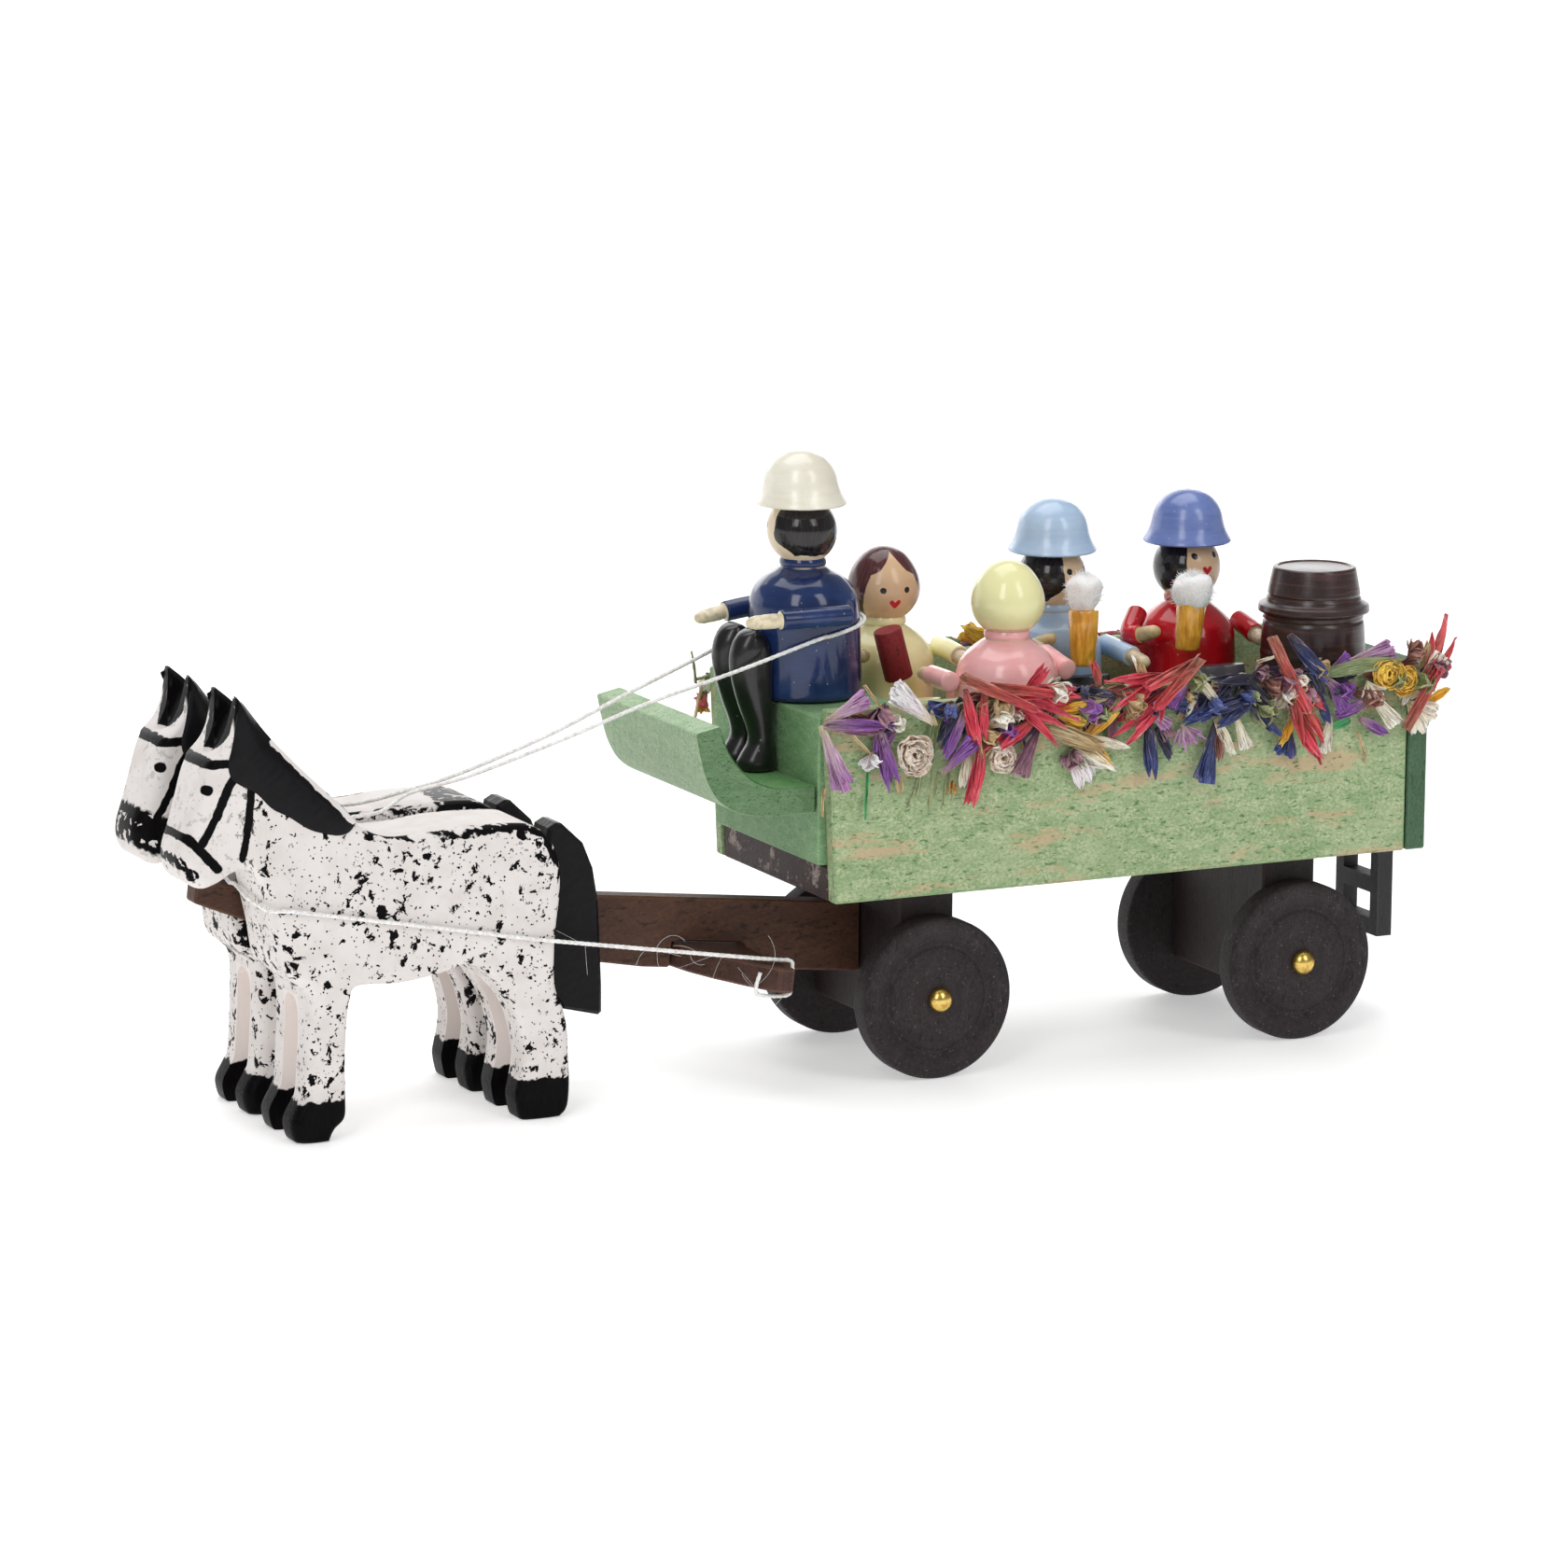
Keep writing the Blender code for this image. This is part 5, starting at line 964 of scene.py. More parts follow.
far_patches = [((-68.4, 25.6), (-65.4, 24.2), 1.6, 1.3),
               ((-40.1, 24.4), (-36.6, 23.9), 1.1, 1.6), ((-52.6, 24.3), (-50.6, 23.8), 0.50, 1.5),
               ((-59.4, 19.0), (-57.8, 14.2), 0.55, 3.0), ((-58.4, 13.0), (-58.7, 6.0), 0.7, 2.2)]
for side, label, patches in ((-1, "left", near_patches), (1, "right", far_patches)):
    centre_y = side * horse_middle
    horse = carved_horse("horse_%s_carved" % label, centre_y)
    horse.data.materials.clear()
    horse.data.materials.append(horse_paint("dapple_" + label, centre_y, halter, patches))
    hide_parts("horse_" + label)
    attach(horse, "front_gear")
    hair = mane("mane_" + label, centre_y, hair_enamel)
    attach(hair, "front_gear")
    dress("tail_" + label, hair_enamel)


# People: each head and body is turned in one piece, dipped in gloss lacquer, and its hair and face are painted on.
# Sleeves with hands and pairs of legs are whittled sticks glued to the body; hats are turned apart.
head_radius, neck_radius = 3.0, 1.9
head_drop = math.sqrt(head_radius**2 - neck_radius**2)
head_high = neck_top + head_drop


def figure_profile(radius, covered):
    """Radius and height of a turned figure in millimetres: a drum, round shoulders, a collar band, then the head.

    The head is an arc of radius 3.0; a bare one is 7% fuller at the hair and 0.7 mm higher at the crown.
    """
    drum = smooth_line([(radius * 0.955, 0.0), (radius * 0.992, 0.22), (radius, 0.7), (radius * 0.998, 4.0),
                        (radius * 0.988, 7.2), (radius * 0.945, 8.55), (radius * 0.84, 9.50), (radius * 0.67, 10.25),
                        (2.40, 10.72), (2.02, 10.98)], 0.14)
    band = np.array([(1.90, 11.05), (1.90, 11.11), (1.98, 11.18), (2.01, 11.40), (1.98, 11.62), (1.90, 11.74),
                     (1.88, 11.82)])
    low = -math.asin(head_drop / head_radius)
    a = np.linspace(low + 0.03, math.radians(42 if covered else 87), 44)
    swell = 1 if covered else 1 + 0.07 * np.clip(np.cos(a - math.radians(20)), 0, 1)
    lift = head_radius + (0 if covered else 0.7) * np.clip(np.sin(a) * 1.2, 0, 1)
    head = np.stack([head_radius * swell * np.cos(a), head_high + lift * np.sin(a)], axis=1)
    return np.vstack([drum, band, head])


def hat_profile():
    """Radius and height of the turned hat in millimetres: a flared brim that runs up into a domed crown."""
    brim = np.array([(0.3, 0.02), (3.50, 0.02), (3.74, 0.0)])
    crown = smooth_line([(3.84, 0.04), (3.90, 0.16), (3.82, 0.34), (3.63, 0.66), (3.44, 1.02), (3.30, 1.40),
                         (3.18, 1.90), (3.06, 2.42), (2.87, 2.98), (2.56, 3.50), (2.10, 3.98), (1.50, 4.36),
                         (0.80, 4.61), (0.08, 4.70)], 0.12)
    return np.vstack([brim, crown])


def toned(colour, share, lift=0.0):
    """A colour made darker or lighter by a share."""
    return tuple(c * share + lift for c in colour[:3]) + (1.0,)


def coat_colour(tree, place, colour, deep):
    """Lacquer over turned wood: a soft cloud of a deeper shade, and pale dust caught in it here and there."""
    cloud = grey_noise(tree, place, 330, 3)
    turning = grey_noise(tree, squeezed(tree, place, (0.15, 0.15, 1)), 3200)
    shade = plus(tree, times(tree, cloud, 0.7), times(tree, turning, 0.3))
    mixed = blended(tree, between(tree, shade, 0.35, 0.68), colour, deep)
    speck = add_node(tree, "TexVoronoi", {"Vector": place, "Scale": 1100.0}).outputs["Distance"]
    dust = rest(tree, between(tree, speck, 0.05, 0.10))
    return blended(tree, times(tree, dust, 0.30), mixed, ink(225, 222, 215)), turning


def orange_peel(tree, place, fine, strength=0.12):
    """The lacquer's own surface: broad sags with the lathe's rings telegraphing through."""
    sag = grey_noise(tree, place, 650, 1.5)
    height = plus(tree, sag, times(tree, fine, 0.25))
    return bumped(tree, strength, 0.00022, height)


def lacquer(name, colour, deep, roughness=0.16, coat=0.7, peel=0.12):
    """A plain gloss lacquer finish."""
    finish, tree, shader = new_finish(name, Roughness=roughness, Coat__Weight=coat, Coat__Roughness=0.07)
    place = from_point(tree)
    mixed, fine = coat_colour(tree, place, colour, deep)
    cover(tree, shader, mixed, normal=orange_peel(tree, place, fine, peel))
    return finish


def figure_paint(name, coat, deep, skin_tone, hair, centre, facing, style, hair_edge, eyes, mouth):
    """Coat below the neck; above it a painted head whose hair starts a set angle from the middle of the face.

    Angles come from the point's direction out of the head's centre, turned so that the face looks along -Y.
    """
    finish, tree, shader = new_finish(name, Specular__IOR__Level=0.32, Coat__Weight=0.38, Coat__Roughness=0.07)
    place = from_point(tree)
    local = from_point(tree, centre, turn=(0, 0, -facing))
    x, y, z = (add_node(tree, "SeparateXYZ", {0: local}).outputs[k] for k in range(3))
    out = vector_step(tree, "LENGTH", local)
    high = times(tree, sums(tree, "ARCSINE", sums(tree, "DIVIDE", z, out)), 57.3)
    round_head = times(tree, sums(tree, "ARCTAN2", x, times(tree, y, -1.0)), 57.3)
    away = sums(tree, "ABSOLUTE", round_head)
    wobble = grey_noise(tree, place, 700, 3)
    wobble = times(tree, minus(tree, wobble, 0.5), 16.0)
    if style == "cropped":
        nape = times(tree, between(tree, high, -10.0, -40.0), 32.0)
        edge = plus(tree, plus(tree, nape, hair_edge), wobble)
        mask = between(tree, minus(tree, away, edge), -1.0, 1.0)
        mask = times(tree, mask, between(tree, plus(tree, high, wobble), -41.0, -39.0))
    elif style == "parted":
        slope = larger(tree, sums(tree, "MULTIPLY_ADD", away, -1.4, 70.0),
                       sums(tree, "MULTIPLY_ADD", away, -0.45, 46.0))
        fringe = between(tree, minus(tree, sums(tree, "MULTIPLY_ADD", wobble, 0.35, high), slope), -1.0, 1.0)
        side = minus(tree, away, sums(tree, "MULTIPLY_ADD", high, -0.30, hair_edge))
        mask = larger(tree, fringe, between(tree, sums(tree, "MULTIPLY_ADD", wobble, 0.4, side), -1.0, 1.0))
        mask = times(tree, mask, between(tree, high, -44.0, -42.0))
    else:
        mask = between(tree, sums(tree, "MULTIPLY_ADD", wobble, 0.2, high), -42.0, -40.0)
        face = times(tree, between(tree, away, hair_edge + 1.0, hair_edge - 1.0), between(tree, high, 46.0, 44.0))
        mask = times(tree, mask, rest(tree, face))
    strand_place = add_node(tree, "CombineXYZ", {0: times(tree, round_head, 0.10),
                                                 1: times(tree, high, 0.016)}).outputs[0]
    strand = grey_noise(tree, strand_place, 2.2, 3, bend=0.4)
    flesh = blended(tree, between(tree, wobble, -3.0, 5.0), skin_tone, toned(skin_tone, 0.90))
    locks = hair
    if style != "covered":
        locks = blended(tree, between(tree, strand, 0.40, 0.66), hair, toned(hair, 1.5, 0.006))
    head = blended(tree, mask, flesh, locks)
    front = sums(tree, "LESS_THAN", y, 0.0)
    drawn = [((side * 1.08, eyes), (side * 1.08, eyes + 0.02), 0.27, ink(22, 18, 18)) for side in (-1, 1)]
    drawn += [((side * 0.30, mouth + 0.16), (0.0, mouth - 0.18), 0.21, ink(196, 30, 44)) for side in (-1, 1)]
    for start, end, width, shade in drawn:
        stroke = add_node(tree, "Group", {"Vector": local, "From": (start[0] / 1000, 0, start[1] / 1000),
                                          "To": (end[0] / 1000, 0, end[1] / 1000), "Half Width": width / 1000,
                                          "Shake": 0.00006}, node_tree=brush_stroke).outputs["Mask"]
        head = blended(tree, times(tree, stroke, front), head, shade)
    cloth, fine = coat_colour(tree, place, coat, deep)
    groove = sums(tree, "ABSOLUTE", minus(tree, z, -0.00306))
    groove = times(tree, between(tree, groove, 0.00011, 0.00005), between(tree, wobble, -2.5, 1.0))
    cloth = blended(tree, times(tree, groove, 0.65), cloth, ink(214, 196, 160))
    neck = between(tree, sums(tree, "MULTIPLY_ADD", wobble, 0.000004, z), -0.00236, -0.00231)
    matt = times(tree, neck, rest(tree, mask))
    ridges = times(tree, times(tree, strand, mask if style != "covered" else 0.0), neck)
    sag = grey_noise(tree, place, 650, 1.5)
    height = plus(tree, plus(tree, sag, times(tree, fine, 0.25)), times(tree, ridges, 0.7))
    bump = bumped(tree, 0.14, 0.00025, height)
    cover(tree, shader, blended(tree, neck, cloth, head), plus(tree, 0.15, times(tree, matt, 0.18)), bump)
    return finish


def rod(name, knots, coat, hand, cut=0.68):
    """A sleeve and hand: a round stick along its knots, stepped down at the cuff and rounded at the fingertip.

    The radius is a function of the share of the length; the share is kept on each point for the paint.
    """
    path = smooth_line(knots, 0.06)
    share = np.linspace(0, 1, len(path))
    cuff, palm = 0.90, 0.76
    radius = np.interp(share, [0, 0.012, 0.03, cut - 0.025, cut - 0.008, cut, cut + 0.05, 0.82, 0.91, 0.96, 0.985, 1.0],
                       [0.40, 0.78, cuff, cuff, 0.84, 0.58, 0.68, palm, 0.72, 0.56, 0.38, 0.10])
    along = unit(np.gradient(path, axis=0))
    side = unit(np.cross(along, [0.1, 0.2, 1.0]))
    over_side = np.cross(along, side)
    a = around(24)
    flat = np.interp(share, [cut, 0.85, 1.0], [1.0, 0.80, 0.85])[:, None]
    ring = (np.cos(a)[None, :, None] * side[:, None, :] + (np.sin(a)[None, :] * flat)[..., None]
            * over_side[:, None, :])
    grid = path[:, None, :] + radius[:, None, None] * ring
    grid[..., 0] += axle_x
    piece = skin(name, grid / 1000, 40)
    marks = piece.data.attributes.new("share", "FLOAT", "POINT")
    marks.data.foreach_set("value", np.repeat(share, 24))
    finish, tree, shader = new_finish(name + "_paint", Specular__IOR__Level=0.35, Coat__Weight=0.35,
                                      Coat__Roughness=0.10)
    place = from_point(tree)
    cloth, fine = coat_colour(tree, place, *coat)
    grime = grey_noise(tree, place, 1500, 3)
    flesh = blended(tree, between(tree, grime, 0.42, 0.70), hand, toned(hand, 0.72))
    bare = between(tree, add_node(tree, "Attribute", attribute_name="share").outputs["Fac"], cut - 0.008, cut - 0.004)
    cover(tree, shader, blended(tree, bare, cloth, flesh), plus(tree, 0.18, times(tree, bare, 0.2)),
          orange_peel(tree, place, fine, 0.2))
    piece.data.materials.append(finish)
    return piece


def leg_grid(stations, count, section):
    """Rings of a carved leg: its stations are read along a smooth line, and each gives one section."""
    line = smooth_line([(high * 10, front, rear) for high, front, rear in stations], 0.11)
    return np.array([section(high / 10, front, rear) for high, front, rear in line])


def leg_paint(name, colour, deep):
    """Gloss trousers, lighter grey along the stick's edges."""
    finish, tree, shader = new_finish(name, Roughness=0.30, Coat__Weight=0.25, Coat__Roughness=0.10)
    place = from_point(tree)
    mixed, fine = coat_colour(tree, place, colour, deep)
    # Lighter grey along the stick's edges, through the edge mask.
    mixed = blended(tree, times(tree, worn(tree, place, 0.00022), 0.22), mixed, ink(150, 146, 140))
    cover(tree, shader, mixed, normal=orange_peel(tree, place, fine, 0.22))
    return finish


rider_base, rider_radius, rider_y, floor_top, reach_out = 25.8, 4.5, 5.45, 19.3, 1.1
navy = (ink(36, 56, 104), ink(26, 42, 84))
cream = (ink(255, 250, 198), ink(250, 240, 176))
pink = (ink(253, 194, 194), ink(245, 176, 178))
sky_blue = (ink(180, 204, 230), ink(162, 190, 220))
scarlet = (ink(204, 26, 38), ink(176, 16, 28))
jet = (ink(14, 13, 15), ink(24, 22, 24))
people = [
    ("driver", *driver_base, driver_radius, (-1, 0), navy, ink(232, 212, 178), ink(24, 20, 21), -129,
     "cropped", 53, 0.45, -0.8),
    ("woman", 2.4, rider_y, rider_base, rider_radius, (0, -1), cream, ink(220, 184, 146), ink(78, 40, 42), -7,
     "parted", 50, 0.25, -0.95),
    ("blonde", 8.8, -rider_y, rider_base, rider_radius, (0, 1), pink, ink(222, 196, 160), ink(238, 234, 178), 180,
     "covered", 44, 0.3, -0.9),
    ("blue_man", 18.9, rider_y, rider_base, rider_radius, (0, -1), sky_blue, ink(226, 196, 160), ink(22, 19, 20), 26,
     "cropped", 30, 0.73, -0.4),
    ("red_man", 32.4, rider_y, rider_base, rider_radius, (0, -1), scarlet, ink(222, 188, 152), ink(22, 19, 20), 9,
     "cropped", 38, 1.25, -0.02),
]
hats = {"driver": (ink(240, 236, 220), ink(228, 222, 204)), "blue_man": (ink(184, 206, 230), ink(168, 194, 222)),
        "red_man": (ink(116, 134, 192), ink(98, 118, 178))}
for name, x, y, base, radius, ahead, coat, skin_tone, hair, facing, style, hair_edge, eyes, mouth in people:
    covered = name in hats
    lean = driver_lean if name == "driver" else 0.0
    profile = figure_profile(radius, covered)
    body = turned(name + "_turned", profile / 1000, spot(x, y, base), columns=80, sharp=45, lean=lean)
    centre = spot(x - lean * head_high, y, base + head_high)
    body.data.materials.append(figure_paint(name + "_paint", *coat, skin_tone, hair, centre, math.radians(facing),
                                            style, float(hair_edge), eyes, mouth))
    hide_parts(name + "_figure")
    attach(body, "wagon")
    if covered:
        rim = profile[-1][1] + 0.2
        hat = turned(name + "_felt_hat", hat_profile() / 1000, spot(x - lean * rim, y, base + rim), columns=80,
                     sharp=45, lean=lean)
        hat.data.materials.append(lacquer(name + "_hat_paint", *hats[name], roughness=0.26, coat=0.35, peel=0.10))
        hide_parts(name + "_hat")
        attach(hat, "wagon")

people_place = {p[0]: p[1:6] for p in people}


def beside(name, sideways, forward, high):
    """A point near a figure in millimetres: sideways and forward in arm's reaches, high as a share of its height."""
    x, y, base, radius, (u, v) = people_place[name]
    arm = radius + reach_out
    return (x + arm * (forward * u + sideways * abs(v)), y + arm * (forward * v + sideways * abs(u)),
            base + neck_top * high)


pale, tan, flesh = ink(236, 222, 190), ink(206, 182, 136), ink(214, 196, 166)
arms = [
    ("driver", "left", navy, pale, [(-1.0, -0.22, 0.640), (-1.0, 0.60, 0.640), (-0.98, 1.44, 0.635)]),
    ("driver", "right", navy, pale, [(0.98, -0.15, 0.590), (0.97, 0.50, 0.575), (0.93, 1.35, 0.515)]),
    ("woman", "left", cream, flesh, [(1.0, -0.10, 0.73), (1.0, 0.40, 0.72), (1.0, 0.98, 0.68)]),
    ("woman", "right", cream, tan, [(-0.98, 0.0, 0.78), (-0.98, 0.45, 0.76), (-0.68, 0.88, 0.78)]),
    ("blonde", "left", pink, flesh, [(-0.98, -0.05, 0.645), (-0.98, 0.45, 0.645), (-0.97, 0.95, 0.64)]),
    ("blonde", "right", pink, flesh, [(1.0, -0.12, 0.67), (0.97, 0.40, 0.72), (0.90, 0.92, 0.80)]),
    ("blue_man", "left", sky_blue, flesh, [(1.0, -0.10, 0.645), (1.0, 0.60, 0.625), (1.0, 1.30, 0.60)]),
    ("blue_man", "right", sky_blue, tan, [(-1.0, 0.10, 0.72), (-0.98, 0.52, 0.68), (-0.40, 0.92, 0.82)]),
    ("red_man", "left", scarlet, flesh, [(1.0, -0.10, 0.75), (1.0, 0.30, 0.71), (1.0, 0.75, 0.64)]),
    ("red_man", "right", scarlet, tan, [(-0.88, 0.02, 0.88), (-1.18, 0.36, 0.74), (-0.96, 0.88, 0.80)]),
]
for name, label, coat, hand, knots in arms:
    arm = rod("%s_sleeve_%s" % (name, label), [beside(name, *k) for k in knots], coat, hand)
    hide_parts("%s_arm_%s" % (name, label))
    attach(arm, "wagon")

glue = 0.2
knee, shoe_low, lap_round = 6.2, 26.4 + glue, 5.217
stations = [(0.0, 0.84, 0.0), (0.05, 0.88, 0.0), (0.11, 0.78, 0.03), (0.20, 0.62, 0.08), (0.30, 0.66, 0.08),
            (0.45, 0.84, 0.04), (0.62, 1.0, 0.03), (0.77, 1.08, 0.06), (0.89, 1.02, 0.16), (0.97, 0.86, 0.32),
            (1.0, 0.66, 0.50)]
for side, label in ((-1, "left"), (1, "right")):
    leg_y = -0.3 + side * 1.7
    behind = seat_front - 0.2
    shin = driver_base[2] + knee - shoe_low
    leg_deep, leg_half = 3.9, 1.5

    def driver_section(high, front, rear):
        a = (np.arange(32) + 0.5) * 2 * np.pi / 32
        depth = leg_deep * (front - rear) / 2
        width = leg_half * min(1.0, 0.55 + 0.5 * (front - rear))
        x = behind - leg_deep * (front + rear) / 2 + depth * np.cos(a)
        y = leg_y + width * np.sin(a)
        z = np.full(32, shoe_low + shin * high)
        round_body = driver_base[0] - np.sqrt(np.clip(lap_round**2 - (y + 0.3) ** 2, 0, None))
        x = np.where(z > 32.2, np.minimum(x, round_body), x)
        return np.stack([x + axle_x, y, z], axis=1) / 1000

    leg = skin("driver_trouser_" + label, leg_grid(stations, 32, driver_section), 50)
    leg.data.materials.append(leg_paint("driver_trouser_paint_" + label, *jet))
    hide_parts("driver_leg_" + label)
    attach(leg, "wagon")

stations = [(0.0, 1.0, 0.0), (0.06, 1.0, 0.0), (0.14, 0.82, 0.05), (0.40, 0.78, 0.04), (0.62, 0.88, 0.0),
            (0.82, 0.94, 0.0), (0.93, 0.86, 0.06), (1.0, 0.62, 0.22)]
for name, share, trousers in (("woman", 0.86, cream), ("blonde", 0.92, pink), ("blue_man", 1.0, jet),
                              ("red_man", 1.0, (ink(74, 72, 78), ink(56, 54, 60)))):
    x, y, base, radius, ahead = people_place[name]
    outward = math.copysign(1, y)
    face = y - outward * (radius + glue)
    lap_deep, lap_half = 3.4, 2.5

    def rider_section(high, front, rear):
        a = (np.arange(48) + 0.5) * 2 * np.pi / 48
        waist = 0.72 + 0.28 * np.minimum(1.0, np.abs(np.cos(a)) * 1.7)
        depth = lap_deep * (front - rear) / 2
        deep = face - outward * lap_deep * (front + rear) / 2 + depth * np.sin(a) * waist
        high = floor_top + glue + (base + knee * share - floor_top - glue) * high
        return np.stack([x + lap_half * np.cos(a) + axle_x, deep, np.full(48, high)], axis=1) / 1000

    leg = skin(name + "_trousers", leg_grid(stations, 48, rider_section), 50)
    leg.data.materials.append(leg_paint(name + "_trouser_paint", *trousers))
    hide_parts(name + "_legs")
    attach(leg, "wagon")


# Cup and beers: the woman's red cup and two amber glasses are short sticks glued into the hands.
# Each beer's froth is a tuft of white flock, a lump of fibre that stands out all round.
foot = beside("woman", -0.26, 1.08, 0.62)
cup_tall, cup_radius, cup_lean = 4.3, 1.2, 0.28
a = around(40)
rings = []
for share, high in ((0.93, 0.0), (1.0, 0.025), (1.0, 0.975), (0.95, 1.0)):
    u, v = cup_radius * share * np.cos(a), cup_radius * share * np.sin(a)
    middle = [foot[0] - cup_tall * cup_lean * high + axle_x, foot[1], foot[2] + cup_tall * high]
    rings.append(np.stack([u, v, u * cup_lean], axis=1) + middle)
cup = skin("red_cup", np.array(rings) / 1000, 40)
cup.data.materials.append(stained_board("cup_stain", ink(150, 40, 42), ink(112, 24, 30), ink(178, 84, 74),
                                        ink(66, 14, 20), 0.10, 0.45, scale=1.6, turn=(0, math.radians(-106), 0),
                                        edge=ink(186, 92, 84), edge_share=0.4))
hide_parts("cup")
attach(cup, "wagon")


def amber(name):
    """Amber varnish over a fluted stick: bright and brown streaks down its length, and browner blotches."""
    finish, tree, shader = new_finish(name, Roughness=0.22, Coat__Weight=0.8, Coat__Roughness=0.12,
                                      Subsurface__Weight=0.15, Subsurface__Scale=0.0008)
    place = from_point(tree)
    drawn = squeezed(tree, place, (1, 1, 0.12))
    streak = grey_noise(tree, drawn, 2600, 4, 0.65)
    blotch = grey_noise(tree, place, 700)
    mixed = blended(tree, between(tree, streak, 0.35, 0.66), ink(255, 197, 74), ink(220, 142, 40))
    mixed = blended(tree, times(tree, between(tree, blotch, 0.5, 0.72), 0.5), mixed, ink(172, 106, 28))
    bump = bumped(tree, 0.5, 0.00008, streak)
    cover(tree, shader, mixed, normal=bump)
    return finish


def flock():
    """White flock with painted shade: a little greyer where the fibre bump is low, between the fibres."""
    finish, tree, shader = new_finish("froth_flock", Roughness=0.95, Sheen__Weight=0.8, Sheen__Roughness=0.5,
                                      Subsurface__Weight=0.35, Subsurface__Scale=0.0006)
    place = from_point(tree)
    fibre = grey_noise(tree, place, 5200, 4, bend=0.6)
    bump = bumped(tree, 0.8, 0.0001, fibre)
    cover(tree, shader, blended(tree, between(tree, fibre, 0.35, 0.6), ink(244, 243, 242), ink(255, 255, 254)),
          normal=bump)
    return finish


def straps(base, along, face, length, width, curl, cup, bow, spin, frill, shape, rows=10, columns=5):
    """Many curved strips at once, as points (strip, row, column, xyz).

    Row s of a strip lies on an arc that leaves the base along its direction and bends by curl towards its face;
    column t stands off sideways by t times the width times the shape at that row, dished by cup and rippled by
    frill near the tip.
    """
    s = np.linspace(0, 1, rows)[None, :, None]
    t = np.linspace(-1, 1, columns)[None, None, :]
    base, along, face = (np.atleast_2d(np.asarray(v, dtype=float)) for v in (base, along, face))
    along = unit(along)
    side = unit(np.cross(along, face))
    face = np.cross(side, along)
    length, width, curl, cup, bow, spin, frill = (np.broadcast_to(np.asarray(v, dtype=float), len(base))[:, None, None]
                                                  for v in (length, width, curl, cup, bow, spin, frill))
    bend = np.where(np.abs(curl) < 1e-3, 1e-3, curl)
    ahead = length * np.sin(bend * s) / bend
    lift = length * (1 - np.cos(bend * s)) / bend
    w = width * np.asarray(shape, dtype=float).reshape(-1, rows, 1)
    ripple = frill * width * s**3 * np.sin(9 * t + 17 * bend)
    off = cup * w * (t**2 - 0.5) + ripple
    turn = spin * s
    sideways = bow * length * s**2 + w * t * np.cos(turn) - off * np.sin(turn)
    outward = w * t * np.sin(turn) + off * np.cos(turn)
    tilt = bend * s
    ahead = ahead - outward * np.sin(tilt)
    lift = lift + outward * np.cos(tilt)
    axes = [v[:, None, None, :] for v in (along, side, face)]
    return (base[:, None, None, :] + ahead[..., None] * axes[0] + sideways[..., None] * axes[1]
            + lift[..., None] * axes[2])


def sheet_faces(count, rows, columns):
    """The quads of many grids of rows and columns that lie one after another."""
    here = np.arange(count * rows * columns).reshape(count, rows, columns)
    quads = [here[:, :-1, :-1], here[:, 1:, :-1], here[:, 1:, 1:], here[:, :-1, 1:]]
    return np.stack(quads, axis=-1).reshape(-1, 4)


def thin_strips(name, points, depth):
    """One mesh of many strips, from points (strip, row, column, xyz) in millimetres; the depth is in metres."""
    mesh = bpy.data.meshes.new(name)
    mesh.from_pydata((points.reshape(-1, 3) / 1000).tolist(), [], sheet_faces(*points.shape[:3]).tolist())
    piece = put(name, mesh)
    thicken = piece.modifiers.new("thickness", "SOLIDIFY")
    thicken.thickness = depth
    thicken.offset = 0
    return piece


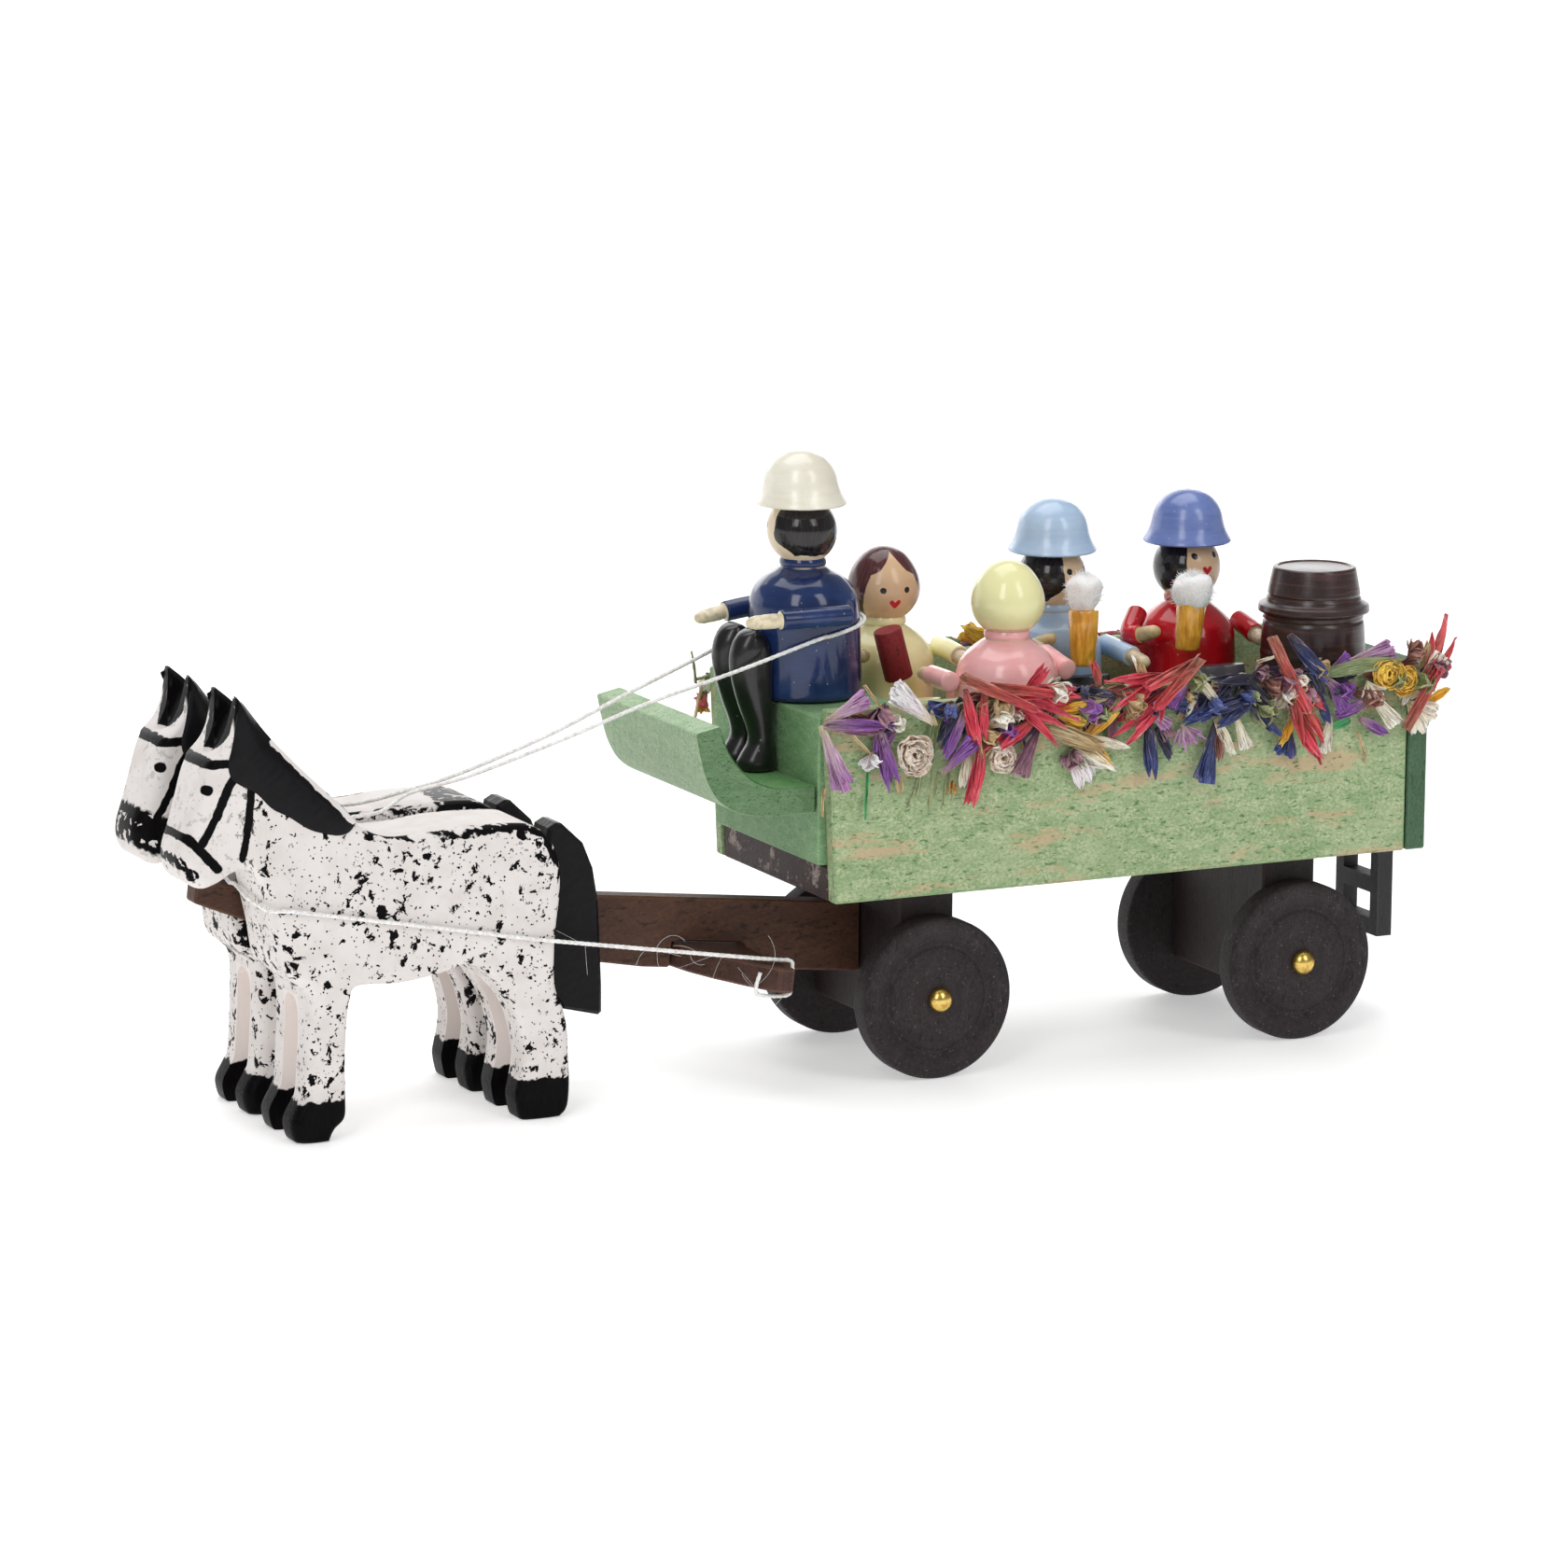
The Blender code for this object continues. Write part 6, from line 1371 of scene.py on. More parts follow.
fibre_thick, petal_thick = 0.00002, 0.00004
hair_shape = np.linspace(1, 0.4, 7)
froth_flock = flock()
fuzz = np.random.default_rng(11)
for name, sideways, high, tall, wide, tip, sunk in (("blue_man", -0.06, 0.615, 1.2, 0.90, 0.0, 0.1),
                                                   ("red_man", -0.62, 0.67, 1.15, 1.06, 0.09, 1.25)):
    foot = np.array(beside(name, sideways, 1.17, high))
    profile = [(0.90, 0.0), (1.02, 0.07), (1.07, 0.25), (1.16, 1.4), (1.27, 3.2), (1.32, 4.75), (1.24, 4.9), (0.6, 5.0)]
    glass = turned(name + "_glass", np.array(profile) / 1000, spot(*foot), columns=48, sharp=50, lean=-tip)
    glass.data.materials.append(amber(name + "_amber"))
    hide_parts(name + "_beer")
    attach(glass, "wagon")
    froth, swell = 2.7 * tall, 1.8 * wide
    middle_high = 4.9 + froth * 0.45 - sunk
    u, v = np.meshgrid(np.linspace(0.04, np.pi - 0.04, 40), around(64), indexing="ij")
    way = np.stack([np.sin(u) * np.cos(v), np.sin(u) * np.sin(v), np.cos(u)], axis=-1)
    lumps = np.zeros(u.shape)
    for k in range(14):
        wave = fuzz.normal(size=3)
        wave *= fuzz.uniform(3, 9) / np.linalg.norm(wave)
        lumps += np.sin(way @ wave + fuzz.uniform(0, 6.28)) / 14**0.5
    squared = (np.hypot(way[..., 0], way[..., 1]) ** 3 + np.abs(way[..., 2]) ** 3) ** (-1 / 3)
    flare = np.stack([1.0 + 0.17 * way[..., 2]] * 2 + [np.ones(u.shape)], axis=-1)
    ball = way * (squared * (0.90 + 0.055 * lumps))[..., None] * flare * [swell, swell, froth * 0.56]
    ball[..., 2] = np.maximum(ball[..., 2], -froth * 0.42)
    ball[..., 0] += tip * middle_high
    lump = skin(name + "_froth_lump", (ball + foot + [axle_x, 0, middle_high]) / 1000)
    root = way.reshape(-1, 3)[fuzz.choice(way.reshape(-1, 3).shape[0], 1100, replace=False)]
    root = root[root[:, 2] > -0.45]
    start = root * 0.8 * [swell, swell, froth * 0.56] + foot + [axle_x + tip * middle_high, 0, middle_high]
    lean_out = root + fuzz.normal(size=root.shape) * 0.6 + [0, 0, 0.3]
    many = len(root)
    points = straps(start, lean_out, fuzz.normal(size=root.shape), fuzz.uniform(0.35, 0.90, many), 0.020,
                    fuzz.uniform(-2.2, 2.2, many), 0, fuzz.uniform(-0.4, 0.4, many), 0, 0, hair_shape, 7, 2)
    fibres = thin_strips(name + "_froth_fibres", points, fibre_thick)
    for piece in (lump, fibres):
        piece.data.materials.append(froth_flock)
        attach(piece, "wagon")


# Barrel: turned from one block, with hoops and fine beads left standing, stained dark and varnished.
# It stands on the bench at the tail board; its flat head catches the light.
tall, belly, hoop_out, inner_wall = 15.2, 4.6, 0.6, 10.15
barrel_x, barrel_y = 39.5, -(inner_wall - glue - belly - hoop_out)


def stave(height):
    """The stave curve's radius: fullest at the middle, narrowest at the heads."""
    return belly - np.abs(height / (tall / 2) - 1) ** 1.7


heights = np.linspace(0.12, tall - 0.12, 150)
radii = stave(heights)
for hoop in (tall / 2 - 4.0, tall / 2 + 4.0):
    radii += hoop_out * np.exp(-(np.clip(np.abs(heights - hoop) - 0.28, 0, None) / 0.16) ** 2)
    for bead in (-1.05, 1.05):
        radii -= 0.10 * np.exp(-((heights - hoop - bead) / 0.12) ** 2)
radii += 0.05 * np.exp(-((heights - tall / 2) / 0.25) ** 2)
profile = [(0.5, 0.0), (3.4, 0.0), (3.56, 0.05)] + list(zip(radii, heights))
profile += [(3.52, tall - 0.03), (3.40, tall), (3.22, tall), (3.16, tall - 0.10), (3.08, tall - 0.12),
            (0.4, tall - 0.12)]
barrel = turned("barrel_turned", np.array(profile) / 1000, spot(barrel_x, barrel_y, rider_base), columns=112, sharp=40)
finish, tree, shader = new_finish("barrel_varnish", Coat__Weight=0.35, Coat__Roughness=0.18)
place = from_point(tree, spot(barrel_x, barrel_y, rider_base))
fine = grey_noise(tree, squeezed(tree, place, (0.05, 0.05, 1)), 3600, 3)
wood = stained(tree, from_point(tree, turn=(0, math.pi / 2, 0)), ink(54, 32, 31), ink(37, 20, 21), ink(84, 52, 46),
               ink(28, 16, 19), 0.05, 0.35, 0.9)
mixed = blended(tree, times(tree, between(tree, fine, 0.52, 0.74), 0.35), wood["Color"], ink(116, 72, 64))
mixed = blended(tree, times(tree, worn(tree, place), 0.25), mixed, ink(140, 98, 90))
bump = bumped(tree, 0.35, 0.00008, fine)
cover(tree, shader, mixed, sums(tree, "MULTIPLY_ADD", fine, 0.25, 0.20), bump)
barrel.data.materials.append(finish)
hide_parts("barrel")
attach(barrel, "wagon")


# Stray cotton fibres stand off the traces where the thread was pulled through the crossbar's wrap.
# They are single hairs, fixed only by the twist.
stray = np.random.default_rng(31)
along_trace = traces_path * 1000
trace_x, trace_y = along_trace[:, 0] - axle_x, along_trace[:, 1]
near_bar = along_trace[(trace_y < -9.0) & (trace_x > -36) & (trace_x < -12)]
root = near_bar[stray.integers(0, len(near_bar), 18)]
count = len(root)
hairs = straps(root, stray.normal(size=(count, 3)) * [1, 0.35, 0.9], stray.normal(size=(count, 3)),
               stray.uniform(1.6, 5.0, count), 0.009, stray.uniform(-2.0, 2.0, count), 0,
               stray.uniform(-0.5, 0.5, count), 0, 0, np.linspace(1, 0.5, 16), 16, 2)
fibres = thin_strips("trace_fibres", hairs, fibre_thick)
fibres.data.materials.append(white_cotton)
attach(fibres, "front_gear")


# Garlands: dried blossoms, buds, petals and straw, glued one over another along each side board's top edge.
# Every blossom is a handful of thin dried petals; they hang down the board's outside and stand over its edge.
petal_rows, petal_columns = 9, 5
board_out, board_top, over_top, first_layer, turned_at = 11.78, 33.05, 10.3, 0.24, 37.0
at_row = np.linspace(0, 1, petal_rows)
petal_shapes = {"lance": np.interp(at_row, [0, 0.12, 0.45, 0.8, 1.0], [0.40, 0.72, 1.0, 0.74, 0.05]),
                "spoon": np.interp(at_row, [0, 0.3, 0.7, 0.92, 1.0], [0.28, 0.55, 1.0, 0.92, 0.45]),
                "flare": np.interp(at_row, [0, 0.3, 0.7, 1.0], [0.22, 0.40, 0.80, 1.15]),
                "stalk": np.interp(at_row, [0, 0.5, 1.0], [1.0, 0.9, 0.6])}
petal_tints = {
    "rose": ((170, 96, 84), (226, 62, 86), (238, 88, 106)),
    "brick": ((176, 112, 90), (204, 96, 86), (226, 74, 88)),
    "lilac": ((214, 198, 164), (208, 172, 196), (186, 132, 190)),
    "violet": ((186, 160, 152), (146, 92, 166), (144, 88, 182)),
    "cream": ((226, 210, 162), (250, 240, 216), (255, 250, 236)),
    "white": ((228, 210, 176), (248, 236, 238), (255, 253, 254)),
    "blue": ((76, 68, 76), (46, 58, 106), (60, 84, 152)),
    "indigo": ((44, 42, 52), (48, 48, 72), (62, 66, 98)),
    "gold": ((232, 176, 76), (254, 190, 44), (255, 212, 84)),
    "straw": ((206, 186, 140), (218, 198, 152), (200, 170, 116)),
    "leaf": ((120, 140, 92), (132, 150, 98), (158, 168, 116)),
    "orange": ((216, 120, 30), (238, 140, 24), (244, 168, 40)),
    "green": ((52, 140, 84), (60, 160, 96), (84, 176, 110)),
    "brown": ((112, 70, 58), (142, 92, 78), (168, 120, 104)),
    "blush": ((244, 204, 160), (252, 232, 208), (252, 236, 220)),
    "plum": ((96, 60, 78), (132, 86, 112), (168, 128, 140)),
}


def blossom(strips, dice, side, kind, base, tip, tint, depth):
    """Add one blossom's petals to the list, from its base to its tip in the side view, in millimetres.

    A petal sets off along cos(fan) times the blossom's way plus sin(fan) across it, and a lift out of the board.
    """
    start = np.array([base[0], side * (board_out + first_layer + depth), base[1]])
    reach = np.array([tip[0] - base[0], 0.0, tip[1] - base[1]])
    size = float(np.linalg.norm(reach))
    way, out = reach / size, np.array([0.0, side, 0.0])
    across = np.cross(way, out)

    def petal(fan, lift, length, width, curl=0.0, cup=0.5, shape="lance", begin=0.0, off=0.0, frill=0.0, bow=0.0,
              spin=0.0, colour=tint, face=out):
        strips.append({"base": start + reach * begin + across * off, "face": face,
                       "along": way * math.cos(fan) + across * math.sin(fan) + out * lift, "length": size * length,
                       "width": width, "curl": curl, "cup": cup, "bow": bow + dice.normal(0, 0.02), "spin": spin,
                       "frill": frill, "shape": petal_shapes[shape], "tint": petal_tints[colour],
                       "light": dice.uniform(0.82, 1.12)})

    def sway(most):
        return dice.uniform(-most, most)

    slim = 0.17 + size * 0.035
    if kind == "lance":
        for k in range(5):
            petal(sway(0.07), dice.uniform(0.02, 0.24), dice.uniform(0.80, 1.0),
                  slim * dice.uniform(0.9, 1.4), dice.uniform(-0.4, 0.3), 1.1, off=sway(0.12),
                  spin=sway(0.8))
    elif kind == "rose":
        for k in range(3):
            petal(sway(0.03), 0.08 + 0.06 * k, 0.60, 0.36 + size * 0.01, 0.1, 1.6, "stalk",
                  spin=sway(0.8), colour="brick")
        for fan in np.linspace(-0.17, 0.17, 4):
            petal(fan + sway(0.06), dice.uniform(-0.02, 0.18), dice.uniform(0.46, 0.70),
                  0.25 + size * 0.015, dice.uniform(-0.7, 0.4), 1.6, "lance", 0.34, frill=0.5, bow=dice.normal(0, 0.07),
                  spin=sway(1.4))
        petal(dice.choice([-0.5, 0.5]), 0.2, 0.26, 0.26, 0.3, 1.3, "lance", 0.42, frill=0.3)
    elif kind == "bell":
        for k, turn in enumerate(np.linspace(0, 2 * np.pi, 9, endpoint=False) + dice.uniform(0, 1)):
            petal(0.12 * math.cos(turn), 0.15 + 0.12 * math.sin(turn), dice.uniform(0.86, 1.0), 0.10 + size * 0.045,
                  -0.35 * math.sin(turn), 0.7, "flare", frill=0.6, off=0.15 * math.cos(turn), spin=0.7 * math.cos(turn))
    elif kind == "bud":
        for turn in np.linspace(0, 2 * np.pi, 8, endpoint=False):
            petal(0.28 * math.cos(turn), 0.35 + 0.25 * math.sin(turn), 1.0, 0.22 + size * 0.17, 1.5 * math.sin(turn),
                  0.9, "spoon", bow=-0.25 * math.cos(turn), spin=0.5 * math.cos(turn))
    elif kind == "fan":
        for fan in np.linspace(-0.55, 0.55, 8):
            petal(fan, dice.uniform(0.05, 0.35), dice.uniform(0.8, 1.0), 0.16 + size * 0.08, sway(0.4),
                  0.5, "spoon", frill=0.3)
    elif kind == "tuft":
        for k in range(20):
            petal(sway(0.75), dice.uniform(0.0, 0.7), dice.uniform(0.6, 1.05), dice.uniform(0.08, 0.19),
                  sway(1.0), 0.6, "spoon", frill=0.6, bow=dice.normal(0, 0.1))
    elif kind == "lily":
        for fan in (-0.42, -0.12, 0.14, 0.40):
            petal(fan, dice.uniform(0.0, 0.25), dice.uniform(0.85, 1.02), 0.42 + size * 0.05, dice.uniform(-0.6, 0.2),
                  0.8, "lance", frill=0.15, spin=sway(0.5))
        for k in range(4):
            petal(sway(0.15), 0.2, dice.uniform(0.4, 0.62), 0.36, 0.1, 1.3, "stalk", colour="leaf")
    elif kind == "straw":
        petal(0.0, dice.uniform(0.0, 0.12), 1.0, 0.13, sway(0.3), 2.2, "stalk", bow=dice.normal(0, 0.05))
    elif kind == "grass":
        for k in range(7):
            petal(sway(0.12), dice.uniform(0.0, 0.15), dice.uniform(0.7, 1.05), 0.06,
                  sway(0.3), 1.0, "stalk", off=sway(0.5), bow=dice.normal(0, 0.05))
    elif kind == "leaf":
        petal(0.0, 0.10, 1.0, 0.34 + size * 0.05, sway(0.4), 0.5, "lance", frill=0.25,
              bow=dice.normal(0, 0.06))
    else:
        for ring, (count, share, lift) in enumerate(((7, 1.0, 0.12), (7, 0.92, 0.45), (6, 0.78, 0.95), (5, 0.60, 1.8))):
            for turn in np.linspace(0, 2 * np.pi, count, endpoint=False) + ring * 0.3:
                petal(turn + sway(0.2), lift + sway(0.12),
                      share * dice.uniform(0.85, 1.05), 0.46 + size * 0.26, dice.uniform(0.4, 1.0), 0.6, "spoon",
                      frill=0.06, spin=sway(0.15))
        for k in range(8):
            petal(dice.uniform(0, 6.28), 1.8, 0.30, 0.10, 0.5, 0.8, "spoon", colour="orange")


near_blossoms = [
    ("lance", 1.0, 33.3, -1.5, 29.6, "indigo", 0.05), ("grass", -1.2, 32.5, -3.6, 23.4, "leaf", 0.10),
    ("grass", 0.6, 29.0, -1.0, 23.8, "leaf", 0.10), ("straw", -7.7, 28.4, -8.2, 23.6, "green", 0.05),
    ("bell", -12.0, 32.3, -8.2, 34.3, "lilac", 0.55), ("lance", -12.2, 32.1, -5.9, 31.9, "violet", 0.70),
    ("lance", -11.6, 31.9, -6.4, 31.2, "plum", 0.5), ("bell", -12.4, 32.0, -10.6, 26.3, "lilac", 0.60),
    ("straw", -11.9, 26.6, -12.3, 24.2, "straw", 0.2), ("straw", -8.4, 35.1, -5.6, 31.4, "straw", 0.5),
    ("bud", -6.3, 32.6, -5.0, 31.1, "cream", 0.5), ("bell", -1.9, 31.4, -6.2, 34.9, "white", 0.70),
    ("straw", -1.7, 31.2, -2.2, 32.6, "straw", 0.7), ("everlasting", -4.0, 28.9, -1.9, 28.9, "blush", 0.35),
    ("lance", -6.9, 31.4, -6.0, 25.8, "violet", 0.35), ("straw", -9.6, 31.2, -7.4, 28.8, "straw", 0.35),
    ("bud", -7.2, 29.3, -8.4, 28.0, "white", 0.3), ("lance", -5.0, 26.9, -4.8, 25.2, "straw", 0.2),
    ("lance", 0.4, 32.5, -0.7, 29.0, "blue", 0.35), ("bell", -1.0, 27.0, 1.7, 29.9, "violet", 0.60),
    ("lance", 1.0, 32.3, -1.2, 28.2, "violet", 0.80), ("straw", -1.2, 27.2, -1.9, 25.0, "leaf", 0.3),
    ("tuft", 0.2, 26.2, 0.0, 25.2, "orange", 0.15), ("lance", 1.6, 28.5, 1.2, 25.4, "cream", 0.25),
    ("lance", 0.9, 34.2, 2.1, 29.0, "rose", 0.95), ("lance", 2.7, 33.9, 2.4, 29.6, "rose", 1.0),
    ("lance", 7.7, 31.2, 2.5, 28.9, "rose", 0.95), ("lance", 2.6, 29.4, 1.2, 23.9, "rose", 0.85),
    ("rose", 0.4, 35.3, 11.4, 30.2, "rose", 1.25), ("rose", 3.2, 34.2, 12.6, 33.0, "rose", 0.95),
    ("lance", 6.6, 33.2, 8.6, 36.0, "rose", 0.8), ("bud", 3.0, 30.7, 5.0, 33.0, "cream", 0.75),
    ("bud", 5.4, 31.4, 6.6, 31.9, "cream", 0.6), ("everlasting", 4.6, 28.0, 5.9, 27.5, "blush", 0.45),
    ("bud", 3.4, 29.6, 4.6, 28.6, "cream", 0.3), ("tuft", 33.4, 33.0, 35.0, 33.4, "indigo", 0.4),
    ("bell", 8.2, 30.2, 5.8, 26.2, "plum", 0.45), ("lance", 8.4, 31.2, 5.6, 28.8, "indigo", 0.35),
    ("lance", 8.0, 30.8, 14.4, 28.2, "straw", 0.70), ("lance", 10.8, 29.4, 15.4, 26.2, "cream", 0.80),
    ("lance", 12.6, 29.2, 16.8, 27.9, "cream", 0.85), ("lance", 8.4, 30.3, 14.2, 27.6, "straw", 0.95),
    ("lance", 12.2, 29.0, 15.6, 31.7, "gold", 0.70), ("lance", 13.0, 28.9, 14.8, 26.6, "gold", 0.8),
    ("fan", 9.6, 31.4, 12.9, 31.6, "gold", 0.30), ("bud", 12.2, 31.9, 12.3, 30.2, "leaf", 0.55),
    ("lily", 11.4, 28.0, 13.9, 25.0, "white", 0.35), ("bud", 12.0, 28.2, 10.8, 26.6, "plum", 0.25),
    ("lance", 14.2, 33.3, 13.4, 35.8, "brick", 0.3), ("lance", 12.0, 33.3, 16.0, 32.2, "indigo", 0.15),
    ("lance", 15.5, 32.9, 19.0, 32.4, "brown", 0.2), ("rose", 23.4, 35.4, 15.2, 28.6, "rose", 1.25),
    ("rose", 23.0, 35.0, 13.9, 32.4, "rose", 1.10), ("lance", 18.6, 33.0, 17.5, 35.8, "straw", 0.3),
    ("straw", 18.2, 33.1, 17.3, 35.9, "cream", 0.35), ("bell", 22.9, 33.4, 20.4, 31.2, "violet", 0.55),
    ("lance", 23.2, 33.6, 25.4, 30.8, "cream", 0.75), ("bell", 18.4, 31.4, 20.6, 29.4, "lilac", 0.55),
    ("tuft", 20.8, 31.0, 22.4, 31.8, "blue", 0.3), ("lance", 27.6, 33.3, 24.6, 31.4, "indigo", 0.55),
    ("lance", 30.2, 33.0, 24.4, 33.2, "indigo", 0.40), ("lance", 29.4, 31.7, 22.4, 30.4, "blue", 0.85),
    ("lance", 29.0, 31.4, 24.8, 29.0, "blue", 0.75), ("lance", 26.0, 31.3, 22.0, 29.6, "blue", 0.70),
    ("bell", 25.4, 29.4, 23.7, 24.2, "blue", 0.45), ("lance", 25.7, 28.8, 25.3, 26.0, "brown", 0.65),
    ("lance", 18.8, 29.8, 18.9, 24.8, "blue", 0.35), ("lance", 19.6, 29.4, 21.2, 26.4, "indigo", 0.50),
    ("bell", 19.6, 30.6, 20.9, 28.3, "plum", 0.35), ("lance", 25.4, 29.8, 27.2, 26.2, "cream", 0.60),
    ("bell", 27.4, 29.8, 28.3, 26.8, "cream", 0.50), ("tuft", 22.2, 29.6, 22.5, 27.2, "lilac", 0.45),
    ("lance", 28.2, 33.0, 31.2, 29.2, "indigo", 0.60), ("lance", 28.6, 30.6, 31.7, 27.8, "blue", 0.65),
    ("lance", 27.6, 31.9, 30.6, 30.8, "plum", 0.35), ("bud", 30.3, 33.0, 31.3, 31.0, "brown", 0.3),
    ("straw", 29.5, 34.4, 31.8, 34.9, "cream", 0.3), ("rose", 30.2, 36.6, 35.4, 25.6, "brick", 1.35),
    ("lance", 31.4, 33.8, 35.4, 29.8, "brick", 1.3), ("lance", 32.4, 29.8, 34.9, 25.6, "rose", 1.35),
    ("lance", 32.3, 36.6, 36.2, 32.2, "blue", 0.85), ("lance", 33.8, 34.9, 35.9, 30.9, "indigo", 0.70),
    ("lance", 34.6, 32.4, 36.4, 28.2, "blue", 0.95), ("lance", 31.6, 33.6, 33.6, 29.6, "indigo", 0.55),
    ("fan", 32.9, 28.0, 31.9, 25.8, "blue", 0.60), ("lance", 32.9, 29.2, 31.5, 26.9, "gold", 0.85),
    ("bell", 36.9, 29.2, 35.8, 25.9, "cream", 0.50), ("leaf", 39.0, 28.6, 37.0, 28.0, "green", 0.25),
    ("bell", 36.8, 33.2, 38.4, 34.5, "violet", 0.55), ("bell", 37.8, 33.6, 42.6, 34.9, "lilac", 0.70),
    ("lance", 36.0, 32.6, 38.6, 30.2, "violet", 0.65), ("bell", 36.4, 32.2, 37.9, 29.6, "violet", 0.75),
    ("lance", 40.4, 30.4, 36.8, 29.0, "violet", 0.80), ("lance", 39.8, 28.7, 42.4, 26.9, "violet", 0.50),
    ("leaf", 35.9, 33.0, 43.2, 34.3, "leaf", 0.95), ("everlasting", 42.0, 32.7, 43.8, 32.7, "gold", 0.75),
    ("everlasting", 43.9, 31.9, 45.4, 31.9, "gold", 0.60), ("bell", 40.4, 31.2, 43.2, 27.9, "cream", 0.60),
    ("tuft", 40.3, 32.0, 41.0, 29.9, "cream", 0.75), ("rose", 43.9, 27.6, 48.5, 37.0, "brick", 1.20),
    ("lance", 44.6, 30.2, 48.2, 33.6, "cream", 0.75), ("bell", 45.2, 31.0, 47.6, 34.2, "cream", 0.65),
    ("lance", 46.2, 29.6, 48.7, 30.8, "gold", 0.70), ("fan", 44.6, 29.8, 47.0, 27.6, "cream", 0.45),
    ("straw", 39.8, 27.4, 40.9, 24.4, "straw", 0.15), ("bud", 44.4, 33.6, 45.4, 35.2, "brown", 0.6),
    ("lance", 45.6, 32.6, 46.6, 35.3, "straw", 0.5),
]
far_blossoms = [
    ("fan", 16.2, 32.6, 13.4, 33.9, "gold", 0.2), ("lance", 17.4, 33.4, 13.6, 34.4, "gold", 0.3),
    ("tuft", 15.0, 33.2, 14.0, 34.0, "orange", 0.4), ("lance", 19.6, 33.0, 16.4, 33.9, "leaf", 0.1),
    ("bud", -10.9, 31.9, -11.5, 30.6, "cream", 0.3), ("lance", -10.9, 32.2, -11.4, 30.2, "leaf", 0.3),
    ("bud", -11.3, 30.6, -11.7, 29.2, "brick", 0.3), ("tuft", -11.4, 29.5, -11.5, 28.6, "gold", 0.3),
    ("straw", -12.3, 31.5, -12.4, 34.3, "leaf", 0.2), ("straw", -11.8, 31.4, -12.2, 25.4, "straw", 0.1),
    ("straw", -10.6, 32.2, -12.3, 31.6, "leaf", 0.3),
]


def dried_petals():
    """Each petal's own colour with veins down its length, pale dry patches and a papery surface."""
    finish, tree, shader = new_finish("dried_petals", Roughness=0.62, Sheen__Weight=0.15, Subsurface__Weight=0.12,
                                      Subsurface__Scale=0.0004)
    tint = add_node(tree, "Attribute", attribute_name="tint").outputs["Color"]
    lie = add_node(tree, "Attribute", attribute_name="lie").outputs["Vector"]
    vein_place = squeezed(tree, lie, (9.0, 0.55, 3.7))
    vein = grey_noise(tree, vein_place, 1, 3, 0.65)
    blot_place = squeezed(tree, lie, (1.6, 0.9, 5.1))
    blot = grey_noise(tree, blot_place, 1, 4, 0.7)
    dark = blended(tree, times(tree, between(tree, vein, 0.52, 0.34), 0.75), tint, ink(120, 98, 100), way="MULTIPLY")
    shade = blended(tree, times(tree, between(tree, vein, 0.56, 0.74), 0.55), dark, ink(238, 218, 212))
    pale = blended(tree, times(tree, between(tree, blot, 0.60, 0.80), 0.5), shade, ink(224, 206, 180))
    bump = bumped(tree, 0.7, 0.00006, vein)
    cover(tree, shader, pale, normal=bump)
    return finish


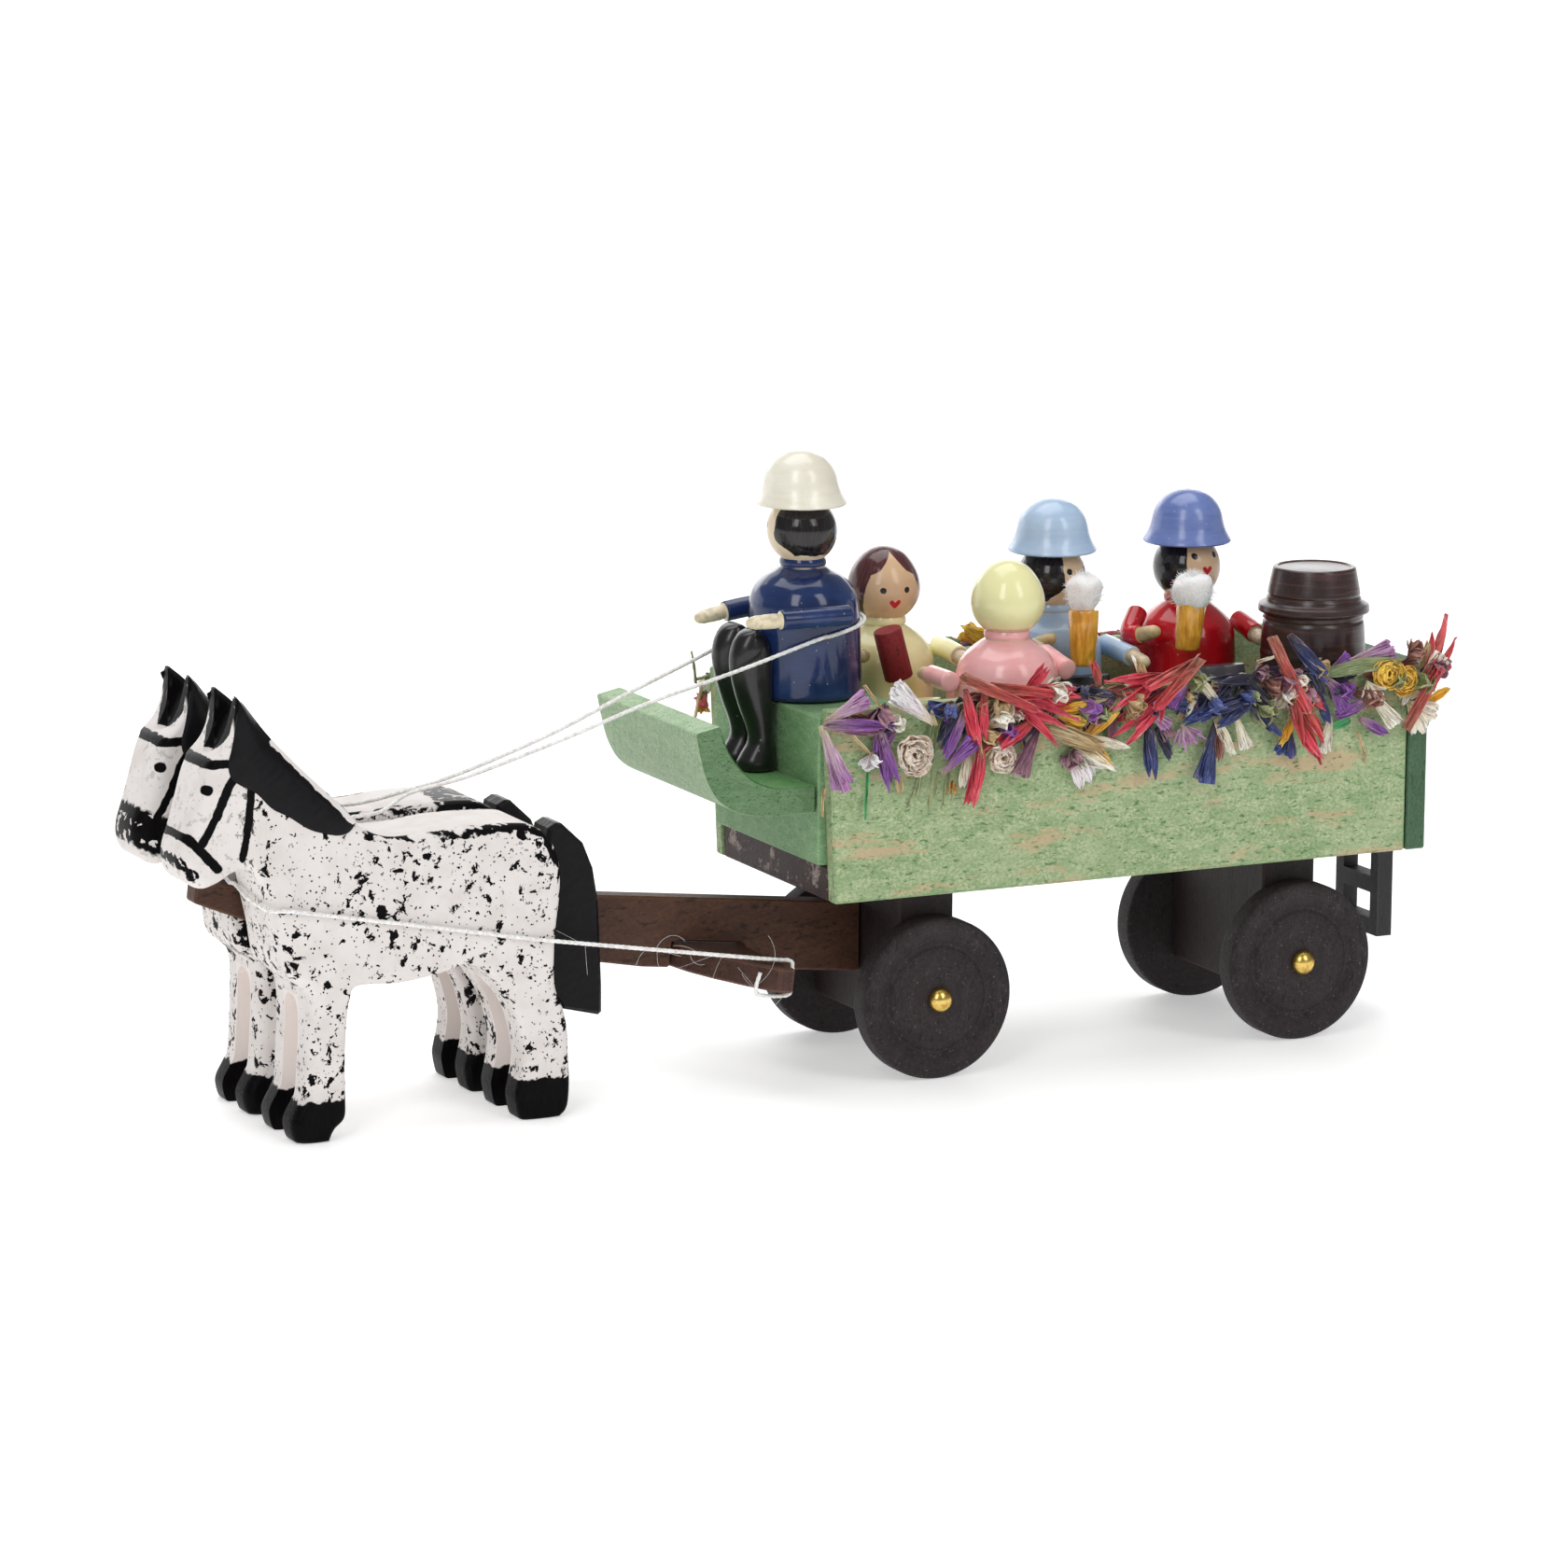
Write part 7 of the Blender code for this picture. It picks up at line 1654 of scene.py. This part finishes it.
papery = dried_petals()
for side, label, layout, fillers, seed in ((-1, "left", near_blossoms, 230, 5), (1, "right", far_blossoms, 130, 9)):
    dice = np.random.default_rng(seed)
    strips = []
    if side > 0:
        for kind, bx, bz, tx, tz, tint, depth in near_blossoms[::-1]:
            bx, tx = turned_at - bx + dice.normal(0, 0.5), turned_at - tx + dice.normal(0, 0.5)
            if min(bx, tx) < -9:
                continue
            high = max(bz, tz) - 33.4
            bz, tz = bz - max(high, 0) - 0.3, tz - max(high, 0) - 0.3
            if kind == "rose":
                kind = "lance" if dice.random() < 0.5 else "rose"
            blossom(strips, dice, side, kind, (bx, bz), (tx, tz),
                    dice.choice(["rose", "lilac", "violet", "blue", "cream", "gold"]) if dice.random() < 0.35 else tint,
                    depth * 0.8)
    for k in range(fillers):
        x = dice.uniform(-10.6, 47.0)
        if side < 0 and x < -1 and dice.random() < 0.75:
            continue
        z = dice.uniform(31.0, 33.3)
        angle = dice.uniform(math.pi * 0.85, math.pi * 2.15)
        size = dice.uniform(1.2, 3.2)
        end = (x + size * math.cos(angle), min(z + size * math.sin(angle), 33.7))
        blossom(strips, dice, side, str(dice.choice(["lance", "leaf", "bud", "straw"], p=[0.4, 0.25, 0.2, 0.15])),
                (x, z), end, str(dice.choice(["indigo", "brown", "leaf", "plum", "cream", "blue", "violet", "straw"])),
                dice.uniform(0, 0.3))
    for entry in layout:
        blossom(strips, dice, side, entry[0], entry[1:3], entry[3:5], entry[5], entry[6])
    given = {key: np.array([strip[key] for strip in strips], dtype=float) for key in strips[0]}
    points = straps(*(given[key] for key in ("base", "along", "face", "length", "width", "curl", "cup", "bow", "spin",
                                             "frill")), given["shape"], petal_rows, petal_columns)
    layer = 0.02 + 0.25 * dice.random(len(strips))[:, None, None]
    off = points[..., 1] * side
    low = np.where(points[..., 2] < board_top, board_out + layer, over_top)
    points[..., 1] = side * np.maximum(off, low)
    points += dice.normal(0, 0.022, points.shape) * [1, 0.4, 1]
    points[..., 0] += axle_x
    s, t = at_row[None, :, None, None], np.linspace(-1, 1, petal_columns)[None, None, :, None]
    tints = np.array([[ink(*c)[:3] for c in strip["tint"]] for strip in strips])[:, :, None, None, :]
    early, late = np.clip(1 - 2.2 * s, 0, 1), np.clip(2.2 * s - 1.2, 0, 1)
    tint = tints[:, 0] * early + tints[:, 1] * (1 - early - late) + tints[:, 2] * late
    tint = tint * given["light"][:, None, None, None] + np.zeros_like(t)
    lie = np.stack(np.broadcast_arrays(t[..., 0] * given["width"][:, None, None],
                                       s[..., 0] * given["length"][:, None, None],
                                       np.arange(len(strips))[:, None, None] * 1.0), axis=-1)
    garland = thin_strips("garland_%s_petals" % label, points, petal_thick)
    mesh = garland.data
    mesh.shade_smooth()
    colours = mesh.attributes.new("tint", "FLOAT_COLOR", "POINT")
    colours.data.foreach_set("color", np.concatenate([tint, np.ones(tint.shape[:3] + (1,))], axis=-1).ravel())
    places = mesh.attributes.new("lie", "FLOAT_VECTOR", "POINT")
    places.data.foreach_set("vector", lie.ravel())
    mesh.materials.append(papery)
    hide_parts("garland_" + label)
    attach(garland, "wagon")
